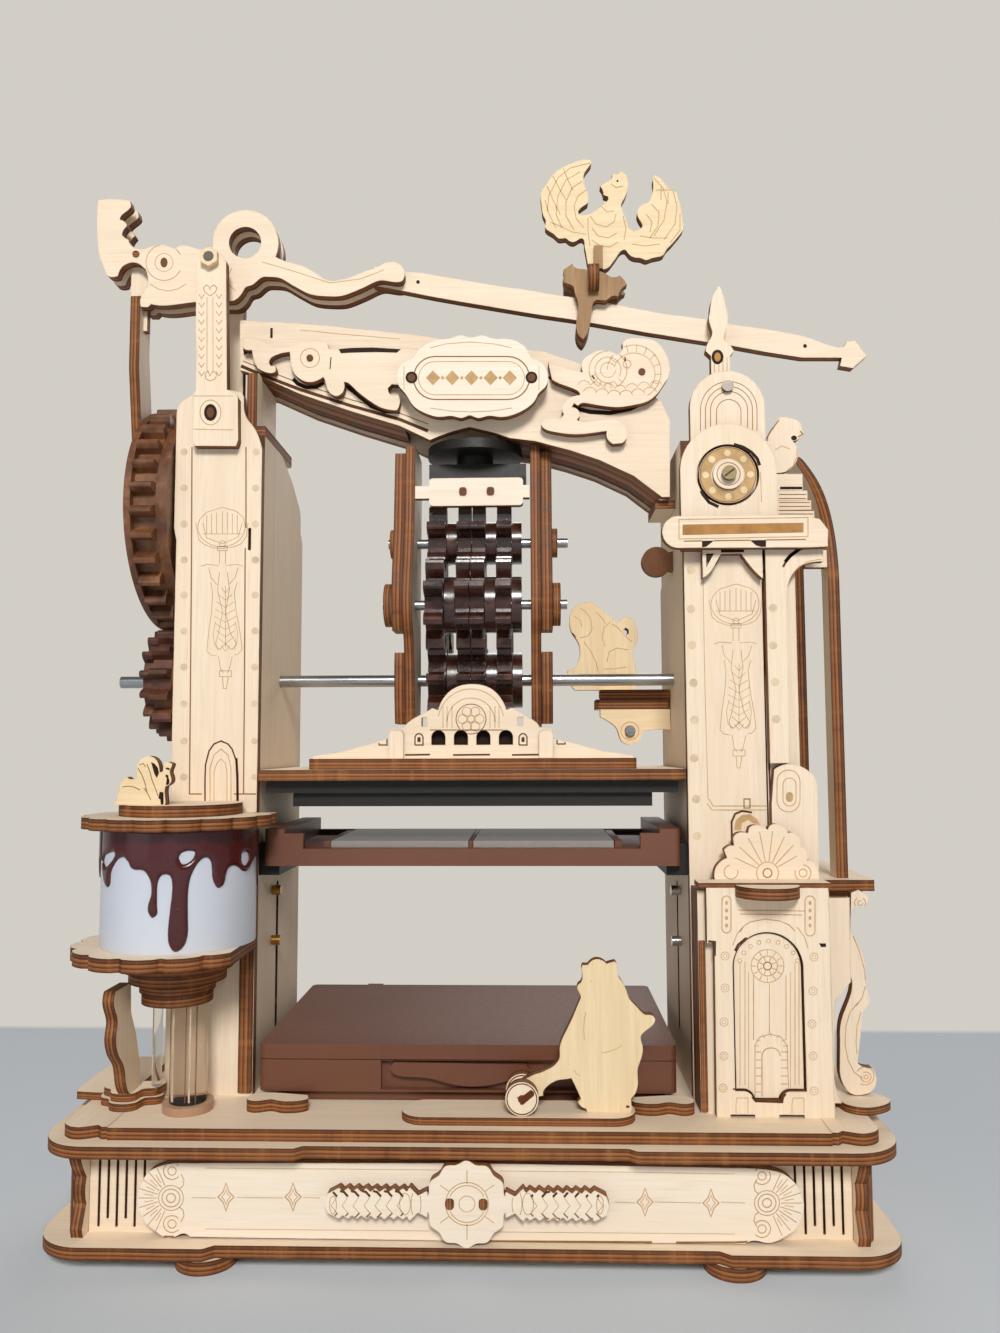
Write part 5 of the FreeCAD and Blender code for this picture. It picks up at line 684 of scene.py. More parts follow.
    ('s', 'base_front_panel', 'frame', 'LINE', 5.3, 0.26, False, [(70.91, 11.36), (71.33, 11.72), (71.84, 11.97), (72.39, 12.08), (72.94, 12.05), (73.46, 11.87), (73.91, 11.56), (74.25, 11.14), (74.46, 10.64), (74.52, 10.11), (74.43, 9.57), (74.2, 9.08), (73.84, 8.65), (73.38, 8.33), (72.85, 8.14), (72.29, 8.1), (71.75, 8.19), (71.25, 8.43), (70.85, 8.79)]),
    ('s', 'base_front_panel', 'frame', 'LINE', 5.3, 0.24, True, [(73.48, 10.1), (73.33, 9.6), (72.95, 9.24), (72.44, 9.1), (71.93, 9.23), (71.57, 9.59), (71.44, 10.08), (71.59, 10.57), (71.97, 10.94), (72.48, 11.08), (72.99, 10.95), (73.35, 10.59)]),
    ('s', 'base_front_panel', 'frame', 'LINE', 5.3, 0.24, False, [(71.52, 21.86), (70.76, 20.44), (70.97, 19.02), (71.93, 18.32)]),
    ('s', 'base_front_panel', 'frame', 'LINE', 5.3, 0.24, False, [(71.26, 10.55), (70.56, 11.95), (70.84, 13.36), (71.83, 14.08)]),
    # painted shade: these three strips along the panel's bottom stand in for the shadow in the gap above the base plate
    ('s', 'base_front_panel', 'frame', 'MID', 5.3, 0.45, False, [(-78.7, 6.76), (-66.14, 6.66), (-50.62, 6.44)]),
    ('s', 'base_front_panel', 'frame', 'MID', 5.3, 0.45, False, [(-45.38, 6.41), (-11.35, 6.45), (23.13, 6.59), (45.64, 6.7)]),
    ('s', 'base_front_panel', 'frame', 'MID', 5.3, 0.45, False, [(51.49, 6.71), (65.83, 6.87), (71.91, 7.27)]),
    ('s', 'base_front_panel', 'frame', 'LINE', 5.3, 0.14, False, [(-65.22, 23.25), (-33.84, 23.29), (-6.43, 23.3)]),
    ('s', 'base_front_panel', 'frame', 'LINE', 5.3, 0.14, False, [(8.45, 23.19), (38.04, 23.22), (66.19, 23)]),
    ('s', 'base_front_panel', 'frame', 'LINE', 5.3, 0.14, False, [(-64.93, 8.63), (-33.7, 8.72), (-8.88, 8.75)]),
    ('s', 'base_front_panel', 'frame', 'LINE', 5.3, 0.14, False, [(8.4, 8.7), (37.85, 8.78), (65.88, 8.84)]),
    ('s', 'base_medallion', 'frame', 'LINE', 2.3, 0.22, True, [(5.71, 16.59), (5.59, 15.54), (5.25, 14.54), (4.7, 13.62), (3.97, 12.83), (3.08, 12.2), (2.07, 11.76), (1, 11.53), (-0.1, 11.52), (-1.17, 11.73), (-2.17, 12.14), (-3.06, 12.75), (-3.8, 13.53), (-4.35, 14.44), (-4.69, 15.44), (-4.8, 16.49), (-4.69, 17.54), (-4.35, 18.55), (-3.8, 19.47), (-3.06, 20.27), (-2.17, 20.9), (-1.17, 21.34), (-0.09, 21.57), (1.01, 21.58), (2.09, 21.37), (3.09, 20.95), (3.98, 20.33), (4.71, 19.55), (5.26, 18.64), (5.6, 17.64)]),
    ('s', 'base_medallion', 'frame', 'LINE', 2.3, 0.22, True, [(4.98, 16.59), (4.88, 15.68), (4.58, 14.82), (4.11, 14.02), (3.48, 13.34), (2.71, 12.8), (1.85, 12.43), (0.93, 12.23), (-0.02, 12.22), (-0.94, 12.4), (-1.81, 12.76), (-2.57, 13.28), (-3.2, 13.95), (-3.68, 14.73), (-3.97, 15.59), (-4.07, 16.5), (-3.97, 17.4), (-3.68, 18.27), (-3.2, 19.06), (-2.57, 19.75), (-1.8, 20.29), (-0.94, 20.67), (-0.01, 20.87), (0.93, 20.87), (1.86, 20.69), (2.72, 20.33), (3.49, 19.8), (4.12, 19.13), (4.59, 18.35), (4.88, 17.49)]),
    ('s', 'base_medallion', 'frame', 'LINE', 2.3, 0.2, True, [(2.41, 16.56), (2.29, 15.92), (1.95, 15.35), (1.43, 14.92), (0.8, 14.69), (0.12, 14.69), (-0.52, 14.9), (-1.04, 15.32), (-1.38, 15.88), (-1.5, 16.52), (-1.38, 17.17), (-1.04, 17.73), (-0.52, 18.16), (0.12, 18.39), (0.8, 18.4), (1.44, 18.18), (1.96, 17.76), (2.3, 17.2)]),
    ('s', 'base_medallion', 'frame', 'LINE', 2.3, 0.22, False, [(0.46, 24.55), (0.46, 21.25)]),
    ('s', 'base_medallion', 'frame', 'LINE', 2.3, 0.22, False, [(0.45, 11.85), (0.45, 8.1)]),
    ('s', 'base_medallion', 'frame', 'LINE', 2.3, 0.2, False, [(4.85, 13.62), (7.05, 12.17)]),
    ('s', 'base_medallion', 'frame', 'LINE', 2.3, 0.2, False, [(-3.95, 13.53), (-6.15, 12.03)]),
    ('s', 'base_medallion', 'frame', 'LINE', 2.3, 0.2, False, [(-3.95, 19.47), (-6.16, 20.93)]),
    ('s', 'base_medallion', 'frame', 'LINE', 2.3, 0.2, False, [(4.87, 19.55), (7.07, 21.06)]),
    ('s', 'base_medallion', 'frame', 'BURN', 2.3, 0.55, False, [(-33.45, 19.27), (-32.46, 19.05), (-31.47, 17.99)]),
    ('s', 'base_medallion', 'frame', 'MID', 2.3, 0.34, False, [(-33.14, 12.79), (-32.41, 13.03), (-31.31, 14.1)]),
    ('s', 'base_medallion', 'frame', 'LINE', 2.3, 0.16, False, [(-31.47, 17.88), (-32.92, 15.74), (-31.43, 14.1)]),
    ('s', 'base_medallion', 'frame', 'BURN', 2.3, 0.55, False, [(34.1, 19.8), (33.12, 19.56), (32.14, 18.5)]),
    ('s', 'base_medallion', 'frame', 'MID', 2.3, 0.34, False, [(33.78, 13.36), (33.05, 13.59), (31.97, 14.63)]),
    ('s', 'base_medallion', 'frame', 'LINE', 2.3, 0.16, False, [(32.14, 18.38), (33.57, 16.4), (32.1, 14.63)]),
    ('s', 'base_medallion', 'frame', 'BURN', 2.3, 0.55, False, [(-30.74, 19.3), (-29.75, 19.07), (-28.76, 18.02)]),
    ('s', 'base_medallion', 'frame', 'MID', 2.3, 0.34, False, [(-30.43, 12.82), (-29.7, 13.06), (-28.6, 14.13)]),
    ('s', 'base_medallion', 'frame', 'LINE', 2.3, 0.16, False, [(-28.76, 17.9), (-30.21, 15.76), (-28.72, 14.13)]),
    ('s', 'base_medallion', 'frame', 'BURN', 2.3, 0.55, False, [(31.42, 19.78), (30.45, 19.53), (29.47, 18.47)]),
    ('s', 'base_medallion', 'frame', 'MID', 2.3, 0.34, False, [(31.11, 13.34), (30.39, 13.56), (29.31, 14.6)]),
    ('s', 'base_medallion', 'frame', 'LINE', 2.3, 0.16, False, [(29.47, 18.35), (30.9, 16.38), (29.43, 14.61)]),
    ('s', 'base_medallion', 'frame', 'BURN', 2.3, 0.55, False, [(-28.03, 19.33), (-27.04, 19.1), (-26.05, 18.05)]),
    ('s', 'base_medallion', 'frame', 'MID', 2.3, 0.34, False, [(-27.73, 12.84), (-26.99, 13.09), (-25.89, 14.16)]),
    ('s', 'base_medallion', 'frame', 'LINE', 2.3, 0.16, False, [(-26.05, 17.93), (-27.51, 15.79), (-26.02, 14.16)]),
    ('s', 'base_medallion', 'frame', 'BURN', 2.3, 0.55, False, [(28.75, 19.75), (27.78, 19.51), (26.79, 18.44)]),
    ('s', 'base_medallion', 'frame', 'MID', 2.3, 0.34, False, [(28.44, 13.31), (27.72, 13.54), (26.64, 14.58)]),
    ('s', 'base_medallion', 'frame', 'LINE', 2.3, 0.16, False, [(26.79, 18.33), (28.23, 16.35), (26.76, 14.58)]),
    ('s', 'base_medallion', 'frame', 'BURN', 2.3, 0.55, False, [(-25.32, 19.35), (-24.33, 19.13), (-23.34, 18.07)]),
    ('s', 'base_medallion', 'frame', 'MID', 2.3, 0.34, False, [(-25.02, 12.87), (-24.29, 13.12), (-23.19, 14.19)]),
    ('s', 'base_medallion', 'frame', 'LINE', 2.3, 0.16, False, [(-23.34, 17.95), (-24.8, 15.82), (-23.31, 14.18)]),
    ('s', 'base_medallion', 'frame', 'BURN', 2.3, 0.55, False, [(26.08, 19.73), (25.1, 19.48), (24.12, 18.42)]),
    ('s', 'base_medallion', 'frame', 'MID', 2.3, 0.34, False, [(25.78, 13.28), (25.05, 13.51), (23.97, 14.55)]),
    ('s', 'base_medallion', 'frame', 'LINE', 2.3, 0.16, False, [(24.12, 18.3), (25.56, 16.32), (24.09, 14.55)]),
    ('s', 'base_medallion', 'frame', 'BURN', 2.3, 0.55, False, [(-22.61, 19.38), (-21.62, 19.15), (-20.63, 18.1)]),
    ('s', 'base_medallion', 'frame', 'MID', 2.3, 0.34, False, [(-22.32, 12.9), (-21.59, 13.14), (-20.49, 14.21)]),
    ('s', 'base_medallion', 'frame', 'LINE', 2.3, 0.16, False, [(-20.63, 17.98), (-22.1, 15.85), (-20.61, 14.21)]),
    ('s', 'base_medallion', 'frame', 'BURN', 2.3, 0.55, False, [(23.4, 19.7), (22.43, 19.46), (21.44, 18.39)]),
    ('s', 'base_medallion', 'frame', 'MID', 2.3, 0.34, False, [(23.1, 13.25), (22.38, 13.48), (21.29, 14.52)]),
    ('s', 'base_medallion', 'frame', 'LINE', 2.3, 0.16, False, [(21.44, 18.27), (22.89, 16.29), (21.41, 14.52)]),
    ('s', 'base_medallion', 'frame', 'BURN', 2.3, 0.55, False, [(-19.9, 19.4), (-18.92, 19.18), (-17.93, 18.13)]),
    ('s', 'base_medallion', 'frame', 'MID', 2.3, 0.34, False, [(-19.62, 12.93), (-18.89, 13.17), (-17.79, 14.24)]),
    ('s', 'base_medallion', 'frame', 'LINE', 2.3, 0.16, False, [(-17.93, 18.01), (-19.39, 15.87), (-17.91, 14.24)]),
    ('s', 'base_medallion', 'frame', 'BURN', 2.3, 0.55, False, [(20.72, 19.68), (19.75, 19.43), (18.77, 18.36)]),
    ('s', 'base_medallion', 'frame', 'MID', 2.3, 0.34, False, [(20.43, 13.23), (19.7, 13.45), (18.62, 14.5)]),
    ('s', 'base_medallion', 'frame', 'LINE', 2.3, 0.16, False, [(18.76, 18.25), (20.21, 16.27), (18.74, 14.5)]),
    ('s', 'base_medallion', 'frame', 'BURN', 2.3, 0.55, False, [(-17.2, 19.43), (-16.21, 19.2), (-15.23, 18.15)]),
    ('s', 'base_medallion', 'frame', 'MID', 2.3, 0.34, False, [(-16.92, 12.96), (-16.19, 13.2), (-15.09, 14.27)]),
    ('s', 'base_medallion', 'frame', 'LINE', 2.3, 0.16, False, [(-15.23, 18.03), (-16.69, 15.9), (-15.21, 14.27)]),
    ('s', 'base_medallion', 'frame', 'BURN', 2.3, 0.55, False, [(18.04, 19.65), (17.07, 19.41), (16.09, 18.34)]),
    ('s', 'base_medallion', 'frame', 'MID', 2.3, 0.34, False, [(17.76, 13.2), (17.03, 13.43), (15.94, 14.47)]),
    ('s', 'base_medallion', 'frame', 'LINE', 2.3, 0.16, False, [(16.08, 18.22), (17.53, 16.24), (16.06, 14.47)]),
    ('s', 'base_medallion', 'frame', 'LINE', 2.3, 0.2, True, [(-13.38, 16.4), (-13.51, 15.28), (-13.88, 14.37), (-14.42, 13.87), (-15.02, 13.86), (-15.56, 14.36), (-15.94, 15.25), (-16.08, 16.38), (-15.95, 17.5), (-15.58, 18.41), (-15.04, 18.91), (-14.44, 18.92), (-13.9, 18.42), (-13.52, 17.53)]),
    ('s', 'base_medallion', 'frame', 'LINE', 2.3, 0.2, True, [(16.68, 16.7), (16.55, 15.58), (16.17, 14.68), (15.63, 14.18), (15.03, 14.17), (14.5, 14.66), (14.13, 15.56), (14, 16.68), (14.14, 17.8), (14.52, 18.7), (15.06, 19.2), (15.66, 19.21), (16.19, 18.72), (16.56, 17.82)]),
    ('s', 'base_medallion', 'frame', 'LINE', 2.3, 0.2, True, [(-10.81, 16.43), (-10.92, 15), (-11.26, 13.85), (-11.75, 13.21), (-12.29, 13.2), (-12.79, 13.83), (-13.13, 14.98), (-13.26, 16.4), (-13.14, 17.84), (-12.8, 18.99), (-12.31, 19.63), (-11.77, 19.63), (-11.27, 19), (-10.93, 17.86)]),
    ('s', 'base_medallion', 'frame', 'LINE', 2.3, 0.2, True, [(13.88, 16.67), (13.76, 15.25), (13.41, 14.1), (12.92, 13.47), (12.38, 13.46), (11.89, 14.09), (11.56, 15.23), (11.45, 16.65), (11.57, 18.08), (11.92, 19.23), (12.41, 19.87), (12.95, 19.87), (13.44, 19.24), (13.77, 18.1)]),
    ('s', 'base_medallion', 'frame', 'LINE', 2.3, 0.2, True, [(-31.57, 15.99), (-31.68, 14.92), (-31.99, 14.14), (-32.41, 13.86), (-32.85, 14.14), (-33.17, 14.91), (-33.3, 15.97), (-33.19, 17.03), (-32.88, 17.81), (-32.45, 18.1), (-32.02, 17.82), (-31.7, 17.05)]),
    ('s', 'base_medallion', 'frame', 'LINE', 2.3, 0.2, True, [(33.69, 16.64), (33.57, 15.58), (33.25, 14.81), (32.82, 14.52), (32.4, 14.8), (32.1, 15.57), (32, 16.62), (32.12, 17.67), (32.44, 18.45), (32.87, 18.74), (33.29, 18.46), (33.59, 17.69)]),
    ('s', 'bear_figure', 'frame', 'LINE', 12.2, 0.16, False, [(31.65, 68.12), (31.97, 67.49)]),
    ('s', 'bear_figure', 'frame', 'LINE', 12.2, 0.16, False, [(28.17, 66.73), (28.94, 66.35)]),
    ('s', 'bear_figure', 'frame', 'LINE', 12.2, 0.16, False, [(30.41, 59.96), (29.93, 57.96), (29.75, 55.46), (29.93, 52.96)]),
    ('s', 'bear_figure', 'frame', 'LINE', 12.2, 0.16, False, [(34.38, 49.75), (36.17, 50.11), (37.96, 50.77), (39.5, 51.77)]),
    ('s', 'bear_figure', 'frame', 'LINE', 12.2, 0.16, False, [(27.21, 45.49), (27.81, 44.6), (28.72, 44.01)]),
    ('s', 'bear_figure', 'frame', 'BURN', 12.2, 0.55, False, [(40.32, 36.54), (41.2, 36.48)]),
    ('s', 'bear_figure', 'frame', 'DARK', 12.2, 0.7, False, [(44.74, 53.54), (45.35, 51.3)]),
    ('s', 'left_tower_front', 'frame', 'MID', 28.5, 0.36, False, [(-80.24, 214.09), (-79.7, 181.21), (-79.28, 146.93), (-78.89, 114.96)]),
    ('s', 'left_tower_front', 'frame', 'MID', 28.5, 0.36, False, [(-64.58, 213.89), (-64.19, 190.3)]),
    ('s', 'left_tower_front', 'frame', 'MID', 28.5, 0.36, False, [(-64.33, 184.52), (-63.9, 146.84), (-63.65, 114.92)]),
    ('s', 'left_tower_front', 'frame', 'MID', 28.5, 0.34, False, [(-78.89, 114.96), (-75.36, 114.95)]),
    ('s', 'left_tower_front', 'frame', 'MID', 28.5, 0.34, False, [(-66.33, 114.93), (-60.13, 114.92)]),
    ('p', 'left_tower_front', 'frame', 'RIV', 28.5, 0.02, True, [(-81.46, 212.64), (-81.56, 212.17), (-81.85, 211.8), (-82.28, 211.59), (-82.75, 211.6), (-83.19, 211.81), (-83.5, 212.2), (-83.61, 212.67), (-83.52, 213.14), (-83.23, 213.51), (-82.8, 213.72), (-82.32, 213.71), (-81.88, 213.5), (-81.58, 213.11)]),
    ('p', 'left_tower_front', 'frame', 'RIV', 28.5, 0.02, True, [(-60.59, 212.37), (-60.69, 211.91), (-60.98, 211.53), (-61.41, 211.33), (-61.88, 211.34), (-62.32, 211.55), (-62.62, 211.93), (-62.73, 212.4), (-62.63, 212.87), (-62.34, 213.24), (-61.92, 213.45), (-61.44, 213.44), (-61.01, 213.23), (-60.71, 212.85)]),
    ('p', 'left_tower_front', 'frame', 'RIV', 28.5, 0.02, True, [(-81.24, 202.11), (-81.34, 201.64), (-81.62, 201.27), (-82.05, 201.06), (-82.53, 201.07), (-82.96, 201.28), (-83.27, 201.66), (-83.38, 202.13), (-83.29, 202.6), (-83, 202.97), (-82.57, 203.17), (-82.1, 203.17), (-81.66, 202.95), (-81.36, 202.58)]),
    ('p', 'left_tower_front', 'frame', 'RIV', 28.5, 0.02, True, [(-60.49, 201.87), (-60.59, 201.4), (-60.88, 201.03), (-61.31, 200.83), (-61.78, 200.83), (-62.21, 201.04), (-62.52, 201.42), (-62.63, 201.89), (-62.53, 202.36), (-62.24, 202.73), (-61.82, 202.93), (-61.34, 202.93), (-60.91, 202.71), (-60.61, 202.33)]),
    ('p', 'left_tower_front', 'frame', 'RIV', 28.5, 0.02, True, [(-81.02, 191.63), (-81.11, 191.17), (-81.4, 190.8), (-81.83, 190.59), (-82.3, 190.6), (-82.74, 190.81), (-83.04, 191.19), (-83.16, 191.65), (-83.06, 192.12), (-82.77, 192.49), (-82.35, 192.69), (-81.87, 192.69), (-81.44, 192.48), (-81.13, 192.1)]),
    ('p', 'left_tower_front', 'frame', 'RIV', 28.5, 0.02, True, [(-60.4, 191.42), (-60.5, 190.95), (-60.78, 190.58), (-61.21, 190.38), (-61.68, 190.39), (-62.11, 190.6), (-62.41, 190.97), (-62.53, 191.44), (-62.43, 191.9), (-62.14, 192.27), (-61.71, 192.47), (-61.24, 192.47), (-60.81, 192.26), (-60.51, 191.88)]),
    ('p', 'left_tower_front', 'frame', 'RIV', 28.5, 0.02, True, [(-80.8, 181.22), (-80.89, 180.76), (-81.18, 180.39), (-81.6, 180.19), (-82.08, 180.19), (-82.51, 180.4), (-82.81, 180.77), (-82.93, 181.24), (-82.83, 181.7), (-82.55, 182.07), (-82.12, 182.27), (-81.65, 182.27), (-81.22, 182.06), (-80.91, 181.68)]),
    ('p', 'left_tower_front', 'frame', 'RIV', 28.5, 0.02, True, [(-60.3, 181.03), (-60.4, 180.57), (-60.69, 180.2), (-61.11, 180), (-61.58, 180), (-62.01, 180.21), (-62.31, 180.58), (-62.42, 181.05), (-62.32, 181.51), (-62.04, 181.88), (-61.61, 182.08), (-61.14, 182.07), (-60.71, 181.86), (-60.41, 181.49)]),
    ('p', 'left_tower_front', 'frame', 'RIV', 28.5, 0.02, True, [(-80.59, 171.15), (-80.68, 170.69), (-80.97, 170.32), (-81.39, 170.12), (-81.86, 170.13), (-82.29, 170.33), (-82.6, 170.71), (-82.71, 171.17), (-82.62, 171.63), (-82.33, 171.99), (-81.91, 172.2), (-81.43, 172.19), (-81, 171.98), (-80.7, 171.61)]),
    ('p', 'left_tower_front', 'frame', 'RIV', 28.5, 0.02, True, [(-60.21, 170.98), (-60.31, 170.52), (-60.59, 170.16), (-61.01, 169.96), (-61.49, 169.96), (-61.91, 170.17), (-62.21, 170.54), (-62.32, 171), (-62.23, 171.46), (-61.94, 171.83), (-61.52, 172.03), (-61.05, 172.02), (-60.62, 171.81), (-60.32, 171.44)]),
    ('p', 'left_tower_front', 'frame', 'RIV', 28.5, 0.02, True, [(-80.37, 160.85), (-80.46, 160.4), (-80.75, 160.03), (-81.17, 159.83), (-81.64, 159.83), (-82.07, 160.04), (-82.37, 160.41), (-82.49, 160.87), (-82.39, 161.33), (-82.11, 161.69), (-81.69, 161.89), (-81.21, 161.89), (-80.78, 161.68), (-80.48, 161.31)]),
    ('p', 'left_tower_front', 'frame', 'RIV', 28.5, 0.02, True, [(-60.11, 160.71), (-60.21, 160.25), (-60.5, 159.89), (-60.92, 159.69), (-61.39, 159.69), (-61.81, 159.9), (-62.11, 160.27), (-62.22, 160.72), (-62.13, 161.18), (-61.84, 161.55), (-61.42, 161.75), (-60.95, 161.74), (-60.52, 161.54), (-60.22, 161.17)]),
    ('p', 'left_tower_front', 'frame', 'RIV', 28.5, 0.02, True, [(-80.15, 150.62), (-80.25, 150.16), (-80.53, 149.8), (-80.95, 149.6), (-81.42, 149.6), (-81.85, 149.81), (-82.15, 150.17), (-82.27, 150.63), (-82.17, 151.08), (-81.89, 151.45), (-81.47, 151.65), (-81, 151.64), (-80.57, 151.44), (-80.27, 151.07)]),
    ('p', 'left_tower_front', 'frame', 'RIV', 28.5, 0.02, True, [(-60.02, 150.49), (-60.11, 150.04), (-60.4, 149.68), (-60.82, 149.48), (-61.29, 149.48), (-61.71, 149.69), (-62.01, 150.05), (-62.12, 150.51), (-62.03, 150.96), (-61.74, 151.32), (-61.32, 151.52), (-60.85, 151.52), (-60.43, 151.32), (-60.13, 150.95)]),
    ('p', 'left_tower_front', 'frame', 'RIV', 28.5, 0.02, True, [(-79.93, 140.15), (-80.03, 139.7), (-80.31, 139.34), (-80.73, 139.14), (-81.2, 139.14), (-81.62, 139.35), (-81.92, 139.71), (-82.04, 140.16), (-81.94, 140.62), (-81.66, 140.98), (-81.24, 141.18), (-80.77, 141.17), (-80.34, 140.97), (-80.04, 140.61)]),
    ('p', 'left_tower_front', 'frame', 'RIV', 28.5, 0.02, True, [(-59.92, 140.06), (-60.02, 139.61), (-60.3, 139.24), (-60.72, 139.05), (-61.19, 139.05), (-61.61, 139.25), (-61.91, 139.61), (-62.02, 140.07), (-61.92, 140.52), (-61.63, 140.88), (-61.22, 141.08), (-60.75, 141.08), (-60.33, 140.87), (-60.03, 140.51)]),
    ('p', 'left_tower_front', 'frame', 'RIV', 28.5, 0.02, True, [(-79.71, 129.75), (-79.81, 129.3), (-80.09, 128.94), (-80.51, 128.74), (-80.97, 128.75), (-81.4, 128.95), (-81.7, 129.31), (-81.81, 129.76), (-81.72, 130.21), (-81.43, 130.57), (-81.02, 130.77), (-80.55, 130.77), (-80.12, 130.56), (-79.82, 130.2)]),
    ('p', 'left_tower_front', 'frame', 'RIV', 28.5, 0.02, True, [(-59.82, 129.68), (-59.92, 129.23), (-60.2, 128.87), (-60.62, 128.67), (-61.08, 128.67), (-61.51, 128.88), (-61.8, 129.24), (-61.91, 129.69), (-61.82, 130.13), (-61.53, 130.49), (-61.12, 130.69), (-60.65, 130.69), (-60.23, 130.49), (-59.93, 130.13)]),
    ('p', 'left_tower_front', 'frame', 'RIV', 28.5, 0.02, True, [(-79.5, 119.69), (-79.59, 119.24), (-79.88, 118.88), (-80.29, 118.69), (-80.76, 118.69), (-81.18, 118.89), (-81.48, 119.25), (-81.59, 119.7), (-81.5, 120.14), (-81.22, 120.5), (-80.8, 120.7), (-80.33, 120.7), (-79.91, 120.5), (-79.61, 120.14)]),
    ('p', 'left_tower_front', 'frame', 'RIV', 28.5, 0.02, True, [(-59.73, 119.64), (-59.82, 119.19), (-60.11, 118.83), (-60.52, 118.64), (-60.99, 118.64), (-61.41, 118.84), (-61.7, 119.2), (-61.81, 119.64), (-61.72, 120.09), (-61.43, 120.45), (-61.02, 120.64), (-60.55, 120.64), (-60.13, 120.44), (-59.84, 120.08)]),
    ('s', 'left_tower_front', 'frame', 'BURN', 28.5, 0.55, False, [(-63.13, 190.29), (-63.03, 184.51)]),
    ('s', 'left_tower_front', 'frame', 'BURN', 28.5, 0.42, False, [(-74.43, 111.06), (-74.59, 118.84), (-74.53, 123.02), (-73.61, 126.93), (-72.24, 128.88), (-70.27, 129.72), (-68.27, 128.87), (-67.11, 127.47), (-65.93, 124.39), (-65.55, 118.82), (-65.42, 111.05)]),
    ('s', 'left_tower_front', 'frame', 'LINE', 28.5, 0.24, False, [(-73.02, 111.06), (-73.24, 122.18), (-72.18, 125.81), (-70.23, 127.48), (-68.22, 125.79), (-67.3, 122.16), (-67.11, 111.05)]),
    ('s', 'left_tower_front', 'frame', 'LINE', 28.5, 0.2, False, [(-71.9, 111.06), (-72.09, 121.06), (-71.29, 123.57), (-70.18, 124.68), (-69.02, 123.56), (-68.41, 121.05), (-68.23, 111.05)]),
    # painted shadow: the arch's shadow down its outer right side
    ('s', 'left_tower_front', 'frame', 'BURN', 28.5, 0.6, False, [(-65.8, 124.95), (-65.41, 120.21), (-65.14, 111.05)]),
    ('s', 'left_tower_front', 'frame', 'LINE', 28.5, 0.19, False, [(-64.52, 191.38), (-64.45, 190.69), (-64.47, 189.99), (-64.6, 189.31), (-64.82, 188.65), (-65.14, 188.01), (-65.55, 187.42), (-66.05, 186.87), (-66.62, 186.38), (-67.26, 185.95), (-67.96, 185.6), (-68.71, 185.32), (-69.5, 185.12), (-70.32, 185), (-71.14, 184.96), (-71.97, 185.01), (-72.79, 185.15), (-73.59, 185.37), (-74.35, 185.66), (-75.07, 186.03), (-75.73, 186.47), (-76.32, 186.97), (-76.84, 187.53), (-77.27, 188.13), (-77.62, 188.78), (-77.87, 189.45), (-78.02, 190.13), (-78.07, 190.83), (-78.02, 191.53)]),
    ('s', 'left_tower_front', 'frame', 'LINE', 28.5, 0.19, False, [(-78.08, 191.3), (-77.54, 193.01), (-75.59, 194.99), (-71.07, 196.37), (-67.07, 195.19), (-65.06, 193.45), (-64.45, 191.16)]),
    ('s', 'left_tower_front', 'frame', 'LINE', 28.5, 0.19, False, [(-75.58, 194.13), (-75.47, 188.71)]),
    ('s', 'left_tower_front', 'frame', 'LINE', 28.5, 0.19, False, [(-74.16, 194.48), (-74.05, 188.69)]),
    ('s', 'left_tower_front', 'frame', 'LINE', 28.5, 0.19, False, [(-72.75, 194.82), (-72.63, 188.68)]),
    ('s', 'left_tower_front', 'frame', 'LINE', 28.5, 0.19, False, [(-71.05, 195.23), (-70.93, 188.66)]),
    ('s', 'left_tower_front', 'frame', 'LINE', 28.5, 0.19, False, [(-69.62, 194.86), (-69.51, 188.65)]),
    ('s', 'left_tower_front', 'frame', 'LINE', 28.5, 0.19, False, [(-68.2, 194.48), (-68.09, 188.63)]),
    ('s', 'left_tower_front', 'frame', 'LINE', 28.5, 0.19, False, [(-66.77, 194.11), (-66.68, 188.62)]),
    ('s', 'left_tower_front', 'frame', 'LINE', 28.5, 0.19, False, [(-76.61, 188.72), (-65.54, 188.61)]),
    ('s', 'left_tower_front', 'frame', 'LINE', 28.5, 0.19, False, [(-78.66, 191.88), (-77.71, 187.02), (-75.98, 185.58), (-73.69, 184.7), (-70.85, 184.39), (-67.46, 184.93), (-65.5, 185.76), (-64.11, 187.74), (-63.61, 191.72)]),
    ('s', 'left_tower_front', 'frame', 'LINE', 28.5, 0.19, False, [(-76.67, 191.86), (-75.45, 187.57), (-70.88, 185.81), (-66.38, 187.76), (-65.31, 191.74)]),
    ('s', 'left_tower_front', 'frame', 'LINE', 28.5, 0.19, True, [(-70.03, 185.81), (-70.13, 185.38), (-70.44, 185.07), (-70.86, 184.96), (-71.29, 185.08), (-71.61, 185.39), (-71.73, 185.82), (-71.62, 186.25), (-71.32, 186.56), (-70.89, 186.67), (-70.47, 186.55), (-70.15, 186.23)]),
    ('s', 'left_tower_front', 'frame', 'LINE', 28.5, 0.19, True, [(-72.28, 184.97), (-69.44, 184.95), (-69.42, 183.81), (-72.26, 183.84)]),
    ('s', 'left_tower_front', 'frame', 'LINE', 28.5, 0.19, False, [(-71.69, 183.83), (-71.62, 180.14)]),
    ('s', 'left_tower_front', 'frame', 'LINE', 28.5, 0.19, False, [(-69.99, 183.82), (-69.92, 180.12)]),
    ('s', 'left_tower_front', 'frame', 'LINE', 28.5, 0.19, False, [(-76.99, 179.34), (-75.3, 179.89), (-71.89, 179.58)]),
    ('s', 'left_tower_front', 'frame', 'LINE', 28.5, 0.19, False, [(-69.63, 179.55), (-66.53, 179.81), (-64.82, 179.23)]),
    ('s', 'left_tower_front', 'frame', 'LINE', 28.5, 0.19, False, [(-74.71, 179.03), (-74.09, 176.2), (-72.07, 173.91)]),
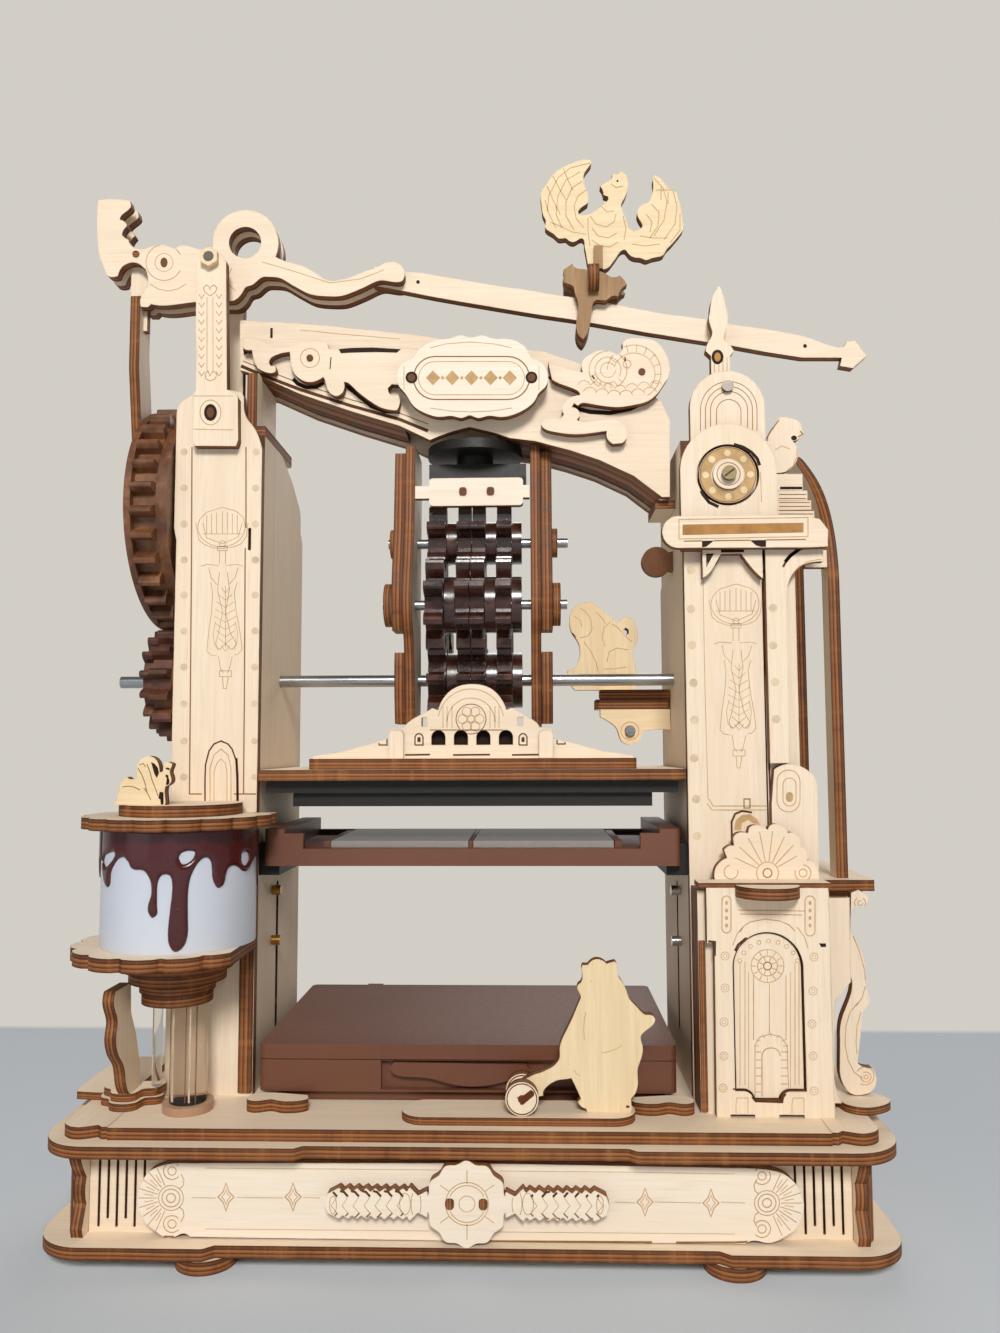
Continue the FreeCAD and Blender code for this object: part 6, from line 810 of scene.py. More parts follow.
    ('s', 'left_tower_front', 'frame', 'LINE', 28.5, 0.19, False, [(-66.23, 178.96), (-67.03, 176.13), (-68.69, 174.17)]),
    ('s', 'left_tower_front', 'frame', 'LINE', 28.5, 0.19, False, [(-74.07, 174.78), (-73.45, 171.95), (-73.62, 166.31), (-74.36, 160.69), (-74.81, 155.09), (-73.66, 153.97), (-71.97, 153.68)]),
    ('s', 'left_tower_front', 'frame', 'LINE', 28.5, 0.19, False, [(-66.44, 174.71), (-67.24, 171.9), (-66.57, 166.26), (-65.34, 160.07), (-64.71, 155.59), (-65.8, 154.2), (-66.92, 153.92)]),
    ('s', 'left_tower_front', 'frame', 'LINE', 28.5, 0.19, False, [(-71.57, 177.59), (-72.04, 172.5), (-70.52, 166.29), (-71.53, 160.11), (-72.32, 157.32), (-71.73, 155.63), (-70.89, 155.63), (-69.51, 157.3)]),
    ('s', 'left_tower_front', 'frame', 'LINE', 28.5, 0.19, False, [(-69.31, 177.57), (-68.66, 172.47), (-69.67, 166.28), (-68.15, 160.09), (-66.42, 157.28), (-66.95, 155.6), (-68.08, 155.61), (-69.51, 157.3)]),
    ('s', 'left_tower_front', 'frame', 'LINE', 28.5, 0.19, False, [(-71.41, 153.67), (-70.78, 150.04), (-69.92, 148.92)]),
    ('s', 'left_tower_front', 'frame', 'LINE', 28.5, 0.19, False, [(-67.48, 153.65), (-68.26, 150.02), (-68.8, 148.91)]),
    ('s', 'left_tower_front', 'frame', 'LINE', 28.5, 0.19, True, [(-71.05, 149.48), (-67.69, 149.46), (-67.66, 147.79), (-71.02, 147.81)]),
    ('s', 'left_tower_front', 'frame', 'LINE', 28.5, 0.19, False, [(-70.18, 147.8), (-69.84, 144.46), (-69, 144.46), (-68.5, 147.79)]),
    ('s', 'left_tower_front', 'frame', 'LINE', 28.5, 0.15, False, [(-71.07, 173.34), (-69.77, 171.64), (-68.53, 173.32)]),
    ('s', 'left_tower_front', 'frame', 'LINE', 28.5, 0.15, False, [(-71.74, 171.26), (-69.73, 169.55), (-67.79, 171.22)]),
    ('s', 'left_tower_front', 'frame', 'LINE', 28.5, 0.15, False, [(-72.29, 169.17), (-69.69, 167.46), (-67.16, 169.13)]),
    ('s', 'left_tower_front', 'frame', 'LINE', 28.5, 0.15, False, [(-72.65, 167.09), (-69.66, 165.38), (-66.73, 167.05)]),
    ('s', 'left_tower_front', 'frame', 'LINE', 28.5, 0.15, False, [(-72.75, 165.01), (-69.62, 163.3), (-66.55, 164.96)]),
    ('s', 'left_tower_front', 'frame', 'LINE', 28.5, 0.15, False, [(-72.57, 162.93), (-69.58, 161.22), (-66.65, 162.88)]),
    ('s', 'left_tower_front', 'frame', 'LINE', 28.5, 0.15, False, [(-72.13, 160.85), (-69.54, 159.15), (-67.02, 160.81)]),
    ('s', 'left_tower_front', 'frame', 'LINE', 28.5, 0.15, False, [(-71.5, 158.77), (-69.51, 157.07), (-67.57, 158.74)]),
    ('s', 'left_tower_front', 'frame', 'LINE', 28.5, 0.15, False, [(-70.76, 156.69), (-69.47, 155), (-68.23, 156.67)]),
    ('s', 'left_tower_front', 'frame', 'LINE', 28.5, 0.16, False, [(-69.81, 173.61), (-69.49, 156.18)]),
    ('s', 'left_tower_front', 'frame', 'LINE', 28.5, 0.15, False, [(-72.44, 163.49), (-73.08, 160.12), (-72.59, 156.76), (-71.17, 155.63)]),
    ('s', 'left_tower_front', 'frame', 'LINE', 28.5, 0.15, False, [(-66.81, 163.45), (-66.05, 160.07), (-66.41, 156.72), (-67.79, 155.61)]),
    ('s', 'left_tower_pillars', 'frame', 'LINE', 25.5, 0.24, False, [(-78.26, 258.16), (-77.36, 256.8), (-76.52, 258.13)]),
    ('s', 'left_tower_pillars', 'frame', 'LINE', 25.5, 0.24, False, [(-73.17, 258.07), (-72.27, 256.71), (-71.43, 258.04)]),
    ('s', 'left_tower_pillars', 'frame', 'LINE', 25.5, 0.24, False, [(-78.21, 255.6), (-77.31, 254.25), (-76.46, 255.57)]),
    ('s', 'left_tower_pillars', 'frame', 'LINE', 25.5, 0.24, False, [(-73.12, 255.51), (-72.23, 254.16), (-71.38, 255.48)]),
    ('s', 'left_tower_pillars', 'frame', 'LINE', 25.5, 0.24, False, [(-78.16, 253.04), (-77.26, 251.69), (-76.41, 253.01)]),
    ('s', 'left_tower_pillars', 'frame', 'LINE', 25.5, 0.24, False, [(-73.08, 252.95), (-72.18, 251.6), (-71.33, 252.92)]),
    ('s', 'left_tower_pillars', 'frame', 'LINE', 25.5, 0.24, False, [(-78.11, 250.49), (-77.21, 249.14), (-76.36, 250.46)]),
    ('s', 'left_tower_pillars', 'frame', 'LINE', 25.5, 0.24, False, [(-73.03, 250.4), (-72.13, 249.06), (-71.29, 250.37)]),
    ('s', 'left_tower_pillars', 'frame', 'LINE', 25.5, 0.24, False, [(-78.05, 247.94), (-77.16, 246.6), (-76.31, 247.91)]),
    ('s', 'left_tower_pillars', 'frame', 'LINE', 25.5, 0.24, False, [(-72.98, 247.86), (-72.08, 246.51), (-71.24, 247.83)]),
    ('s', 'left_tower_pillars', 'frame', 'LINE', 25.5, 0.24, False, [(-78, 245.4), (-77.11, 244.05), (-76.26, 245.37)]),
    ('s', 'left_tower_pillars', 'frame', 'LINE', 25.5, 0.24, False, [(-72.93, 245.31), (-72.04, 243.97), (-71.19, 245.28)]),
    ('s', 'left_tower_pillars', 'frame', 'LINE', 25.5, 0.24, False, [(-77.95, 242.86), (-77.06, 241.51), (-76.21, 242.83)]),
    ('s', 'left_tower_pillars', 'frame', 'LINE', 25.5, 0.24, False, [(-72.88, 242.77), (-71.99, 241.43), (-71.15, 242.75)]),
    ('s', 'left_tower_pillars', 'frame', 'LINE', 25.5, 0.24, False, [(-77.9, 240.32), (-77, 238.98), (-76.16, 240.29)]),
    ('s', 'left_tower_pillars', 'frame', 'LINE', 25.5, 0.24, False, [(-72.84, 240.24), (-71.94, 238.9), (-71.1, 240.21)]),
    ('s', 'left_tower_pillars', 'frame', 'LINE', 25.5, 0.24, False, [(-77.85, 237.78), (-76.95, 236.44), (-76.11, 237.76)]),
    ('s', 'left_tower_pillars', 'frame', 'LINE', 25.5, 0.24, False, [(-72.79, 237.7), (-71.9, 236.37), (-71.05, 237.68)]),
    ('s', 'left_tower_pillars', 'frame', 'LINE', 25.5, 0.24, False, [(-77.8, 235.25), (-76.9, 233.92), (-76.06, 235.23)]),
    ('s', 'left_tower_pillars', 'frame', 'LINE', 25.5, 0.24, False, [(-72.74, 235.17), (-71.85, 233.84), (-71.01, 235.15)]),
    ('s', 'left_tower_pillars', 'frame', 'LINE', 25.5, 0.2, False, [(-75.77, 257.22), (-75.34, 235.04)]),
    ('s', 'left_tower_pillars', 'frame', 'LINE', 25.5, 0.2, False, [(-74.03, 257.19), (-73.6, 235.01)]),
    ('s', 'left_tower_pillars', 'frame', 'LINE', 25.5, 0.28, False, [(-74.9, 257.5), (-76.38, 258.72), (-76.84, 259.92), (-76.13, 260.8), (-75.25, 260.34), (-74.94, 259.29), (-74.67, 260.33), (-73.8, 260.76), (-72.91, 259.85), (-73.33, 258.66), (-74.9, 257.5)]),
    ('s', 'left_tower_pillars', 'frame', 'LINE', 25.5, 0.28, True, [(-75.9, 234.46), (-75.05, 235.33), (-74.45, 233.85), (-73.61, 235.31), (-72.44, 234.41), (-72.99, 232.95), (-74.42, 232.38), (-75.59, 232.99)]),
    ('s', 'left_tower_pillars', 'frame', 'LINE', 25.5, 0.24, True, [(-71.07, 223.11), (-71.2, 221.99), (-71.61, 220.98), (-72.26, 220.18), (-73.1, 219.68), (-74.03, 219.51), (-74.96, 219.7), (-75.82, 220.23), (-76.5, 221.05), (-76.95, 222.07), (-77.12, 223.2), (-77, 224.33), (-76.59, 225.34), (-75.93, 226.14), (-75.1, 226.65), (-74.17, 226.81), (-73.23, 226.62), (-72.37, 226.09), (-71.69, 225.27), (-71.24, 224.24)]),
    # painted shade: the DARK disc round the peg is the shade in its hole
    ('p', 'left_tower_pillars', 'frame', 'DARK', 25.5, 0.04, True, [(-72.22, 223.13), (-72.32, 222.28), (-72.63, 221.54), (-73.12, 221), (-73.72, 220.71), (-74.37, 220.72), (-74.99, 221.02), (-75.5, 221.58), (-75.84, 222.33), (-75.97, 223.18), (-75.87, 224.03), (-75.56, 224.77), (-75.07, 225.32), (-74.47, 225.61), (-73.82, 225.6), (-73.2, 225.29), (-72.69, 224.73), (-72.35, 223.98)]),
    ('p', 'left_tower_pillars', 'frame', 'PEG', 25.5, 0.07, True, [(-73.06, 223.14), (-73.15, 222.49), (-73.43, 221.96), (-73.84, 221.67), (-74.3, 221.68), (-74.72, 221.98), (-75.02, 222.51), (-75.13, 223.17), (-75.04, 223.83), (-74.77, 224.35), (-74.36, 224.64), (-73.89, 224.63), (-73.47, 224.34), (-73.17, 223.8)]),
    ('s', 'left_tower_pillars', 'frame', 'LINE', 25.5, 0.22, False, [(-80.68, 228.08), (-67.71, 227.89)]),
    ('s', 'left_tower_pillars', 'frame', 'LINE', 25.5, 0.22, False, [(-80.48, 218.43), (-67.53, 217.97)]),
    # painted shadow: the DARK strips and patches on the beam plates and ornaments are the shadows that the lever and
    # the ornaments throw on them
    ('s', 'beam_plates', 'frame', 'DARK', 40, 0.75, False, [(-60.73, 253.9), (-60.69, 250.8)]),
    ('p', 'beam_plates', 'frame', 'DARK', 40, 0.04, True, [(-69.29, 247.84), (-66.26, 248.1), (-66.24, 246.86), (-68.95, 245.66)]),
    ('p', 'beam_plates', 'frame', 'DARK', 40, 0.04, True, [(-61.35, 242.03), (-60.04, 243.81), (-59.11, 244.62), (-57.52, 245.28), (-54.97, 246.23), (-55.07, 246.82), (-57.97, 246.93), (-59.99, 246.1), (-61.44, 244.78), (-61.89, 242.27)]),
    ('p', 'beam_plates', 'frame', 'DARK', 40, 0.04, True, [(22.27, 237.25), (25.01, 235.09), (28.57, 233.2), (32.03, 231.92), (32.27, 232.39), (29.24, 234.55), (25.71, 236.43), (22.53, 237.71)]),
    ('p', 'beam_plates', 'frame', 'DARK', 40, 0.04, True, [(-38.76, 236.03), (-37.24, 234.39), (-34.24, 231.92), (-30.53, 228.74), (-26.42, 227.07), (-21.78, 226.87), (-21.72, 227.4), (-26.07, 228.55), (-29.77, 230.04), (-33.3, 233.09), (-36.35, 235.61), (-38.47, 236.48)]),
    ('s', 'beam_plates', 'frame', 'LINE', 40, 0.22, False, [(-52.08, 253.14), (-39.96, 251.69), (-21.85, 249.85)]),
    ('s', 'beam_plates', 'frame', 'DARK', 40, 1.1, False, [(-54.01, 238.02), (-52.48, 236.46), (-50.05, 235.35), (-47.04, 235.46), (-44.64, 236.81)]),
    ('s', 'beam_plates', 'frame', 'DARK', 40, 0.8, False, [(-25.37, 231.92), (-23.87, 231.29), (-22.37, 231.73)]),
    ('s', 'beam_plates', 'frame', 'BURN', 40, 1, False, [(-69.8, 242.28), (-63.4, 239.4), (-51.85, 234.76), (-36.75, 229.64), (-21.74, 225.15), (-13.37, 221.54)]),
    ('s', 'beam_plates', 'frame', 'MID', 40, 0.3, False, [(-69.22, 243.81), (-62.82, 241.09), (-51.27, 236.45), (-36.17, 231.31), (-21.15, 226.82), (-13.37, 223.67)]),
    ('s', 'beam_plates', 'frame', 'DARK', 40, 1.3, False, [(30.33, 227.92), (34.76, 226.65), (40.66, 226.26), (46.58, 227.39), (52.52, 230.19), (56.41, 233.62)]),
    ('s', 'beam_ornaments', 'frame', 'LINE', 37, 0.24, True, [(-45.44, 243.19), (-45.57, 242.3), (-45.96, 241.49), (-46.58, 240.86), (-47.37, 240.46), (-48.25, 240.33), (-49.12, 240.49), (-49.92, 240.91), (-50.56, 241.56), (-50.97, 242.38), (-51.12, 243.28), (-50.99, 244.17), (-50.6, 244.98), (-49.98, 245.61), (-49.19, 246.01), (-48.31, 246.14), (-47.43, 245.98), (-46.63, 245.56), (-46, 244.91), (-45.59, 244.09)]),
    ('s', 'beam_ornaments', 'frame', 'DARK', 37, 0.3, False, [(-42, 243.44), (-42.13, 241.61), (-42.27, 239.78)]),
    ('p', 'beam_ornaments', 'frame', 'DARK', 37, 0.04, True, [(-43.22, 246.06), (-37.85, 246.49), (-28.9, 246.53), (-16.68, 245.6), (-18.46, 244.1), (-27.39, 244.49), (-37.83, 244.41), (-42.31, 244.24)]),
    ('s', 'beam_ornaments', 'frame', 'LINE', 37, 0.24, False, [(37.15, 233.29), (36.36, 233.87), (35.68, 234.59), (35.13, 235.42), (34.73, 236.33), (34.49, 237.3), (34.42, 238.3), (34.51, 239.29), (34.77, 240.26), (35.19, 241.16), (35.76, 241.97), (36.46, 242.67), (37.26, 243.23), (38.15, 243.64), (39.09, 243.89), (40.06, 243.96), (41.03, 243.86), (41.96, 243.58), (42.84, 243.15), (43.63, 242.56), (44.31, 241.84), (44.85, 241.01), (45.25, 240.1), (45.49, 239.12), (45.56, 238.13), (45.46, 237.13), (45.2, 236.17), (44.78, 235.27), (44.21, 234.46), (43.52, 233.77), (42.71, 233.21)]),
    ('s', 'beam_ornaments', 'frame', 'LINE', 37, 0.24, False, [(41.86, 234.79), (41.01, 234.43), (40.11, 234.29), (39.2, 234.38), (38.34, 234.68), (37.57, 235.19), (36.94, 235.87), (36.48, 236.69), (36.23, 237.59), (36.19, 238.53), (36.37, 239.45), (36.75, 240.3), (37.33, 241.03), (38.05, 241.6), (38.89, 241.98), (39.79, 242.14), (40.7, 242.07), (41.57, 241.79), (42.35, 241.29), (43, 240.63), (43.47, 239.82), (43.74, 238.92), (43.8, 237.98), (43.64, 237.06), (43.27, 236.2)]),
    ('s', 'beam_ornaments', 'frame', 'LINE', 37, 0.22, False, [(42.19, 238.18), (42.07, 237.47), (41.74, 236.83), (41.23, 236.34), (40.6, 236.03), (39.9, 235.95), (39.21, 236.1), (38.61, 236.46), (38.14, 237), (37.86, 237.66), (37.8, 238.38), (37.96, 239.08), (38.32, 239.7), (38.86, 240.16), (39.51, 240.43), (40.21, 240.47), (40.89, 240.28), (41.48, 239.88), (41.91, 239.32)]),
    ('s', 'beam_ornaments', 'frame', 'LINE', 37, 0.22, False, [(39.73, 238.32), (39.91, 239.42), (40.24, 240.49), (40.7, 241.49), (41.29, 242.43), (42, 243.27), (42.82, 244), (43.72, 244.61), (44.7, 245.09), (45.73, 245.43), (46.8, 245.62), (47.88, 245.65), (48.95, 245.54), (50.01, 245.27), (51.01, 244.86), (51.95, 244.31), (52.81, 243.63), (53.57, 242.84), (54.22, 241.95), (54.75, 240.98), (55.14, 239.94), (55.39, 238.86), (55.5, 237.75), (55.46, 236.64), (55.27, 235.54), (54.94, 234.49), (54.47, 233.49), (53.88, 232.56), (53.17, 231.72), (52.35, 231), (51.45, 230.39)]),
    ('s', 'beam_ornaments', 'frame', 'LINE', 37, 0.2, False, [(41.84, 239.15), (42.19, 239.92), (42.63, 240.64), (43.16, 241.29), (43.77, 241.86), (44.45, 242.35), (45.19, 242.73), (45.97, 243.01), (46.78, 243.18), (47.6, 243.23), (48.42, 243.18), (49.23, 243), (50.01, 242.72), (50.75, 242.33), (51.43, 241.85), (52.04, 241.27), (52.56, 240.62), (53, 239.9), (53.35, 239.13), (53.58, 238.31), (53.71, 237.47), (53.73, 236.63), (53.64, 235.78), (53.44, 234.96), (53.14, 234.17), (52.74, 233.43), (52.24, 232.75)]),
    ('s', 'beam_ornaments', 'frame', 'LINE', 37, 0.2, False, [(42.31, 240.44), (40.68, 241.76)]),
    ('s', 'beam_ornaments', 'frame', 'LINE', 37, 0.2, False, [(43.88, 242.25), (42.73, 244.12)]),
    ('s', 'beam_ornaments', 'frame', 'LINE', 37, 0.2, False, [(45.99, 243.32), (45.49, 245.52)]),
    ('s', 'beam_ornaments', 'frame', 'LINE', 37, 0.2, False, [(48.33, 243.49), (48.56, 245.75)]),
    ('s', 'beam_ornaments', 'frame', 'LINE', 37, 0.2, False, [(50.57, 242.75), (51.49, 244.77)]),
    ('s', 'beam_ornaments', 'frame', 'LINE', 37, 0.2, False, [(52.37, 241.19), (53.85, 242.74)]),
    ('s', 'beam_ornaments', 'frame', 'LINE', 37, 0.2, False, [(53.47, 239.06), (55.29, 239.94)]),
    ('s', 'beam_ornaments', 'frame', 'LINE', 37, 0.2, False, [(53.72, 236.66), (55.62, 236.79)]),
    ('s', 'beam_ornaments', 'frame', 'LINE', 37, 0.2, False, [(53.08, 234.33), (54.78, 233.75)]),
    ('s', 'beam_ornaments', 'frame', 'LINE', 37, 0.2, False, [(36.25, 236.88), (34.73, 236.33)]),
    ('s', 'beam_ornaments', 'frame', 'LINE', 37, 0.2, False, [(36.93, 235.64), (35.68, 234.59)]),
    ('s', 'beam_ornaments', 'frame', 'LINE', 37, 0.2, False, [(37.97, 234.71), (37.15, 233.29)]),
    ('s', 'beam_ornaments', 'frame', 'LINE', 37, 0.2, False, [(39.26, 234.21), (38.96, 232.58)]),
    ('s', 'beam_ornaments', 'frame', 'LINE', 37, 0.2, False, [(40.63, 234.19), (40.89, 232.55)]),
    ('s', 'beam_ornaments', 'frame', 'LINE', 37, 0.2, False, [(41.93, 234.65), (42.71, 233.21)]),
    ('s', 'beam_ornaments', 'frame', 'LINE', 37, 0.2, False, [(42.99, 235.55), (44.21, 234.46)]),
    ('s', 'beam_ornaments', 'frame', 'LINE', 37, 0.26, True, [(46.76, 239.92), (46.59, 239.32), (46.16, 238.88), (45.57, 238.73), (44.99, 238.9), (44.56, 239.35), (44.41, 239.96), (44.58, 240.56), (45.01, 241), (45.6, 241.15), (46.19, 240.98), (46.61, 240.53)]),
    ('s', 'beam_ornaments', 'frame', 'DARK', 37, 0.4, False, [(45.03, 242.07), (45.1, 240.85)]),
    ('s', 'beam_ornaments', 'frame', 'BURN', 37, 0.5, False, [(35.28, 236.62), (36, 235.56)]),
    ('s', 'beam_ornaments', 'frame', 'LINE', 37, 0.2, False, [(32.71, 231.73), (33.02, 232.29), (33.47, 232.72), (34.04, 233), (34.66, 233.09), (35.27, 232.98), (35.83, 232.69), (36.27, 232.24), (36.57, 231.67)]),
    ('s', 'beam_ornaments', 'frame', 'LINE', 37, 0.2, False, [(36.22, 231.22), (36.53, 231.78), (36.99, 232.22), (37.55, 232.5), (38.17, 232.58), (38.78, 232.48), (39.34, 232.18), (39.78, 231.73), (40.08, 231.17)]),
    ('s', 'beam_ornaments', 'frame', 'LINE', 37, 0.2, False, [(39.73, 230.72), (40.04, 231.28), (40.5, 231.72), (41.06, 231.99), (41.68, 232.08), (42.29, 231.97), (42.85, 231.68), (43.29, 231.23), (43.58, 230.67)]),
    ('s', 'beam_ornaments', 'frame', 'LINE', 37, 0.2, False, [(43.25, 230.67), (43.55, 231.23), (44.01, 231.66), (44.57, 231.94), (45.19, 232.03), (45.8, 231.92), (46.36, 231.63), (46.8, 231.18), (47.09, 230.61)]),
    ('s', 'beam_ornaments', 'frame', 'LINE', 37, 0.2, False, [(46.76, 231.07), (47.07, 231.63), (47.52, 232.06), (48.09, 232.34), (48.7, 232.43), (49.32, 232.32), (49.87, 232.03), (50.31, 231.58), (50.6, 231.01)]),
    ('s', 'beam_ornaments', 'frame', 'LINE', 37, 0.2, False, [(50.27, 231.47), (50.58, 232.03), (51.04, 232.46), (51.6, 232.74), (52.22, 232.83), (52.83, 232.72), (53.38, 232.43), (53.82, 231.98), (54.11, 231.41)]),
    ('s', 'beam_ornaments', 'frame', 'LINE', 37, 0.18, False, [(31.25, 233.98), (31.51, 234.46), (31.9, 234.84), (32.39, 235.07), (32.92, 235.15), (33.44, 235.06), (33.92, 234.81), (34.31, 234.42), (34.56, 233.93)]),
    ('s', 'beam_ornaments', 'frame', 'LINE', 37, 0.18, False, [(34.77, 233.48), (35.03, 233.96), (35.42, 234.33), (35.9, 234.57), (36.43, 234.64), (36.96, 234.55), (37.44, 234.3), (37.82, 233.92), (38.07, 233.43)]),
    ('s', 'beam_ornaments', 'frame', 'LINE', 37, 0.18, False, [(38.28, 232.97), (38.54, 233.45), (38.93, 233.83), (39.41, 234.06), (39.94, 234.14), (40.47, 234.05), (40.95, 233.8), (41.33, 233.41), (41.58, 232.93)]),
    ('s', 'beam_ornaments', 'frame', 'LINE', 37, 0.18, False, [(41.79, 232.47), (42.05, 232.95), (42.44, 233.32), (42.92, 233.56), (43.45, 233.63), (43.98, 233.54), (44.46, 233.29), (44.84, 232.91), (45.09, 232.42)]),
    ('s', 'beam_ornaments', 'frame', 'LINE', 37, 0.18, False, [(45.3, 232.87), (45.57, 233.35), (45.96, 233.72), (46.44, 233.96), (46.97, 234.03), (47.5, 233.94), (47.97, 233.69), (48.35, 233.31), (48.6, 232.82)]),
    ('s', 'beam_ornaments', 'frame', 'LINE', 37, 0.18, False, [(48.82, 233.27), (49.08, 233.75), (49.47, 234.12), (49.96, 234.36), (50.49, 234.43), (51.01, 234.34), (51.49, 234.09), (51.87, 233.71), (52.12, 233.22)]),
    ('s', 'beam_ornaments', 'frame', 'LINE', 37, 0.18, False, [(52.33, 233.67), (52.6, 234.15), (52.99, 234.52), (53.47, 234.76), (54, 234.83), (54.53, 234.74), (55, 234.49), (55.38, 234.11), (55.63, 233.62)]),
    ('s', 'beam_plaque', 'frame', 'MID', 34, 0.36, True, [(16.9, 235.03), (16.68, 233.37), (16.04, 231.83), (15.04, 230.52), (13.74, 229.51), (12.22, 228.89), (10.6, 228.7), (-10.72, 229.01), (-12.35, 229.25), (-13.88, 229.91), (-15.18, 230.96), (-16.19, 232.31), (-16.82, 233.87), (-17.04, 235.55), (-17.04, 235.55), (-16.83, 237.22), (-16.21, 238.77), (-15.21, 240.09), (-13.9, 241.1), (-12.38, 241.72), (-10.74, 241.92), (10.65, 241.58), (12.28, 241.33), (13.79, 240.67), (15.09, 239.62), (16.08, 238.27), (16.69, 236.7), (16.9, 235.03)]),
    ('s', 'beam_plaque', 'frame', 'LINE', 34, 0.22, True, [(15.44, 234.97), (15.27, 233.69), (14.78, 232.51), (14.01, 231.5), (13.01, 230.73), (11.85, 230.25), (10.61, 230.1), (-10.73, 230.41), (-11.98, 230.6), (-13.15, 231.11), (-14.15, 231.91), (-14.92, 232.95), (-15.41, 234.15), (-15.58, 235.43), (-15.58, 235.53), (-15.42, 236.81), (-14.93, 238), (-14.17, 239.01), (-13.16, 239.79), (-12, 240.26), (-10.74, 240.41), (10.65, 240.08), (11.89, 239.89), (13.05, 239.38), (14.05, 238.57), (14.81, 237.54), (15.28, 236.34), (15.44, 235.06)]),
    ('s', 'beam_plaque', 'frame', 'LINE', 34, 0.2, False, [(-19.85, 239.2), (-19.82, 231.99)]),
    ('s', 'beam_plaque', 'frame', 'LINE', 34, 0.2, False, [(19.69, 238.59), (19.64, 231.4)]),
    ('s', 'beam_plaque', 'frame', 'LINE', 34, 0.22, False, [(-12.22, 244.51), (-7.81, 245.64), (-0.47, 246.13), (6.86, 245.4), (11.83, 244.12)]),
    ('s', 'beam_plaque', 'frame', 'LINE', 34, 0.22, False, [(-12.18, 226.49), (-6.33, 225.51), (-0.49, 225.13), (5.92, 225.33), (11.75, 226.15)]),
    ('p', 'beam_plaque', 'frame', 'TAN', 34, 0.04, True, [(-13.43, 235.55), (-11.33, 237.77), (-9.21, 235.49), (-11.32, 233.27)]),
    ('p', 'beam_plaque', 'frame', 'TAN', 34, 0.04, True, [(-8.01, 235.47), (-8.1, 235.17), (-8.35, 234.99), (-8.66, 235), (-8.91, 235.18), (-9, 235.49), (-8.91, 235.78), (-8.66, 235.97), (-8.35, 235.96), (-8.1, 235.77)]),
    ('p', 'beam_plaque', 'frame', 'TAN', 34, 0.04, True, [(-7.8, 235.47), (-5.69, 237.69), (-3.58, 235.4), (-5.69, 233.19)]),
    ('p', 'beam_plaque', 'frame', 'TAN', 34, 0.04, True, [(-2.38, 235.39), (-2.48, 235.09), (-2.73, 234.91), (-3.04, 234.91), (-3.28, 235.1), (-3.38, 235.4), (-3.28, 235.7), (-3.03, 235.88), (-2.73, 235.88), (-2.48, 235.69)]),
    ('p', 'beam_plaque', 'frame', 'TAN', 34, 0.04, True, [(-2.18, 235.38), (-0.07, 237.6), (2.04, 235.32), (-0.07, 233.1)]),
    ('p', 'beam_plaque', 'frame', 'TAN', 34, 0.04, True, [(3.23, 235.3), (3.14, 235), (2.89, 234.82), (2.58, 234.83), (2.33, 235.01), (2.24, 235.32), (2.34, 235.61), (2.58, 235.8), (2.89, 235.79), (3.14, 235.6)]),
    ('p', 'beam_plaque', 'frame', 'TAN', 34, 0.04, True, [(3.44, 235.3), (5.55, 237.52), (7.65, 235.23), (5.54, 233.02)]),
    ('p', 'beam_plaque', 'frame', 'TAN', 34, 0.04, True, [(8.85, 235.22), (8.75, 234.92), (8.5, 234.74), (8.19, 234.74), (7.95, 234.93), (7.85, 235.23), (7.95, 235.53), (8.2, 235.71), (8.5, 235.71), (8.75, 235.52)]),
    ('p', 'beam_plaque', 'frame', 'TAN', 34, 0.04, True, [(9.05, 235.21), (11.16, 237.43), (13.25, 235.15), (11.14, 232.94)]),
    # painted shade: each DARK disc round a peg is the shade in its hole
    ('p', 'beam_plaque', 'frame', 'DARK', 34, 0.04, True, [(-15.87, 235.68), (-15.97, 235.06), (-16.28, 234.53), (-16.75, 234.13), (-17.32, 233.93), (-17.93, 233.94), (-18.51, 234.16), (-18.98, 234.57), (-19.29, 235.11), (-19.4, 235.73), (-19.29, 236.35), (-18.99, 236.89), (-18.52, 237.28), (-17.94, 237.49), (-17.33, 237.48), (-16.76, 237.26), (-16.29, 236.85), (-15.98, 236.3)]),
    ('p', 'beam_plaque', 'frame', 'PEG', 34, 0.07, True, [(-16.52, 235.69), (-16.63, 235.2), (-16.93, 234.8), (-17.38, 234.59), (-17.88, 234.6), (-18.33, 234.82), (-18.64, 235.23), (-18.75, 235.72), (-18.64, 236.22), (-18.33, 236.61), (-17.88, 236.82), (-17.39, 236.82), (-16.94, 236.59), (-16.63, 236.19)]),
    ('p', 'beam_plaque', 'frame', 'DARK', 34, 0.04, True, [(19.23, 235.15), (19.12, 234.54), (18.81, 234), (18.35, 233.61), (17.78, 233.4), (17.17, 233.41), (16.6, 233.63), (16.14, 234.04), (15.84, 234.59), (15.73, 235.2), (15.84, 235.81), (16.15, 236.35), (16.62, 236.74), (17.19, 236.95), (17.8, 236.94), (18.37, 236.72), (18.83, 236.31), (19.13, 235.76)]),
    ('p', 'beam_plaque', 'frame', 'PEG', 34, 0.07, True, [(18.59, 235.16), (18.48, 234.67), (18.17, 234.28), (17.72, 234.06), (17.23, 234.07), (16.79, 234.3), (16.48, 234.7), (16.37, 235.19), (16.49, 235.68), (16.8, 236.07), (17.24, 236.29), (17.74, 236.28), (18.18, 236.05), (18.48, 235.65)]),
    ('s', 'lever_sculpture', 'lever', 'LINE', 33, 0.22, False, [(-70.94, 269.42), (-72.09, 266.99), (-71.75, 264.23), (-69.63, 262.36)]),
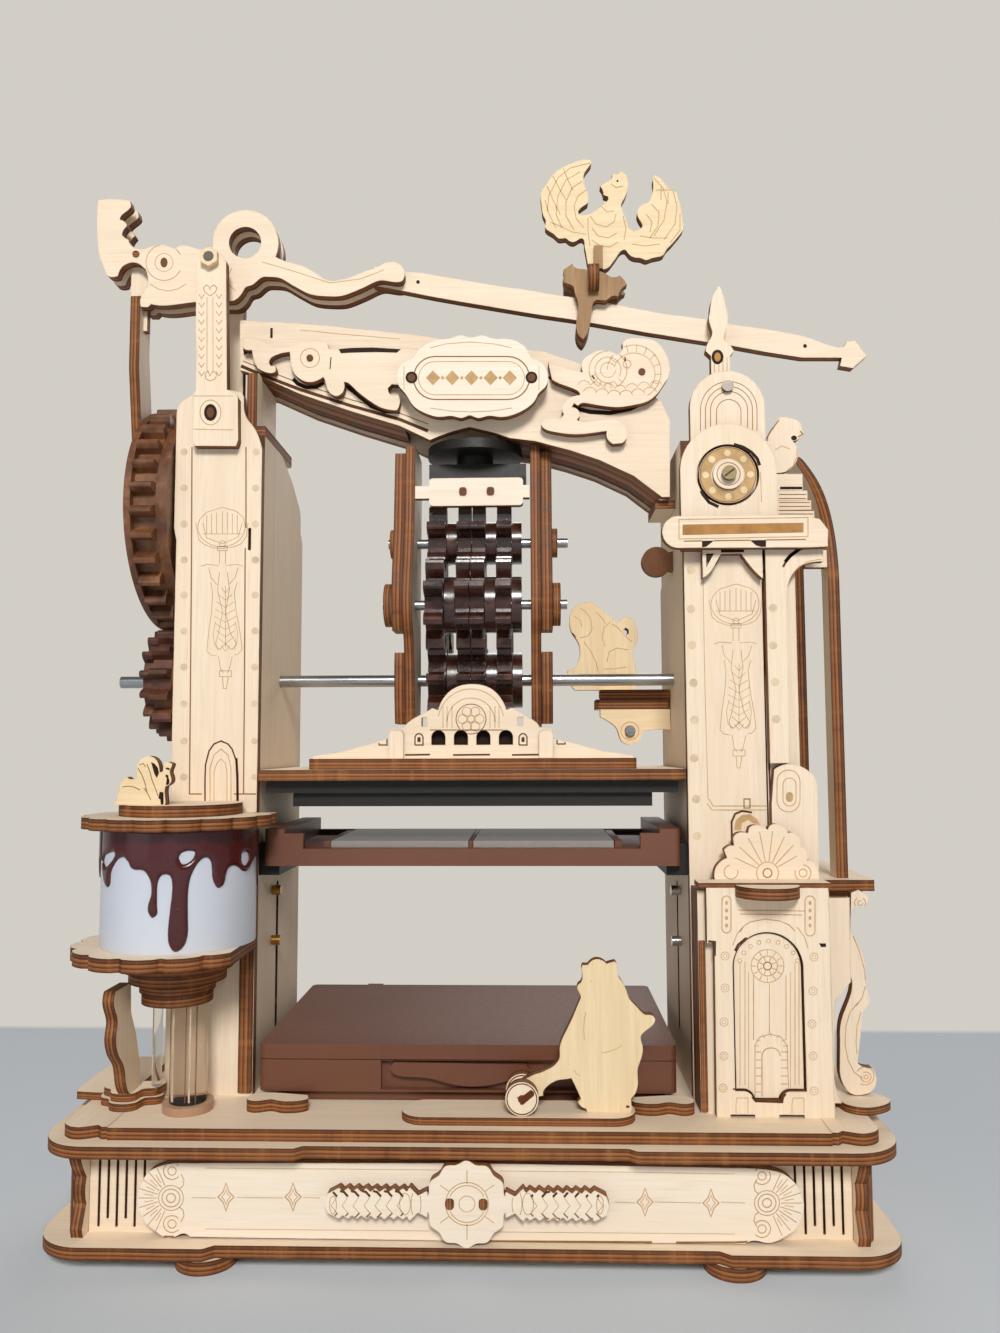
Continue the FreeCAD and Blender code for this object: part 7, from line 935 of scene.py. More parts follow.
    ('s', 'lever_sculpture', 'lever', 'LINE', 33, 0.22, False, [(-62.02, 271.09), (-53.64, 268.48), (-41.71, 264.29), (-32.84, 265.35), (-25.75, 267.96)]),
    ('p', 'lever_arm', 'lever', 'DARK', 36, 0.04, True, [(-15.47, 265.53), (-15.58, 265.19), (-15.86, 264.98), (-16.21, 264.99), (-16.49, 265.21), (-16.6, 265.55), (-16.49, 265.89), (-16.21, 266.1), (-15.86, 266.09), (-15.58, 265.88)]),
    ('p', 'lever_arm', 'lever', 'DARK', 36, 0.04, True, [(97.91, 244.14), (97.79, 243.79), (97.5, 243.57), (97.14, 243.58), (96.86, 243.8), (96.76, 244.16), (96.88, 244.51), (97.17, 244.72), (97.53, 244.72), (97.81, 244.49)]),
    ('s', 'lever_arm', 'lever', 'DARK', 36, 0.55, False, [(108.64, 245.31), (108.6, 243.81)]),
    ('s', 'eagle_figure', 'lever', 'LINE', 36, 0.24, False, [(35.32, 301.32), (29.35, 299.89), (25.75, 296.86), (23.03, 291.63), (22.4, 286.38)]),
    ('s', 'eagle_figure', 'lever', 'LINE', 36, 0.24, False, [(32.31, 298.58), (28.12, 296.18), (25.7, 291.27), (25.06, 285.71), (26.81, 281.35)]),
    ('s', 'eagle_figure', 'lever', 'LINE', 36, 0.24, False, [(33.48, 296.07), (29.89, 293.66), (28.06, 289.36), (28.03, 285.03), (30.36, 280.66)]),
    ('s', 'eagle_figure', 'lever', 'LINE', 36, 0.24, False, [(34.04, 292.95), (31.65, 291.14), (30.43, 288.07), (30.99, 284.35), (33.33, 281.22)]),
    ('s', 'eagle_figure', 'lever', 'LINE', 36, 0.24, False, [(21.83, 290.11), (22.99, 285.75), (25.03, 281.38)]),
    ('s', 'eagle_figure', 'lever', 'LINE', 36, 0.24, False, [(22.45, 294.44), (24.21, 290.06), (26.25, 285.68)]),
    ('s', 'eagle_figure', 'lever', 'LINE', 36, 0.24, False, [(24.26, 297.51), (26.31, 293.12), (28.07, 289.98)]),
    ('s', 'eagle_figure', 'lever', 'LINE', 36, 0.24, False, [(27.26, 299.94), (28.72, 296.17), (30.18, 293.03)]),
    ('s', 'eagle_figure', 'lever', 'LINE', 36, 0.24, False, [(23.26, 283.27), (26.22, 281.98), (29.76, 280.05), (33.9, 279.36)]),
    ('s', 'eagle_figure', 'lever', 'LINE', 36, 0.24, False, [(54.25, 296.24), (56.86, 293.09), (57.97, 288.73), (56.99, 283.2), (53.97, 278.34)]),
    ('s', 'eagle_figure', 'lever', 'LINE', 36, 0.24, False, [(54.78, 292.51), (59.8, 292.4), (60.9, 287.44), (60.21, 281.91), (56.89, 277.06)]),
    ('s', 'eagle_figure', 'lever', 'LINE', 36, 0.24, False, [(53.24, 288.21), (55.56, 285.7), (55.2, 281.39), (52.78, 277.75)]),
    ('s', 'eagle_figure', 'lever', 'LINE', 36, 0.24, False, [(61.74, 284.95), (61.65, 280.03), (58.64, 276.1)]),
    ('s', 'eagle_figure', 'lever', 'LINE', 36, 0.24, False, [(58.32, 291.82), (58.26, 288.11)]),
    ('s', 'eagle_figure', 'lever', 'LINE', 36, 0.24, False, [(56.28, 293.72), (56.21, 289.39)]),
    ('s', 'eagle_figure', 'lever', 'LINE', 36, 0.24, False, [(51.71, 285.16), (53.45, 282.66), (52.81, 279.6)]),
    ('s', 'eagle_figure', 'lever', 'LINE', 36, 0.24, False, [(49.84, 278.42), (53.37, 277.74), (58.08, 277.65)]),
    ('s', 'eagle_figure', 'lever', 'LINE', 36, 0.24, False, [(47.45, 276.01), (51.27, 275.33), (55.7, 275.85)]),
    ('s', 'eagle_figure', 'lever', 'LINE', 36, 0.24, False, [(35.14, 284.88), (36.89, 282.38), (39.84, 281.39), (42.22, 282.89), (42.85, 285.34)]),
    ('s', 'eagle_figure', 'lever', 'LINE', 36, 0.24, False, [(35.7, 281.17), (37.44, 278.67), (40.39, 278), (43.07, 279.48)]),
    ('s', 'eagle_figure', 'lever', 'LINE', 36, 0.24, False, [(35.66, 277.47), (38, 275.58), (40.95, 275.22), (43.33, 276.71)]),
    ('s', 'eagle_figure', 'lever', 'LINE', 36, 0.24, False, [(38.44, 287.9), (40.19, 286.01), (42.27, 286.28)]),
    ('s', 'eagle_figure', 'lever', 'LINE', 36, 0.24, False, [(44.91, 284.68), (45.75, 280.97), (45.11, 277.29)]),
    ('s', 'eagle_figure', 'lever', 'LINE', 36, 0.24, False, [(34.54, 284.28), (34.5, 279.96), (35.05, 275.64)]),
    ('s', 'eagle_figure', 'lever', 'TAN', 36, 0.3, False, [(41.48, 294.65), (42.95, 293.54), (45.03, 293.96)]),
    ('p', 'eagle_figure', 'lever', 'DARK', 36, 0.04, True, [(43.75, 295.54), (43.65, 295.3), (43.42, 295.2), (43.19, 295.31), (43.09, 295.55), (43.19, 295.79), (43.42, 295.88), (43.65, 295.78)]),
    ('s', 'platen_facade', 'platen', 'LINE', 34, 0.22, True, [(3.42, 135.72), (3.24, 135.07), (2.76, 134.59), (2.11, 134.42), (1.45, 134.6), (0.97, 135.08), (0.8, 135.73), (0.98, 136.38), (1.46, 136.86), (2.11, 137.03), (2.77, 136.85), (3.24, 136.37)]),
    ('s', 'platen_facade', 'platen', 'LINE', 34, 0.22, True, [(2.2, 133.63), (2.03, 132.98), (1.55, 132.51), (0.89, 132.33), (0.24, 132.51), (-0.24, 132.99), (-0.41, 133.65), (-0.24, 134.3), (0.24, 134.77), (0.9, 134.95), (1.55, 134.77), (2.03, 134.29)]),
    ('s', 'platen_facade', 'platen', 'LINE', 34, 0.22, True, [(-0.21, 133.64), (-0.39, 132.99), (-0.87, 132.52), (-1.53, 132.34), (-2.18, 132.52), (-2.66, 133), (-2.83, 133.66), (-2.66, 134.31), (-2.18, 134.78), (-1.52, 134.96), (-0.87, 134.78), (-0.39, 134.3)]),
    ('s', 'platen_facade', 'platen', 'LINE', 34, 0.22, True, [(-1.42, 135.74), (-1.6, 135.09), (-2.08, 134.61), (-2.73, 134.44), (-3.39, 134.62), (-3.87, 135.1), (-4.04, 135.75), (-3.87, 136.41), (-3.39, 136.88), (-2.73, 137.05), (-2.08, 136.88), (-1.6, 136.4)]),
    ('s', 'platen_facade', 'platen', 'LINE', 34, 0.22, True, [(-0.21, 137.83), (-0.39, 137.17), (-0.87, 136.7), (-1.52, 136.53), (-2.18, 136.7), (-2.66, 137.19), (-2.83, 137.84), (-2.66, 138.49), (-2.17, 138.97), (-1.52, 139.14), (-0.86, 138.97), (-0.38, 138.48)]),
    ('s', 'platen_facade', 'platen', 'LINE', 34, 0.22, True, [(2.21, 137.82), (2.04, 137.16), (1.56, 136.69), (0.9, 136.52), (0.25, 136.69), (-0.23, 137.17), (-0.41, 137.83), (-0.23, 138.48), (0.25, 138.96), (0.9, 139.13), (1.56, 138.95), (2.04, 138.47)]),
    ('s', 'platen_facade', 'platen', 'LINE', 34, 0.26, True, [(0.66, 135.73), (0.53, 135.25), (0.17, 134.9), (-0.31, 134.77), (-0.8, 134.9), (-1.15, 135.26), (-1.28, 135.74), (-1.15, 136.22), (-0.79, 136.57), (-0.31, 136.7), (0.17, 136.57), (0.53, 136.22)]),
    ('s', 'platen_facade', 'platen', 'MID', 34, 0.26, True, [(3.96, 135.72), (3.83, 134.7), (3.47, 133.74), (2.88, 132.9), (2.11, 132.22), (1.2, 131.75), (0.2, 131.51), (-0.83, 131.51), (-1.83, 131.76), (-2.74, 132.24), (-3.51, 132.92), (-4.1, 133.77), (-4.46, 134.73), (-4.59, 135.75), (-4.46, 136.77), (-4.1, 137.74), (-3.51, 138.58), (-2.74, 139.26), (-1.82, 139.73), (-0.82, 139.97), (0.21, 139.97), (1.21, 139.72), (2.12, 139.24), (2.89, 138.55), (3.47, 137.7), (3.84, 136.74)]),
    ('s', 'platen_facade', 'platen', 'LINE', 34, 0.24, False, [(-7.15, 134.91), (-7.09, 135.8), (-6.92, 136.68), (-6.63, 137.52), (-6.24, 138.32), (-5.74, 139.06), (-5.15, 139.73), (-4.47, 140.32), (-3.73, 140.81), (-2.93, 141.21), (-2.08, 141.49), (-1.2, 141.66), (-0.3, 141.71), (0.59, 141.65), (1.47, 141.47), (2.31, 141.18), (3.12, 140.78), (3.86, 140.28), (4.53, 139.69), (5.12, 139.01), (5.61, 138.27), (6.01, 137.47), (6.29, 136.62), (6.46, 135.74), (6.52, 134.85)]),
    ('s', 'platen_facade', 'platen', 'LINE', 34, 0.24, False, [(-9.58, 136.55), (-9.37, 137.47), (-9.07, 138.35), (-8.69, 139.2), (-8.22, 140.01), (-7.67, 140.77), (-7.05, 141.47), (-6.36, 142.11), (-5.61, 142.67), (-4.81, 143.16), (-3.96, 143.56), (-3.08, 143.88), (-2.17, 144.1), (-1.24, 144.24), (-0.3, 144.28), (0.64, 144.23), (1.57, 144.08), (2.47, 143.85), (3.36, 143.52), (4.2, 143.11), (5, 142.62), (5.75, 142.05), (6.43, 141.41), (7.05, 140.7), (7.59, 139.94), (8.06, 139.12), (8.44, 138.27), (8.73, 137.38), (8.94, 136.47)]),
    ('s', 'platen_facade', 'platen', 'LINE', 34, 0.22, False, [(-8.3, 139.47), (-8.29, 133.21)]),
    ('s', 'platen_facade', 'platen', 'LINE', 34, 0.22, False, [(7.67, 139.4), (7.65, 133.15)]),
    ('s', 'platen_facade', 'platen', 'LINE', 34, 0.22, False, [(-7.15, 139.47), (-7.15, 133.21)]),
    ('s', 'platen_facade', 'platen', 'LINE', 34, 0.22, False, [(6.53, 139.4), (6.51, 133.15)]),
    ('s', 'platen_facade', 'platen', 'LINE', 34, 0.22, False, [(-5.73, 139.46), (-5.73, 133.2)]),
    ('s', 'platen_facade', 'platen', 'LINE', 34, 0.22, False, [(5.11, 139.41), (5.09, 133.16)]),
    ('s', 'platen_facade', 'platen', 'MID', 34, 0.28, False, [(-12, 132.66), (9.35, 132.57)]),
    ('s', 'platen_facade', 'platen', 'BURN', 34, 0.36, False, [(-16.27, 128.42), (-16.27, 130.69), (-15.85, 131.43), (-15.13, 131.68), (-14.42, 131.42), (-13.99, 130.68), (-13.98, 128.41), (-16.27, 128.42)]),
    ('p', 'platen_facade', 'platen', 'BURN', 34, 0.04, True, [(-15.58, 129.27), (-15.59, 130.4), (-15.13, 130.8), (-14.67, 130.4), (-14.67, 129.26)]),
    ('s', 'platen_facade', 'platen', 'BURN', 34, 0.36, False, [(13.3, 128.31), (13.32, 130.58), (13.74, 131.31), (14.45, 131.56), (15.16, 131.3), (15.58, 130.57), (15.57, 128.3), (13.3, 128.31)]),
    ('p', 'platen_facade', 'platen', 'BURN', 34, 0.04, True, [(13.99, 129.16), (13.99, 130.29), (14.45, 130.68), (14.9, 130.29), (14.9, 129.16)]),
    ('s', 'platen_facade', 'platen', 'BURN', 34, 0.36, False, [(-26.55, 128.46), (-26.56, 130.73), (-26.14, 131.47), (-25.42, 131.72), (-24.7, 131.46), (-24.27, 130.72), (-24.26, 128.45), (-26.55, 128.46)]),
    ('s', 'platen_facade', 'platen', 'BURN', 34, 0.36, False, [(24.06, 128.56), (24.08, 130.82), (24.51, 131.55), (25.22, 131.8), (25.93, 131.54), (26.35, 130.81), (26.33, 128.55), (24.06, 128.56)]),
    ('s', 'platen_facade', 'platen', 'BURN', 34, 0.5, False, [(-19.11, 125.6), (-11.98, 125.69)]),
    ('s', 'platen_facade', 'platen', 'BURN', 34, 0.5, False, [(-5.44, 125.55), (5.07, 125.63)]),
    ('s', 'platen_facade', 'platen', 'BURN', 34, 0.5, False, [(11.31, 125.5), (19.23, 125.58)]),
    ('s', 'platen_facade', 'platen', 'BURN', 34, 0.55, False, [(-13.72, 136.08), (-13.71, 134.09)]),
    ('s', 'platen_facade', 'platen', 'BURN', 34, 0.55, False, [(13.06, 136.24), (13.05, 134.26)]),
    ('s', 'right_tower_crown', 'frame', 'DARK', 31.5, 0.8, True, [(72.36, 239.47), (72.25, 238.8), (71.95, 238.22), (71.51, 237.85), (71.01, 237.72), (70.51, 237.86), (70.09, 238.25), (69.81, 238.83), (69.73, 239.51), (69.84, 240.19), (70.14, 240.76), (70.57, 241.14), (71.08, 241.27), (71.58, 241.13), (72, 240.74), (72.27, 240.15)]),
    ('p', 'right_tower_crown', 'frame', 'FIELD', 31.5, 0.04, True, [(71.96, 239.48), (71.86, 238.89), (71.59, 238.42), (71.22, 238.16), (70.81, 238.17), (70.45, 238.44), (70.21, 238.92), (70.13, 239.51), (70.23, 240.1), (70.49, 240.57), (70.87, 240.83), (71.27, 240.82), (71.64, 240.55), (71.88, 240.07)]),
    ('s', 'right_tower_crown', 'frame', 'LINE', 31.5, 0.2, False, [(70.18, 239.51), (70.1, 235.07)]),
    ('s', 'right_tower_crown', 'frame', 'LINE', 31.5, 0.2, False, [(71.47, 239.49), (71.38, 235.05)]),
    ('s', 'right_tower_crown', 'frame', 'LINE', 31.5, 0.2, False, [(72.62, 239.47), (72.52, 235.04)]),
    ('s', 'right_tower_crown', 'frame', 'LINE', 31.5, 0.2, False, [(73.76, 239.45), (73.67, 235.02)]),
    ('s', 'right_tower_front', 'frame', 'MID', 28.5, 0.2, False, [(65.25, 216.84), (65.37, 223.01), (65.37, 223.01), (65.55, 224.61), (66.04, 226.14), (66.8, 227.55), (67.82, 228.79), (69.05, 229.79), (70.44, 230.53), (71.95, 230.98), (73.51, 231.12), (75.06, 230.93), (76.55, 230.44), (77.91, 229.66), (79.09, 228.62), (80.05, 227.36), (80.76, 225.93), (81.17, 224.39), (81.29, 222.78), (81.14, 216.63)]),
    ('s', 'right_tower_front', 'frame', 'MID', 28.5, 0.2, False, [(66.67, 217.11), (66.78, 222.92), (66.78, 222.92), (66.93, 224.25), (67.34, 225.52), (67.97, 226.7), (68.82, 227.72), (69.84, 228.56), (71, 229.17), (72.25, 229.54), (73.55, 229.66), (74.84, 229.51), (76.08, 229.1), (77.21, 228.45), (78.19, 227.58), (78.99, 226.54), (79.58, 225.35), (79.93, 224.06), (80.02, 222.73), (79.89, 216.94)]),
    ('s', 'right_tower_front', 'frame', 'MID', 28.5, 0.2, False, [(68.09, 217.67), (68.19, 222.9), (68.19, 222.9), (68.31, 223.94), (68.63, 224.95), (69.13, 225.87), (69.8, 226.68), (70.6, 227.34), (71.51, 227.82), (72.5, 228.11), (73.52, 228.2), (74.54, 228.08), (75.51, 227.76), (76.4, 227.25), (77.17, 226.57), (77.8, 225.75), (78.26, 224.81), (78.54, 223.8), (78.61, 222.75), (78.5, 217.53)]),
    ('s', 'right_tower_front', 'frame', 'MID', 28.5, 0.2, False, [(69.79, 218.23), (69.87, 222.36), (69.87, 222.36), (69.95, 223.06), (70.16, 223.72), (70.49, 224.33), (70.94, 224.87), (71.47, 225.3), (72.07, 225.62), (72.72, 225.82), (73.4, 225.87), (74.07, 225.8), (74.72, 225.58), (75.31, 225.25), (75.82, 224.8), (76.24, 224.25), (76.54, 223.63), (76.72, 222.96), (76.77, 222.27), (76.68, 218.14)]),
    # painted shade in the gap round the dial, partly its burnt edge
    ('s', 'right_tower_crown', 'frame', 'DARK', 25.5, 0.7, False, [(64.24, 205.62), (64.78, 207.72), (66.27, 209.64), (68.47, 211.1), (71.09, 211.64)]),
    ('s', 'right_tower_crown', 'frame', 'DARK', 25.5, 0.9, False, [(73.94, 211.95), (76.58, 211.11), (78.77, 209.66), (80.34, 207.81), (80.96, 205.87)]),
    ('s', 'right_tower_crown', 'frame', 'DARK', 25.5, 0.9, False, [(63.84, 202.21), (64.19, 199.93), (65.04, 197.82), (66.77, 195.53), (69.35, 194.26)]),
    ('s', 'right_tower_crown', 'frame', 'LINE', 25.5, 0.2, False, [(81.16, 203.99), (81.24, 195.48)]),
    ('p', 'tower_crossbar', 'frame', 'FIELD', 22.5, 0.04, True, [(58.94, 188.56), (91.72, 188.69), (91.65, 186.27), (58.89, 185.88)]),
    ('s', 'tower_crossbar', 'frame', 'MID', 22.5, 0.22, True, [(58.94, 188.56), (91.72, 188.69), (91.65, 186.27), (58.89, 185.88)]),
    ('s', 'tower_crossbar', 'frame', 'LINE', 22.5, 0.26, True, [(57.87, 190.11), (93.12, 190.29), (92.98, 185), (57.77, 184.66)]),
    ('s', 'tower_crossbar', 'frame', 'MID', 22.5, 0.3, False, [(59.13, 184.03), (64.06, 184.07)]),
    ('s', 'tower_crossbar', 'frame', 'MID', 22.5, 0.3, False, [(67.34, 184.09), (77.17, 184.13)]),
    ('s', 'tower_crossbar', 'frame', 'MID', 22.5, 0.3, False, [(81.53, 184.14), (92.41, 184.2)]),
    ('p', 'tower_crossbar', 'frame', 'DARK', 22.5, 0.04, True, [(64.06, 184.1), (67.34, 184.12), (65.95, 183.13), (65.12, 182.41), (64.02, 182.31)]),
    ('p', 'tower_crossbar', 'frame', 'DARK', 22.5, 0.04, True, [(77.17, 184.13), (81.53, 184.14), (81.48, 182.25), (80.12, 182.24), (78.77, 182.67)]),
    ('p', 'tower_crossbar', 'frame', 'DARK', 25.5, 0.04, True, [(64.57, 184.79), (67.6, 184.76), (66.47, 183.22)]),
    ('p', 'tower_crossbar', 'frame', 'DARK', 25.5, 0.04, True, [(69.77, 182.68), (76.11, 182.71), (76.08, 181.36), (69.74, 181.34)]),
    ('s', 'tower_crossbar', 'frame', 'BURN', 25.5, 0.5, False, [(82.07, 111.24), (82.41, 109.9), (82.95, 108.55), (84.13, 107.63), (85.87, 107.04), (87.05, 105.99), (87.81, 104.24)]),
    ('s', 'tower_crossbar', 'frame', 'BURN', 25.5, 0.6, False, [(86.71, 177.14), (87.57, 178.67), (88.7, 179.92), (90.11, 181.2), (91.51, 182.08), (93.17, 182.68), (94.82, 182.95), (97.02, 183.15), (98.95, 183.19)]),
    ('s', 'tower_crossbar', 'frame', 'LINE', 25.5, 0.24, False, [(88.24, 172.66), (88.66, 174.16), (89.41, 175.33), (90.26, 176.38), (91.38, 177.38), (93.61, 178.59), (96.36, 179.12), (99.38, 179.26)]),
    ('p', 'tower_crossbar', 'frame', 'RIV', 25.5, 0.02, True, [(84.86, 165.72), (84.76, 165.26), (84.49, 164.88), (84.1, 164.62), (83.65, 164.53), (83.2, 164.63), (82.83, 164.89), (82.58, 165.28), (82.5, 165.74), (82.6, 166.19), (82.87, 166.58), (83.26, 166.84), (83.71, 166.92), (84.16, 166.83), (84.53, 166.57), (84.78, 166.18)]),
    ('p', 'tower_crossbar', 'frame', 'RIV', 25.5, 0.02, True, [(84.6, 155.46), (84.5, 155.01), (84.24, 154.62), (83.85, 154.37), (83.4, 154.28), (82.95, 154.38), (82.58, 154.64), (82.33, 155.02), (82.25, 155.48), (82.36, 155.93), (82.62, 156.32), (83.01, 156.57), (83.46, 156.66), (83.9, 156.57), (84.28, 156.31), (84.52, 155.92)]),
    ('p', 'tower_crossbar', 'frame', 'RIV', 25.5, 0.02, True, [(84.89, 145.26), (84.79, 144.81), (84.53, 144.43), (84.14, 144.17), (83.69, 144.09), (83.25, 144.18), (82.87, 144.44), (82.63, 144.82), (82.55, 145.27), (82.65, 145.73), (82.91, 146.11), (83.3, 146.36), (83.75, 146.45), (84.2, 146.36), (84.57, 146.1), (84.81, 145.71)]),
    ('p', 'tower_crossbar', 'frame', 'RIV', 25.5, 0.02, True, [(84.91, 135.12), (84.81, 134.67), (84.55, 134.29), (84.16, 134.04), (83.71, 133.95), (83.27, 134.04), (82.9, 134.3), (82.65, 134.68), (82.57, 135.13), (82.67, 135.58), (82.94, 135.96), (83.32, 136.21), (83.77, 136.3), (84.22, 136.21), (84.59, 135.95), (84.83, 135.57)]),
    ('s', 'right_tower_front', 'frame', 'BURN', 28.5, 0.6, False, [(70.3, 181.8), (68.85, 178.97), (66.86, 176.72), (65.15, 175.18)]),
    ('s', 'right_tower_front', 'frame', 'BURN', 28.5, 1, False, [(76.46, 183.16), (77.8, 180.87), (79.96, 178.02), (81.86, 176.02)]),
    ('s', 'right_tower_front', 'frame', 'BURN', 28.5, 0.55, False, [(81.83, 174.61), (81.96, 168.41), (81.96, 157.18), (82.11, 146.03), (82.25, 134.94), (82.26, 123.93), (82.33, 115.71), (82.48, 110.8), (82.98, 108.89), (84.85, 107.53), (87.55, 106.71), (88.34, 105.62), (88.83, 103.72)]),
    ('p', 'right_tower_front', 'frame', 'DARK', 28.5, 0.04, True, [(78.74, 185.41), (82.36, 185.37), (82.23, 179.98), (80.62, 182.26), (79, 184.55)]),
    ('p', 'right_tower_front', 'frame', 'RIV', 28.5, 0.02, True, [(63.04, 177.04), (62.94, 176.58), (62.68, 176.18), (62.28, 175.92), (61.82, 175.83), (61.37, 175.93), (60.98, 176.2), (60.73, 176.59), (60.65, 177.06), (60.75, 177.53), (61.01, 177.92), (61.41, 178.18), (61.87, 178.27), (62.32, 178.17), (62.71, 177.91), (62.96, 177.51)]),
    ('p', 'right_tower_front', 'frame', 'RIV', 28.5, 0.02, True, [(62.84, 166.02), (62.74, 165.56), (62.47, 165.17), (62.08, 164.91), (61.62, 164.82), (61.16, 164.92), (60.78, 165.18), (60.53, 165.58), (60.45, 166.04), (60.55, 166.5), (60.81, 166.9), (61.21, 167.16), (61.67, 167.24), (62.12, 167.15), (62.5, 166.88), (62.76, 166.49)]),
    ('p', 'right_tower_front', 'frame', 'RIV', 28.5, 0.02, True, [(62.93, 155.91), (62.83, 155.45), (62.56, 155.06), (62.17, 154.8), (61.71, 154.71), (61.26, 154.81), (60.88, 155.07), (60.62, 155.46), (60.54, 155.93), (60.64, 156.39), (60.91, 156.78), (61.3, 157.03), (61.76, 157.12), (62.21, 157.03), (62.59, 156.76), (62.84, 156.37)]),
    ('p', 'right_tower_front', 'frame', 'RIV', 28.5, 0.02, True, [(63.14, 145.3), (63.04, 144.84), (62.78, 144.45), (62.39, 144.2), (61.93, 144.11), (61.48, 144.2), (61.1, 144.46), (60.85, 144.85), (60.77, 145.31), (60.86, 145.77), (61.13, 146.15), (61.52, 146.41), (61.98, 146.5), (62.43, 146.41), (62.81, 146.15), (63.06, 145.76)]),
    ('p', 'right_tower_front', 'frame', 'RIV', 28.5, 0.02, True, [(63.22, 135.02), (63.13, 134.57), (62.86, 134.18), (62.47, 133.93), (62.02, 133.84), (61.57, 133.93), (61.19, 134.19), (60.94, 134.58), (60.85, 135.04), (60.95, 135.49), (61.22, 135.88), (61.61, 136.13), (62.06, 136.22), (62.51, 136.13), (62.89, 135.87), (63.14, 135.48)]),
    ('p', 'right_tower_front', 'frame', 'RIV', 28.5, 0.02, True, [(62.89, 124.54), (62.79, 124.09), (62.53, 123.7), (62.14, 123.45), (61.68, 123.36), (61.23, 123.45), (60.86, 123.71), (60.61, 124.09), (60.52, 124.55), (60.62, 125), (60.89, 125.38), (61.27, 125.64), (61.73, 125.73), (62.18, 125.63), (62.56, 125.38), (62.81, 124.99)]),
    ('p', 'right_tower_front', 'frame', 'RIV', 28.5, 0.02, True, [(63.22, 113.29), (63.13, 112.84), (62.86, 112.46), (62.48, 112.21), (62.02, 112.12), (61.57, 112.21), (61.2, 112.46), (60.95, 112.84), (60.87, 113.3), (60.97, 113.75), (61.23, 114.13), (61.62, 114.38), (62.07, 114.47), (62.52, 114.38), (62.89, 114.12), (63.14, 113.74)]),
    ('p', 'right_tower_front', 'frame', 'RIV', 28.5, 0.02, True, [(63.3, 103.2), (63.21, 102.76), (62.94, 102.38), (62.56, 102.12), (62.11, 102.03), (61.66, 102.12), (61.28, 102.38), (61.04, 102.76), (60.96, 103.2), (61.05, 103.65), (61.32, 104.03), (61.7, 104.28), (62.15, 104.37), (62.6, 104.28), (62.98, 104.03), (63.22, 103.65)]),
    ('p', 'right_tower_front', 'frame', 'RIV', 28.5, 0.02, True, [(85.29, 176.84), (85.19, 176.38), (84.92, 175.98), (84.53, 175.72), (84.07, 175.64), (83.62, 175.73), (83.24, 176), (82.99, 176.4), (82.91, 176.86), (83.01, 177.33), (83.28, 177.72), (83.67, 177.98), (84.13, 178.07), (84.59, 177.97), (84.97, 177.7), (85.22, 177.31)]),
    ('s', 'right_tower_front', 'frame', 'LINE', 28.5, 0.2, False, [(65.14, 174.19), (65.09, 143.34), (65.33, 113.01)]),
    ('s', 'right_tower_front', 'frame', 'LINE', 28.5, 0.2, False, [(87.49, 168.36), (87.4, 143.22), (87.18, 123.91)]),
    ('s', 'right_tower_front', 'frame', 'LINE', 28.5, 0.19, False, [(80.5, 168.07), (80.55, 167.39), (80.49, 166.7), (80.34, 166.03), (80.1, 165.37), (79.76, 164.74), (79.33, 164.16), (78.83, 163.62), (78.25, 163.13), (77.6, 162.71), (76.9, 162.36), (76.16, 162.08), (75.38, 161.88), (74.58, 161.76), (73.77, 161.72), (72.96, 161.77), (72.16, 161.9), (71.39, 162.11), (70.66, 162.4), (69.98, 162.77), (69.35, 163.2), (68.79, 163.69), (68.3, 164.24), (67.9, 164.84), (67.59, 165.47), (67.37, 166.13), (67.25, 166.81), (67.23, 167.5), (67.31, 168.18)]),
    ('s', 'right_tower_front', 'frame', 'LINE', 28.5, 0.19, False, [(67.24, 167.96), (67.83, 169.65), (69.81, 171.61), (74.29, 172.98), (78.15, 171.82), (80.06, 170.11), (80.56, 167.85)]),
    ('s', 'right_tower_front', 'frame', 'LINE', 28.5, 0.19, False, [(69.8, 170.76), (69.69, 165.41)]),
    ('s', 'right_tower_front', 'frame', 'LINE', 28.5, 0.19, False, [(71.19, 171.1), (71.07, 165.4)]),
    ('s', 'right_tower_front', 'frame', 'LINE', 28.5, 0.19, False, [(72.59, 171.44), (72.46, 165.39)]),
    ('s', 'right_tower_front', 'frame', 'LINE', 28.5, 0.19, False, [(74.27, 171.85), (74.13, 165.37)]),
    ('s', 'right_tower_front', 'frame', 'LINE', 28.5, 0.19, False, [(75.65, 171.49), (75.51, 165.36)]),
    ('s', 'right_tower_front', 'frame', 'LINE', 28.5, 0.19, False, [(77.03, 171.12), (76.9, 165.35)]),
    ('s', 'right_tower_front', 'frame', 'LINE', 28.5, 0.19, False, [(78.41, 170.76), (78.28, 165.34)]),
    ('s', 'right_tower_front', 'frame', 'LINE', 28.5, 0.19, False, [(68.58, 165.42), (79.39, 165.33)]),
    ('s', 'right_tower_front', 'frame', 'LINE', 28.5, 0.19, False, [(66.69, 168.53), (67.43, 163.74), (69.07, 162.32), (71.27, 161.46), (74.03, 161.16), (77.37, 161.7), (79.32, 162.52), (80.75, 164.48), (81.4, 168.41)]),
    ('s', 'right_tower_front', 'frame', 'LINE', 28.5, 0.19, False, [(68.64, 168.51), (69.66, 164.28), (74.06, 162.56), (78.54, 164.5), (79.74, 168.42)]),
    ('s', 'right_tower_front', 'frame', 'LINE', 28.5, 0.19, True, [(74.9, 162.56), (74.77, 162.14), (74.46, 161.83), (74.05, 161.72), (73.63, 161.84), (73.34, 162.15), (73.23, 162.57), (73.35, 162.99), (73.66, 163.3), (74.08, 163.4), (74.5, 163.29), (74.79, 162.98)]),
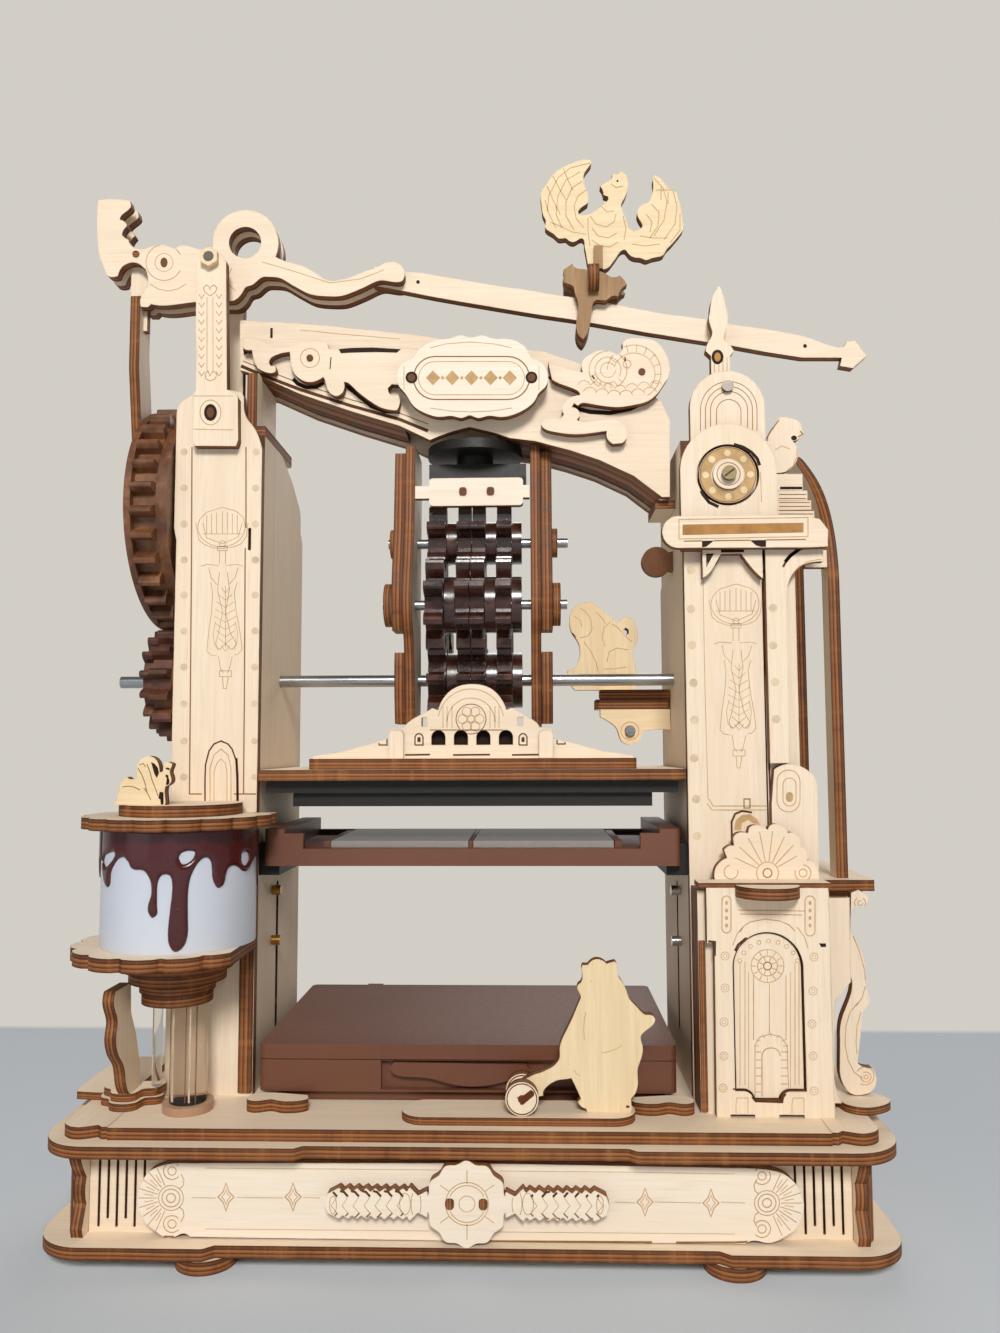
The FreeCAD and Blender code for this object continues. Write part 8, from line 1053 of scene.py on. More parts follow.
    ('s', 'right_tower_front', 'frame', 'LINE', 28.5, 0.19, True, [(72.66, 161.73), (75.43, 161.71), (75.41, 160.59), (72.64, 160.61)]),
    ('s', 'right_tower_front', 'frame', 'LINE', 28.5, 0.19, False, [(73.19, 160.6), (73.11, 156.96)]),
    ('s', 'right_tower_front', 'frame', 'LINE', 28.5, 0.19, False, [(74.85, 160.59), (74.77, 156.95)]),
    ('s', 'right_tower_front', 'frame', 'LINE', 28.5, 0.19, False, [(67.84, 156.16), (69.51, 156.71), (72.82, 156.4)]),
    ('s', 'right_tower_front', 'frame', 'LINE', 28.5, 0.19, False, [(75.04, 156.39), (78.08, 156.65), (79.73, 156.08)]),
    ('s', 'right_tower_front', 'frame', 'LINE', 28.5, 0.19, False, [(70.04, 155.86), (70.54, 153.06), (72.43, 150.82)]),
    ('s', 'right_tower_front', 'frame', 'LINE', 28.5, 0.19, False, [(78.34, 155.81), (77.45, 153.02), (75.75, 151.08)]),
    ('s', 'right_tower_front', 'frame', 'LINE', 28.5, 0.19, False, [(70.51, 151.67), (71, 148.87), (70.61, 143.31), (69.67, 137.76), (69.01, 132.24), (70.08, 131.13), (71.72, 130.84)]),
    ('s', 'right_tower_front', 'frame', 'LINE', 28.5, 0.19, False, [(77.97, 151.62), (77.08, 148.84), (77.5, 143.27), (78.46, 137.17), (78.91, 132.75), (77.78, 131.37), (76.67, 131.1)]),
    ('s', 'right_tower_front', 'frame', 'LINE', 28.5, 0.19, False, [(73.06, 154.44), (72.4, 149.42), (73.64, 143.29), (72.41, 137.2), (71.53, 134.44), (72.04, 132.78), (72.87, 132.77), (74.28, 134.42)]),
    ('s', 'right_tower_front', 'frame', 'LINE', 28.5, 0.19, False, [(75.27, 154.43), (75.71, 149.4), (74.47, 143.29), (75.71, 137.18), (77.3, 134.41), (76.71, 132.76), (75.61, 132.76), (74.28, 134.42)]),
    ('s', 'right_tower_front', 'frame', 'LINE', 28.5, 0.19, False, [(72.27, 130.84), (72.75, 127.26), (73.54, 126.15)]),
    ('s', 'right_tower_front', 'frame', 'LINE', 28.5, 0.19, False, [(76.12, 130.83), (75.21, 127.25), (74.64, 126.15)]),
    ('s', 'right_tower_front', 'frame', 'LINE', 28.5, 0.19, True, [(72.46, 126.71), (75.75, 126.7), (75.71, 125.05), (72.42, 125.06)]),
    ('s', 'right_tower_front', 'frame', 'LINE', 28.5, 0.19, False, [(73.25, 125.05), (73.45, 121.76), (74.27, 121.76), (74.89, 125.05)]),
    ('s', 'right_tower_front', 'frame', 'LINE', 28.5, 0.15, False, [(73.38, 150.25), (74.59, 148.57), (75.87, 150.24)]),
    ('s', 'right_tower_front', 'frame', 'LINE', 28.5, 0.15, False, [(72.65, 148.2), (74.54, 146.51), (76.51, 148.17)]),
    ('s', 'right_tower_front', 'frame', 'LINE', 28.5, 0.15, False, [(72.02, 146.14), (74.5, 144.46), (77.04, 146.11)]),
    ('s', 'right_tower_front', 'frame', 'LINE', 28.5, 0.15, False, [(71.59, 144.08), (74.45, 142.4), (77.38, 144.05)]),
    ('s', 'right_tower_front', 'frame', 'LINE', 28.5, 0.15, False, [(71.41, 142.03), (74.41, 140.35), (77.47, 142)]),
    ('s', 'right_tower_front', 'frame', 'LINE', 28.5, 0.15, False, [(71.5, 139.97), (74.36, 138.3), (77.29, 139.95)]),
    ('s', 'right_tower_front', 'frame', 'LINE', 28.5, 0.15, False, [(71.85, 137.92), (74.32, 136.25), (76.85, 137.9)]),
    ('s', 'right_tower_front', 'frame', 'LINE', 28.5, 0.15, False, [(72.39, 135.87), (74.27, 134.2), (76.23, 135.85)]),
    ('s', 'right_tower_front', 'frame', 'LINE', 28.5, 0.15, False, [(73.03, 133.82), (74.23, 132.16), (75.5, 133.81)]),
    ('s', 'right_tower_front', 'frame', 'LINE', 28.5, 0.16, False, [(74.63, 150.53), (74.25, 133.32)]),
    ('s', 'right_tower_front', 'frame', 'LINE', 28.5, 0.15, False, [(71.66, 140.53), (70.9, 137.21), (71.24, 133.88), (72.59, 132.77)]),
    ('s', 'right_tower_front', 'frame', 'LINE', 28.5, 0.15, False, [(77.16, 140.5), (77.77, 137.17), (77.28, 133.86), (75.89, 132.76)]),
    ('s', 'right_tower_front', 'frame', 'LINE', 28.5, 0.28, False, [(65.61, 113.29), (66.66, 111.37), (82.77, 111.34)]),
    ('s', 'right_tower_front', 'frame', 'LINE', 28.5, 0.26, False, [(65.04, 112.19), (66.37, 110.28), (82.2, 110.25)]),
    ('s', 'right_tower_front', 'frame', 'MID', 28.5, 0.3, True, [(75.18, 113.27), (76.81, 113.26), (76.76, 110.81), (75.12, 110.81)]),
    ('s', 'right_tower_front', 'frame', 'BURN', 28.5, 0.55, False, [(71.62, 100.48), (71.63, 107), (72.63, 109.18), (74.56, 109.99), (77.27, 109.58)]),
    ('p', 'right_tower_front', 'frame', 'TAN', 28.5, 0.04, True, [(72.26, 104.83), (72.86, 107.55), (74.53, 108.9), (76.72, 109.17), (78.6, 107.81), (79.38, 106.18), (77.48, 106.72), (76.14, 107.54), (74.48, 106.73), (74.17, 104.82)]),
    ('s', 'tower_crossbar', 'frame', 'DARK', 25.5, 1, False, [(87.29, 178.53), (88.71, 180.2), (91.51, 182.28), (94.82, 182.95), (98.67, 183.19)]),
    ('s', 'right_tower_front', 'frame', 'LINE', 25.5, 0.26, True, [(89.66, 112.98), (89.53, 112.18), (89.2, 111.43), (88.69, 110.79), (88.04, 110.3), (87.28, 109.99), (86.48, 109.89), (86.48, 109.89), (85.68, 110), (84.94, 110.31), (84.31, 110.8), (83.84, 111.44), (83.55, 112.19), (83.46, 112.99), (83.59, 118.13), (83.71, 118.93), (84.04, 119.69), (84.55, 120.33), (85.21, 120.82), (85.97, 121.13), (86.77, 121.24), (86.77, 121.24), (87.58, 121.13), (88.32, 120.81), (88.95, 120.32), (89.42, 119.67), (89.71, 118.92), (89.8, 118.11)]),
    ('s', 'right_tower_front', 'frame', 'LINE', 25.5, 0.24, True, [(88.59, 113.25), (88.52, 112.8), (88.33, 112.38), (88.04, 112.02), (87.67, 111.74), (87.25, 111.56), (86.79, 111.51), (86.79, 111.51), (86.34, 111.57), (85.92, 111.74), (85.57, 112.02), (85.3, 112.38), (85.13, 112.81), (85.09, 113.26), (85.19, 117.31), (85.26, 117.77), (85.45, 118.19), (85.73, 118.56), (86.1, 118.83), (86.53, 119.01), (86.99, 119.07), (86.99, 119.07), (87.44, 119.01), (87.86, 118.83), (88.21, 118.55), (88.48, 118.18), (88.65, 117.76), (88.7, 117.31)]),
    ('p', 'right_tower_front', 'frame', 'TAN', 25.5, 0.04, True, [(87.79, 113.53), (87.75, 113.28), (87.65, 113.05), (87.49, 112.86), (87.29, 112.71), (87.06, 112.62), (86.82, 112.58), (86.82, 112.58), (86.58, 112.62), (86.35, 112.71), (86.16, 112.86), (86.02, 113.06), (85.93, 113.29), (85.9, 113.53), (85.92, 114.34), (85.96, 114.58), (86.06, 114.81), (86.22, 115.01), (86.41, 115.16), (86.64, 115.25), (86.89, 115.28), (86.89, 115.28), (87.13, 115.25), (87.36, 115.16), (87.55, 115), (87.69, 114.81), (87.78, 114.58), (87.81, 114.34)]),
    ('s', 'right_tower_roof', 'frame', 'DARK', 31.6, 0.8, False, [(87.95, 200.94), (95.28, 200.86)]),
    ('s', 'right_tower_roof', 'frame', 'MID', 31.6, 0.26, False, [(87.62, 199.07), (95.23, 198.98)]),
    ('s', 'right_tower_roof', 'frame', 'MID', 31.6, 0.26, False, [(87.59, 197.91), (95.2, 197.83)]),
    ('s', 'right_tower_roof', 'frame', 'MID', 31.6, 0.26, False, [(87.56, 196.76), (96.29, 196.66)]),
    ('s', 'right_tower_roof', 'frame', 'MID', 31.6, 0.26, False, [(87.53, 195.6), (96.82, 195.5)]),
    ('s', 'right_tower_roof', 'frame', 'MID', 31.6, 0.26, False, [(87.51, 194.45), (97.35, 194.34)]),
    ('s', 'right_tower_roof', 'frame', 'MID', 31.6, 0.26, False, [(87.48, 193.44), (97.61, 193.33)]),
    ('s', 'right_tower_roof', 'frame', 'MID', 31.5, 0.3, False, [(84.59, 214.61), (84.91, 216.07), (85.79, 217.52), (88.14, 220.7)]),
    ('p', 'right_tower_roof', 'frame', 'DARK', 31.5, 0.04, True, [(93.1, 215.38), (92.98, 215.01), (92.66, 214.75), (92.24, 214.66), (91.81, 214.76), (91.51, 215.03), (91.41, 215.4), (91.53, 215.76), (91.85, 216.03), (92.27, 216.12), (92.7, 216.01), (93, 215.74)]),
    ('s', 'right_tower_roof', 'frame', 'MID', 31.5, 0.3, False, [(94.01, 217.41), (94.83, 216.52), (93.39, 215.67)]),
    ('s', 'right_tower_roof', 'frame', 'LINE', 31.5, 0.26, False, [(89.45, 205.54), (91.76, 207.25), (92.96, 209.85), (93.03, 212.47)]),
    ('s', 'right_tower_roof', 'frame', 'LINE', 31.5, 0.22, False, [(86.79, 211.96), (88.8, 213.1), (91.04, 212.2)]),
    ('s', 'right_tower_roof', 'frame', 'LINE', 31.5, 0.22, False, [(95.54, 211.27), (97.15, 208.34), (97.06, 204.87)]),
    ('s', 'tower_ornaments', 'frame', 'MID', 22.5, 0.28, True, [(80.94, 93.9), (80.81, 93.39), (80.47, 92.97), (79.99, 92.74), (79.46, 92.74), (78.98, 92.97), (78.66, 93.38), (78.56, 93.9), (78.69, 94.42), (79.03, 94.83), (79.51, 95.06), (80.04, 95.06), (80.52, 94.83), (80.84, 94.42)]),
    ('s', 'tower_ornaments', 'frame', 'LINE', 22.5, 0.26, True, [(82.67, 93.9), (82.53, 93.08), (82.17, 92.33), (81.61, 91.71), (80.9, 91.26), (80.1, 91.03), (79.27, 91.03), (78.47, 91.26), (77.79, 91.71), (77.26, 92.33), (76.93, 93.08), (76.83, 93.9), (76.97, 94.72), (77.33, 95.47), (77.89, 96.1), (78.6, 96.55), (79.4, 96.78), (80.24, 96.78), (81.03, 96.55), (81.72, 96.1), (82.25, 95.47), (82.57, 94.72)]),
    ('s', 'tower_ornaments', 'frame', 'LINE', 22.5, 0.26, False, [(76.89, 95.24), (71.17, 97.92)]),
    ('s', 'tower_ornaments', 'frame', 'LINE', 22.5, 0.26, False, [(77.47, 96.06), (72.52, 100.76)]),
    ('s', 'tower_ornaments', 'frame', 'LINE', 22.5, 0.26, False, [(78.27, 96.67), (74.81, 103.17)]),
    ('s', 'tower_ornaments', 'frame', 'LINE', 22.5, 0.26, False, [(79.22, 97.01), (77.88, 104.83)]),
    ('s', 'tower_ornaments', 'frame', 'LINE', 22.5, 0.26, False, [(80.22, 97.05), (81.38, 104.94)]),
    ('s', 'tower_ornaments', 'frame', 'LINE', 22.5, 0.26, False, [(81.17, 96.78), (84.48, 103.5)]),
    ('s', 'tower_ornaments', 'frame', 'LINE', 22.5, 0.26, False, [(81.98, 96.22), (86.82, 101.25)]),
    ('s', 'tower_ornaments', 'frame', 'LINE', 22.5, 0.26, False, [(82.55, 95.49), (87.68, 98.39)]),
    ('s', 'tower_ornaments', 'frame', 'LINE', 22.5, 0.26, False, [(89.22, 96.02), (89.81, 95.93), (90.34, 95.69), (90.79, 95.31), (91.1, 94.81), (91.26, 94.25), (91.26, 93.66), (91.1, 93.09), (90.78, 92.58), (90.33, 92.18), (89.8, 91.91), (89.21, 91.8), (88.62, 91.85), (88.07, 92.07), (87.61, 92.43), (87.27, 92.9), (87.08, 93.46), (87.05, 94.05), (87.19, 94.62)]),
    ('s', 'tower_ornaments', 'frame', 'LINE', 22.5, 0.24, True, [(90.22, 93.9), (90.07, 93.38), (89.67, 92.99), (89.14, 92.85), (88.61, 92.99), (88.23, 93.38), (88.11, 93.9), (88.26, 94.43), (88.66, 94.82), (89.19, 94.96), (89.72, 94.82), (90.1, 94.43)]),
    ('s', 'tower_ornaments', 'frame', 'LINE', 22.5, 0.26, False, [(71.82, 94.8), (71.92, 94.24), (71.84, 93.68), (71.6, 93.17), (71.22, 92.75), (70.73, 92.45), (70.18, 92.32), (69.61, 92.36), (69.09, 92.56), (68.66, 92.91), (68.35, 93.38), (68.2, 93.92), (68.23, 94.48), (68.42, 95.02), (68.77, 95.47), (69.23, 95.8), (69.77, 95.99)]),
    ('s', 'lever_sculpture', 'lever', 'LINE', 33, 0.24, False, [(-86.39, 269.06), (-86.95, 268.09), (-87.69, 267.26), (-88.59, 266.62), (-89.61, 266.18), (-90.71, 265.98), (-91.83, 266.01), (-92.93, 266.28), (-93.96, 266.77), (-94.88, 267.47), (-95.65, 268.34), (-96.23, 269.35), (-96.6, 270.45), (-96.75, 271.59), (-96.66, 272.74), (-96.34, 273.83), (-95.8, 274.82), (-95.08, 275.66), (-94.19, 276.33), (-93.17, 276.78), (-92.08, 277.01), (-90.96, 277), (-89.85, 276.75), (-88.81, 276.28), (-87.88, 275.6), (-87.1, 274.74), (-86.5, 273.74)]),
    ('s', 'lever_sculpture', 'lever', 'LINE', 33, 0.2, True, [(-88.64, 271.44), (-88.75, 270.59), (-89.12, 269.82), (-89.7, 269.22), (-90.45, 268.84), (-91.28, 268.72), (-92.11, 268.88), (-92.88, 269.28), (-93.49, 269.91), (-93.89, 270.68), (-94.04, 271.54), (-93.93, 272.4), (-93.56, 273.16), (-92.98, 273.76), (-92.24, 274.14), (-91.4, 274.26), (-90.57, 274.11), (-89.8, 273.7), (-89.19, 273.08), (-88.79, 272.3)]),
    ('p', 'lever_sculpture', 'lever', 'PEG', 33, 0.03, True, [(-90.26, 271.47), (-90.33, 270.88), (-90.55, 270.39), (-90.89, 270.06), (-91.3, 269.95), (-91.72, 270.08), (-92.08, 270.42), (-92.32, 270.92), (-92.42, 271.51), (-92.35, 272.1), (-92.13, 272.59), (-91.79, 272.92), (-91.38, 273.03), (-90.96, 272.91), (-90.6, 272.56), (-90.36, 272.06)]),
    ('s', 'lever_sculpture', 'lever', 'LINE', 33, 0.22, False, [(-95.39, 264.96), (-92.95, 263.39), (-89.94, 262.72), (-86.96, 263.28), (-84.6, 264.77)]),
    ('s', 'tower_ornaments', 'frame', 'LINE', 26, 0.24, False, [(105.86, 86.77), (106.22, 86.47), (106.46, 86.06), (106.55, 85.6), (106.49, 85.13), (106.28, 84.69), (105.94, 84.35), (105.51, 84.12), (105.04, 84.04), (104.57, 84.12), (104.16, 84.34), (103.84, 84.69), (103.66, 85.12), (103.63, 85.6), (103.75, 86.06), (104.01, 86.47), (104.39, 86.77)]),
    ('s', 'tower_ornaments', 'frame', 'LINE', 26, 0.22, False, [(105.86, 85.5), (105.79, 85.24), (105.62, 85.02), (105.37, 84.89), (105.09, 84.88), (104.84, 84.98), (104.66, 85.18), (104.58, 85.45), (104.63, 85.72), (104.78, 85.95), (105.02, 86.1), (105.3, 86.14), (105.56, 86.06)]),
    ('s', 'tower_ornaments', 'frame', 'LINE', 26, 0.24, False, [(102.95, 76.76), (104.43, 73.07), (105.61, 68.34), (106.01, 64.14), (104.83, 60.47), (103.18, 58.37)]),
    ('s', 'tower_ornaments', 'frame', 'LINE', 26, 0.24, False, [(103.73, 59.16), (101.54, 56.8), (100.37, 53.14), (99.97, 48.45), (100.63, 44.3), (102.12, 41.2), (104.18, 39.66)]),
    ('s', 'tower_ornaments', 'frame', 'LINE', 26, 0.24, False, [(102.97, 41.34), (103.32, 41.78), (103.75, 42.13), (104.26, 42.37), (104.81, 42.5), (105.37, 42.5), (105.9, 42.36), (106.39, 42.11), (106.79, 41.75), (107.1, 41.31), (107.29, 40.8), (107.35, 40.26), (107.28, 39.72), (107.09, 39.2), (106.78, 38.73), (106.37, 38.35), (105.88, 38.07), (105.34, 37.9), (104.79, 37.86), (104.24, 37.95), (103.74, 38.16)]),
    ('s', 'tower_ornaments', 'frame', 'LINE', 26, 0.22, False, [(104.62, 41.04), (105.04, 41.2), (105.48, 41.21), (105.9, 41.07), (106.24, 40.81), (106.47, 40.44), (106.55, 40.02), (106.49, 39.59), (106.29, 39.19), (105.97, 38.88), (105.57, 38.69), (105.13, 38.64), (104.7, 38.73), (104.33, 38.96), (104.07, 39.3), (103.93, 39.71), (103.95, 40.14)]),
    ('s', 'tower_ornaments', 'frame', 'LINE', 26, 0.2, True, [(105.77, 39.93), (105.66, 39.63), (105.39, 39.44), (105.06, 39.44), (104.8, 39.62), (104.71, 39.92), (104.82, 40.23), (105.09, 40.42), (105.42, 40.42), (105.67, 40.23)]),
    ('s', 'tower_ornaments', 'frame', 'LINE', 26, 0.2, False, [(104.45, 56.81), (103.28, 53.15), (102.89, 48.99), (103.05, 45.87)]),
    ('s', 'cabinet_front', 'frame', 'LINE', 15, 0.28, True, [(68.32, 80.58), (68.27, 80.29), (68.15, 80.01), (67.96, 79.77), (67.71, 79.59), (67.43, 79.47), (67.13, 79.43), (67.13, 79.43), (66.83, 79.47), (66.55, 79.59), (66.32, 79.77), (66.14, 80.01), (66.03, 80.28), (65.99, 80.58), (66.14, 87.74), (66.19, 88.04), (66.31, 88.32), (66.5, 88.56), (66.75, 88.74), (67.03, 88.86), (67.33, 88.89), (67.33, 88.89), (67.63, 88.86), (67.91, 88.74), (68.15, 88.56), (68.33, 88.32), (68.44, 88.04), (68.47, 87.74)]),
    ('s', 'cabinet_front', 'frame', 'LINE', 15, 0.28, True, [(89.9, 79.99), (89.85, 79.66), (89.71, 79.35), (89.5, 79.09), (89.23, 78.89), (88.92, 78.76), (88.58, 78.72), (88.58, 78.72), (88.25, 78.76), (87.95, 78.89), (87.69, 79.09), (87.49, 79.35), (87.37, 79.66), (87.34, 79.99), (87.54, 87.64), (87.6, 87.97), (87.73, 88.28), (87.94, 88.54), (88.22, 88.74), (88.53, 88.87), (88.86, 88.92), (88.86, 88.92), (89.2, 88.87), (89.5, 88.74), (89.76, 88.54), (89.96, 88.28), (90.08, 87.97), (90.11, 87.64)]),
    ('s', 'cabinet_front', 'frame', 'LINE', 15, 0.26, False, [(70.22, 85.31), (87.47, 85.08)]),
    ('s', 'cabinet_front', 'frame', 'LINE', 15, 0.26, False, [(70.72, 84.29), (86.67, 84.06)]),
    ('s', 'cabinet_front', 'frame', 'LINE', 15, 0.26, False, [(70.62, 79.7), (71.68, 81.23), (73.25, 82.25), (77.13, 83.02), (80.98, 82.52), (83.27, 81.51), (84.77, 79.98)]),
    ('s', 'cabinet_front', 'frame', 'LINE', 15, 0.24, False, [(68.74, 76.38), (69.83, 79.19), (71.42, 80.97)]),
    ('s', 'cabinet_front', 'frame', 'LINE', 15, 0.24, False, [(85.31, 81), (87.04, 78.71), (87.99, 75.67)]),
    ('s', 'cabinet_front', 'frame', 'BURN', 15, 0.62, False, [(69.22, 74.86), (70.03, 76.39), (71.86, 77.92), (74.46, 78.94), (77.04, 79.33), (79.61, 79.08), (82.4, 77.69), (84.65, 75.41), (86.11, 72.62), (86.56, 70.09), (86.16, 65.04), (86.4, 54.98), (85.95, 47.48), (85.99, 39.76), (82.95, 39.74), (81.67, 39.49), (80.62, 38.24), (80.34, 37), (73.49, 37.2)]),
    ('s', 'cabinet_front', 'frame', 'BURN', 15, 0.4, False, [(67.96, 40.14), (71.01, 39.91), (72.27, 39.42), (72.75, 38.18), (73.49, 37.2)]),
    ('s', 'cabinet_front', 'frame', 'LINE', 15, 0.15, True, [(67.68, 73.58), (67.56, 73.13), (67.26, 72.77), (66.84, 72.57), (66.37, 72.56), (65.95, 72.76), (65.66, 73.13), (65.57, 73.58), (65.68, 74.03), (65.98, 74.39), (66.41, 74.6), (66.88, 74.6), (67.3, 74.4), (67.58, 74.03)]),
    ('s', 'cabinet_front', 'frame', 'LINE', 15, 0.12, True, [(67.14, 73.58), (67.03, 73.28), (66.77, 73.1), (66.45, 73.1), (66.2, 73.28), (66.11, 73.58), (66.21, 73.88), (66.47, 74.06), (66.79, 74.06), (67.04, 73.88)]),
    ('s', 'cabinet_front', 'frame', 'LINE', 15, 0.15, True, [(67.5, 65.47), (67.39, 65.02), (67.09, 64.66), (66.66, 64.46), (66.2, 64.46), (65.78, 64.66), (65.49, 65.02), (65.4, 65.47), (65.51, 65.92), (65.81, 66.28), (66.24, 66.48), (66.71, 66.48), (67.13, 66.28), (67.41, 65.92)]),
    ('s', 'cabinet_front', 'frame', 'LINE', 15, 0.12, True, [(66.97, 65.47), (66.86, 65.17), (66.6, 64.99), (66.28, 64.99), (66.03, 65.17), (65.94, 65.47), (66.04, 65.77), (66.3, 65.95), (66.62, 65.95), (66.87, 65.77)]),
    ('s', 'cabinet_front', 'frame', 'LINE', 15, 0.15, True, [(67.07, 56.9), (66.95, 56.45), (66.65, 56.09), (66.23, 55.89), (65.76, 55.89), (65.34, 56.09), (65.06, 56.44), (64.97, 56.89), (65.08, 57.34), (65.38, 57.7), (65.8, 57.9), (66.27, 57.9), (66.69, 57.7), (66.97, 57.35)]),
    ('s', 'cabinet_front', 'frame', 'LINE', 15, 0.12, True, [(66.53, 56.9), (66.42, 56.6), (66.16, 56.42), (65.85, 56.42), (65.6, 56.6), (65.5, 56.89), (65.61, 57.19), (65.87, 57.37), (66.18, 57.37), (66.44, 57.19)]),
    ('s', 'cabinet_front', 'frame', 'LINE', 15, 0.15, True, [(66.89, 48.37), (66.77, 47.92), (66.47, 47.57), (66.05, 47.37), (65.58, 47.36), (65.17, 47.56), (64.89, 47.91), (64.79, 48.36), (64.9, 48.8), (65.2, 49.16), (65.63, 49.36), (66.09, 49.37), (66.51, 49.17), (66.79, 48.81)]),
    ('s', 'cabinet_front', 'frame', 'LINE', 15, 0.12, True, [(66.35, 48.37), (66.25, 48.07), (65.99, 47.89), (65.67, 47.89), (65.42, 48.07), (65.33, 48.36), (65.43, 48.66), (65.69, 48.84), (66.01, 48.84), (66.26, 48.66)]),
    ('s', 'cabinet_front', 'frame', 'LINE', 15, 0.15, True, [(66.46, 40.38), (66.35, 39.94), (66.05, 39.58), (65.63, 39.38), (65.16, 39.38), (64.75, 39.57), (64.47, 39.92), (64.37, 40.37), (64.48, 40.81), (64.78, 41.17), (65.2, 41.37), (65.67, 41.37), (66.08, 41.18), (66.37, 40.82)]),
    ('s', 'cabinet_front', 'frame', 'LINE', 15, 0.12, True, [(65.93, 40.38), (65.82, 40.08), (65.56, 39.9), (65.25, 39.9), (65, 40.08), (64.91, 40.37), (65.01, 40.66), (65.27, 40.85), (65.58, 40.85), (65.83, 40.67)]),
    ('s', 'cabinet_front', 'frame', 'LINE', 15, 0.15, True, [(90.51, 73.39), (90.39, 72.94), (90.09, 72.58), (89.67, 72.38), (89.2, 72.38), (88.78, 72.58), (88.5, 72.94), (88.41, 73.39), (88.53, 73.84), (88.83, 74.2), (89.26, 74.4), (89.72, 74.4), (90.14, 74.2), (90.42, 73.84)]),
    ('s', 'cabinet_front', 'frame', 'LINE', 15, 0.12, True, [(89.97, 73.39), (89.87, 73.09), (89.61, 72.91), (89.29, 72.91), (89.04, 73.09), (88.95, 73.39), (89.05, 73.69), (89.32, 73.87), (89.63, 73.87), (89.88, 73.69)]),
    ('s', 'cabinet_front', 'frame', 'LINE', 15, 0.15, True, [(90.01, 64.8), (89.9, 64.35), (89.6, 63.99), (89.17, 63.79), (88.71, 63.79), (88.29, 63.99), (88.01, 64.34), (87.92, 64.79), (88.04, 65.24), (88.34, 65.6), (88.76, 65.8), (89.23, 65.81), (89.64, 65.61), (89.92, 65.25)]),
    ('s', 'cabinet_front', 'frame', 'LINE', 15, 0.12, True, [(89.48, 64.8), (89.37, 64.5), (89.11, 64.32), (88.8, 64.32), (88.55, 64.5), (88.46, 64.79), (88.56, 65.09), (88.82, 65.28), (89.14, 65.28), (89.39, 65.09)]),
    ('s', 'cabinet_front', 'frame', 'LINE', 15, 0.15, True, [(89.53, 56.5), (89.41, 56.06), (89.11, 55.7), (88.69, 55.5), (88.22, 55.49), (87.81, 55.69), (87.53, 56.05), (87.44, 56.49), (87.55, 56.94), (87.85, 57.3), (88.28, 57.5), (88.74, 57.5), (89.16, 57.31), (89.44, 56.95)]),
    ('s', 'cabinet_front', 'frame', 'LINE', 15, 0.12, True, [(88.99, 56.5), (88.89, 56.21), (88.63, 56.02), (88.31, 56.02), (88.06, 56.2), (87.97, 56.5), (88.08, 56.79), (88.34, 56.97), (88.65, 56.98), (88.9, 56.79)]),
    ('s', 'cabinet_front', 'frame', 'LINE', 15, 0.15, True, [(89.56, 48.5), (89.44, 48.05), (89.14, 47.7), (88.72, 47.5), (88.26, 47.49), (87.84, 47.69), (87.56, 48.04), (87.47, 48.49), (87.59, 48.93), (87.89, 49.29), (88.31, 49.49), (88.77, 49.49), (89.19, 49.3), (89.47, 48.94)]),
    ('s', 'cabinet_front', 'frame', 'LINE', 15, 0.12, True, [(89.02, 48.5), (88.92, 48.2), (88.66, 48.02), (88.34, 48.02), (88.1, 48.2), (88.01, 48.49), (88.11, 48.78), (88.37, 48.97), (88.68, 48.97), (88.93, 48.79)]),
    ('s', 'cabinet_front', 'frame', 'LINE', 15, 0.15, True, [(89.57, 39.79), (89.45, 39.35), (89.15, 38.99), (88.73, 38.79), (88.27, 38.79), (87.86, 38.98), (87.58, 39.33), (87.49, 39.77), (87.6, 40.22), (87.9, 40.57), (88.32, 40.77), (88.79, 40.78), (89.2, 40.58), (89.48, 40.23)]),
    ('s', 'cabinet_front', 'frame', 'LINE', 15, 0.12, True, [(89.03, 39.78), (88.93, 39.49), (88.67, 39.31), (88.36, 39.31), (88.11, 39.49), (88.02, 39.78), (88.12, 40.07), (88.38, 40.25), (88.7, 40.25), (88.94, 40.08)]),
    ('p', 'cabinet_front', 'frame', 'DARK', 15, 0.04, True, [(90.84, 76.87), (92.63, 76.82), (92.6, 75.93), (91.32, 75.93)]),
    ('s', 'cabinet_front', 'frame', 'BURN', 15, 0.55, False, [(61.93, 90.43), (61.8, 77.38), (64.12, 77.14), (63.57, 62.43), (63.52, 47.35), (63.1, 32.9)]),
    ('s', 'cabinet_box', 'frame', 'LINE', 15.9, 0.2, False, [(70.62, 71.83), (69.94, 40.86)]),
    ('s', 'cabinet_box', 'frame', 'LINE', 15.9, 0.2, False, [(71.92, 72.03), (71.22, 40.87)]),
    ('s', 'cabinet_box', 'frame', 'LINE', 15.9, 0.24, False, [(74.03, 68.59), (73.65, 52.16)]),
    ('s', 'cabinet_box', 'frame', 'LINE', 15.9, 0.24, False, [(82.39, 68.62), (81.97, 52.21)]),
    ('s', 'cabinet_box', 'frame', 'LINE', 15.9, 0.2, False, [(84.78, 71.91), (83.97, 40.95)]),
    ('s', 'cabinet_box', 'frame', 'LINE', 15.9, 0.2, False, [(85.81, 71.76), (84.99, 40.96)]),
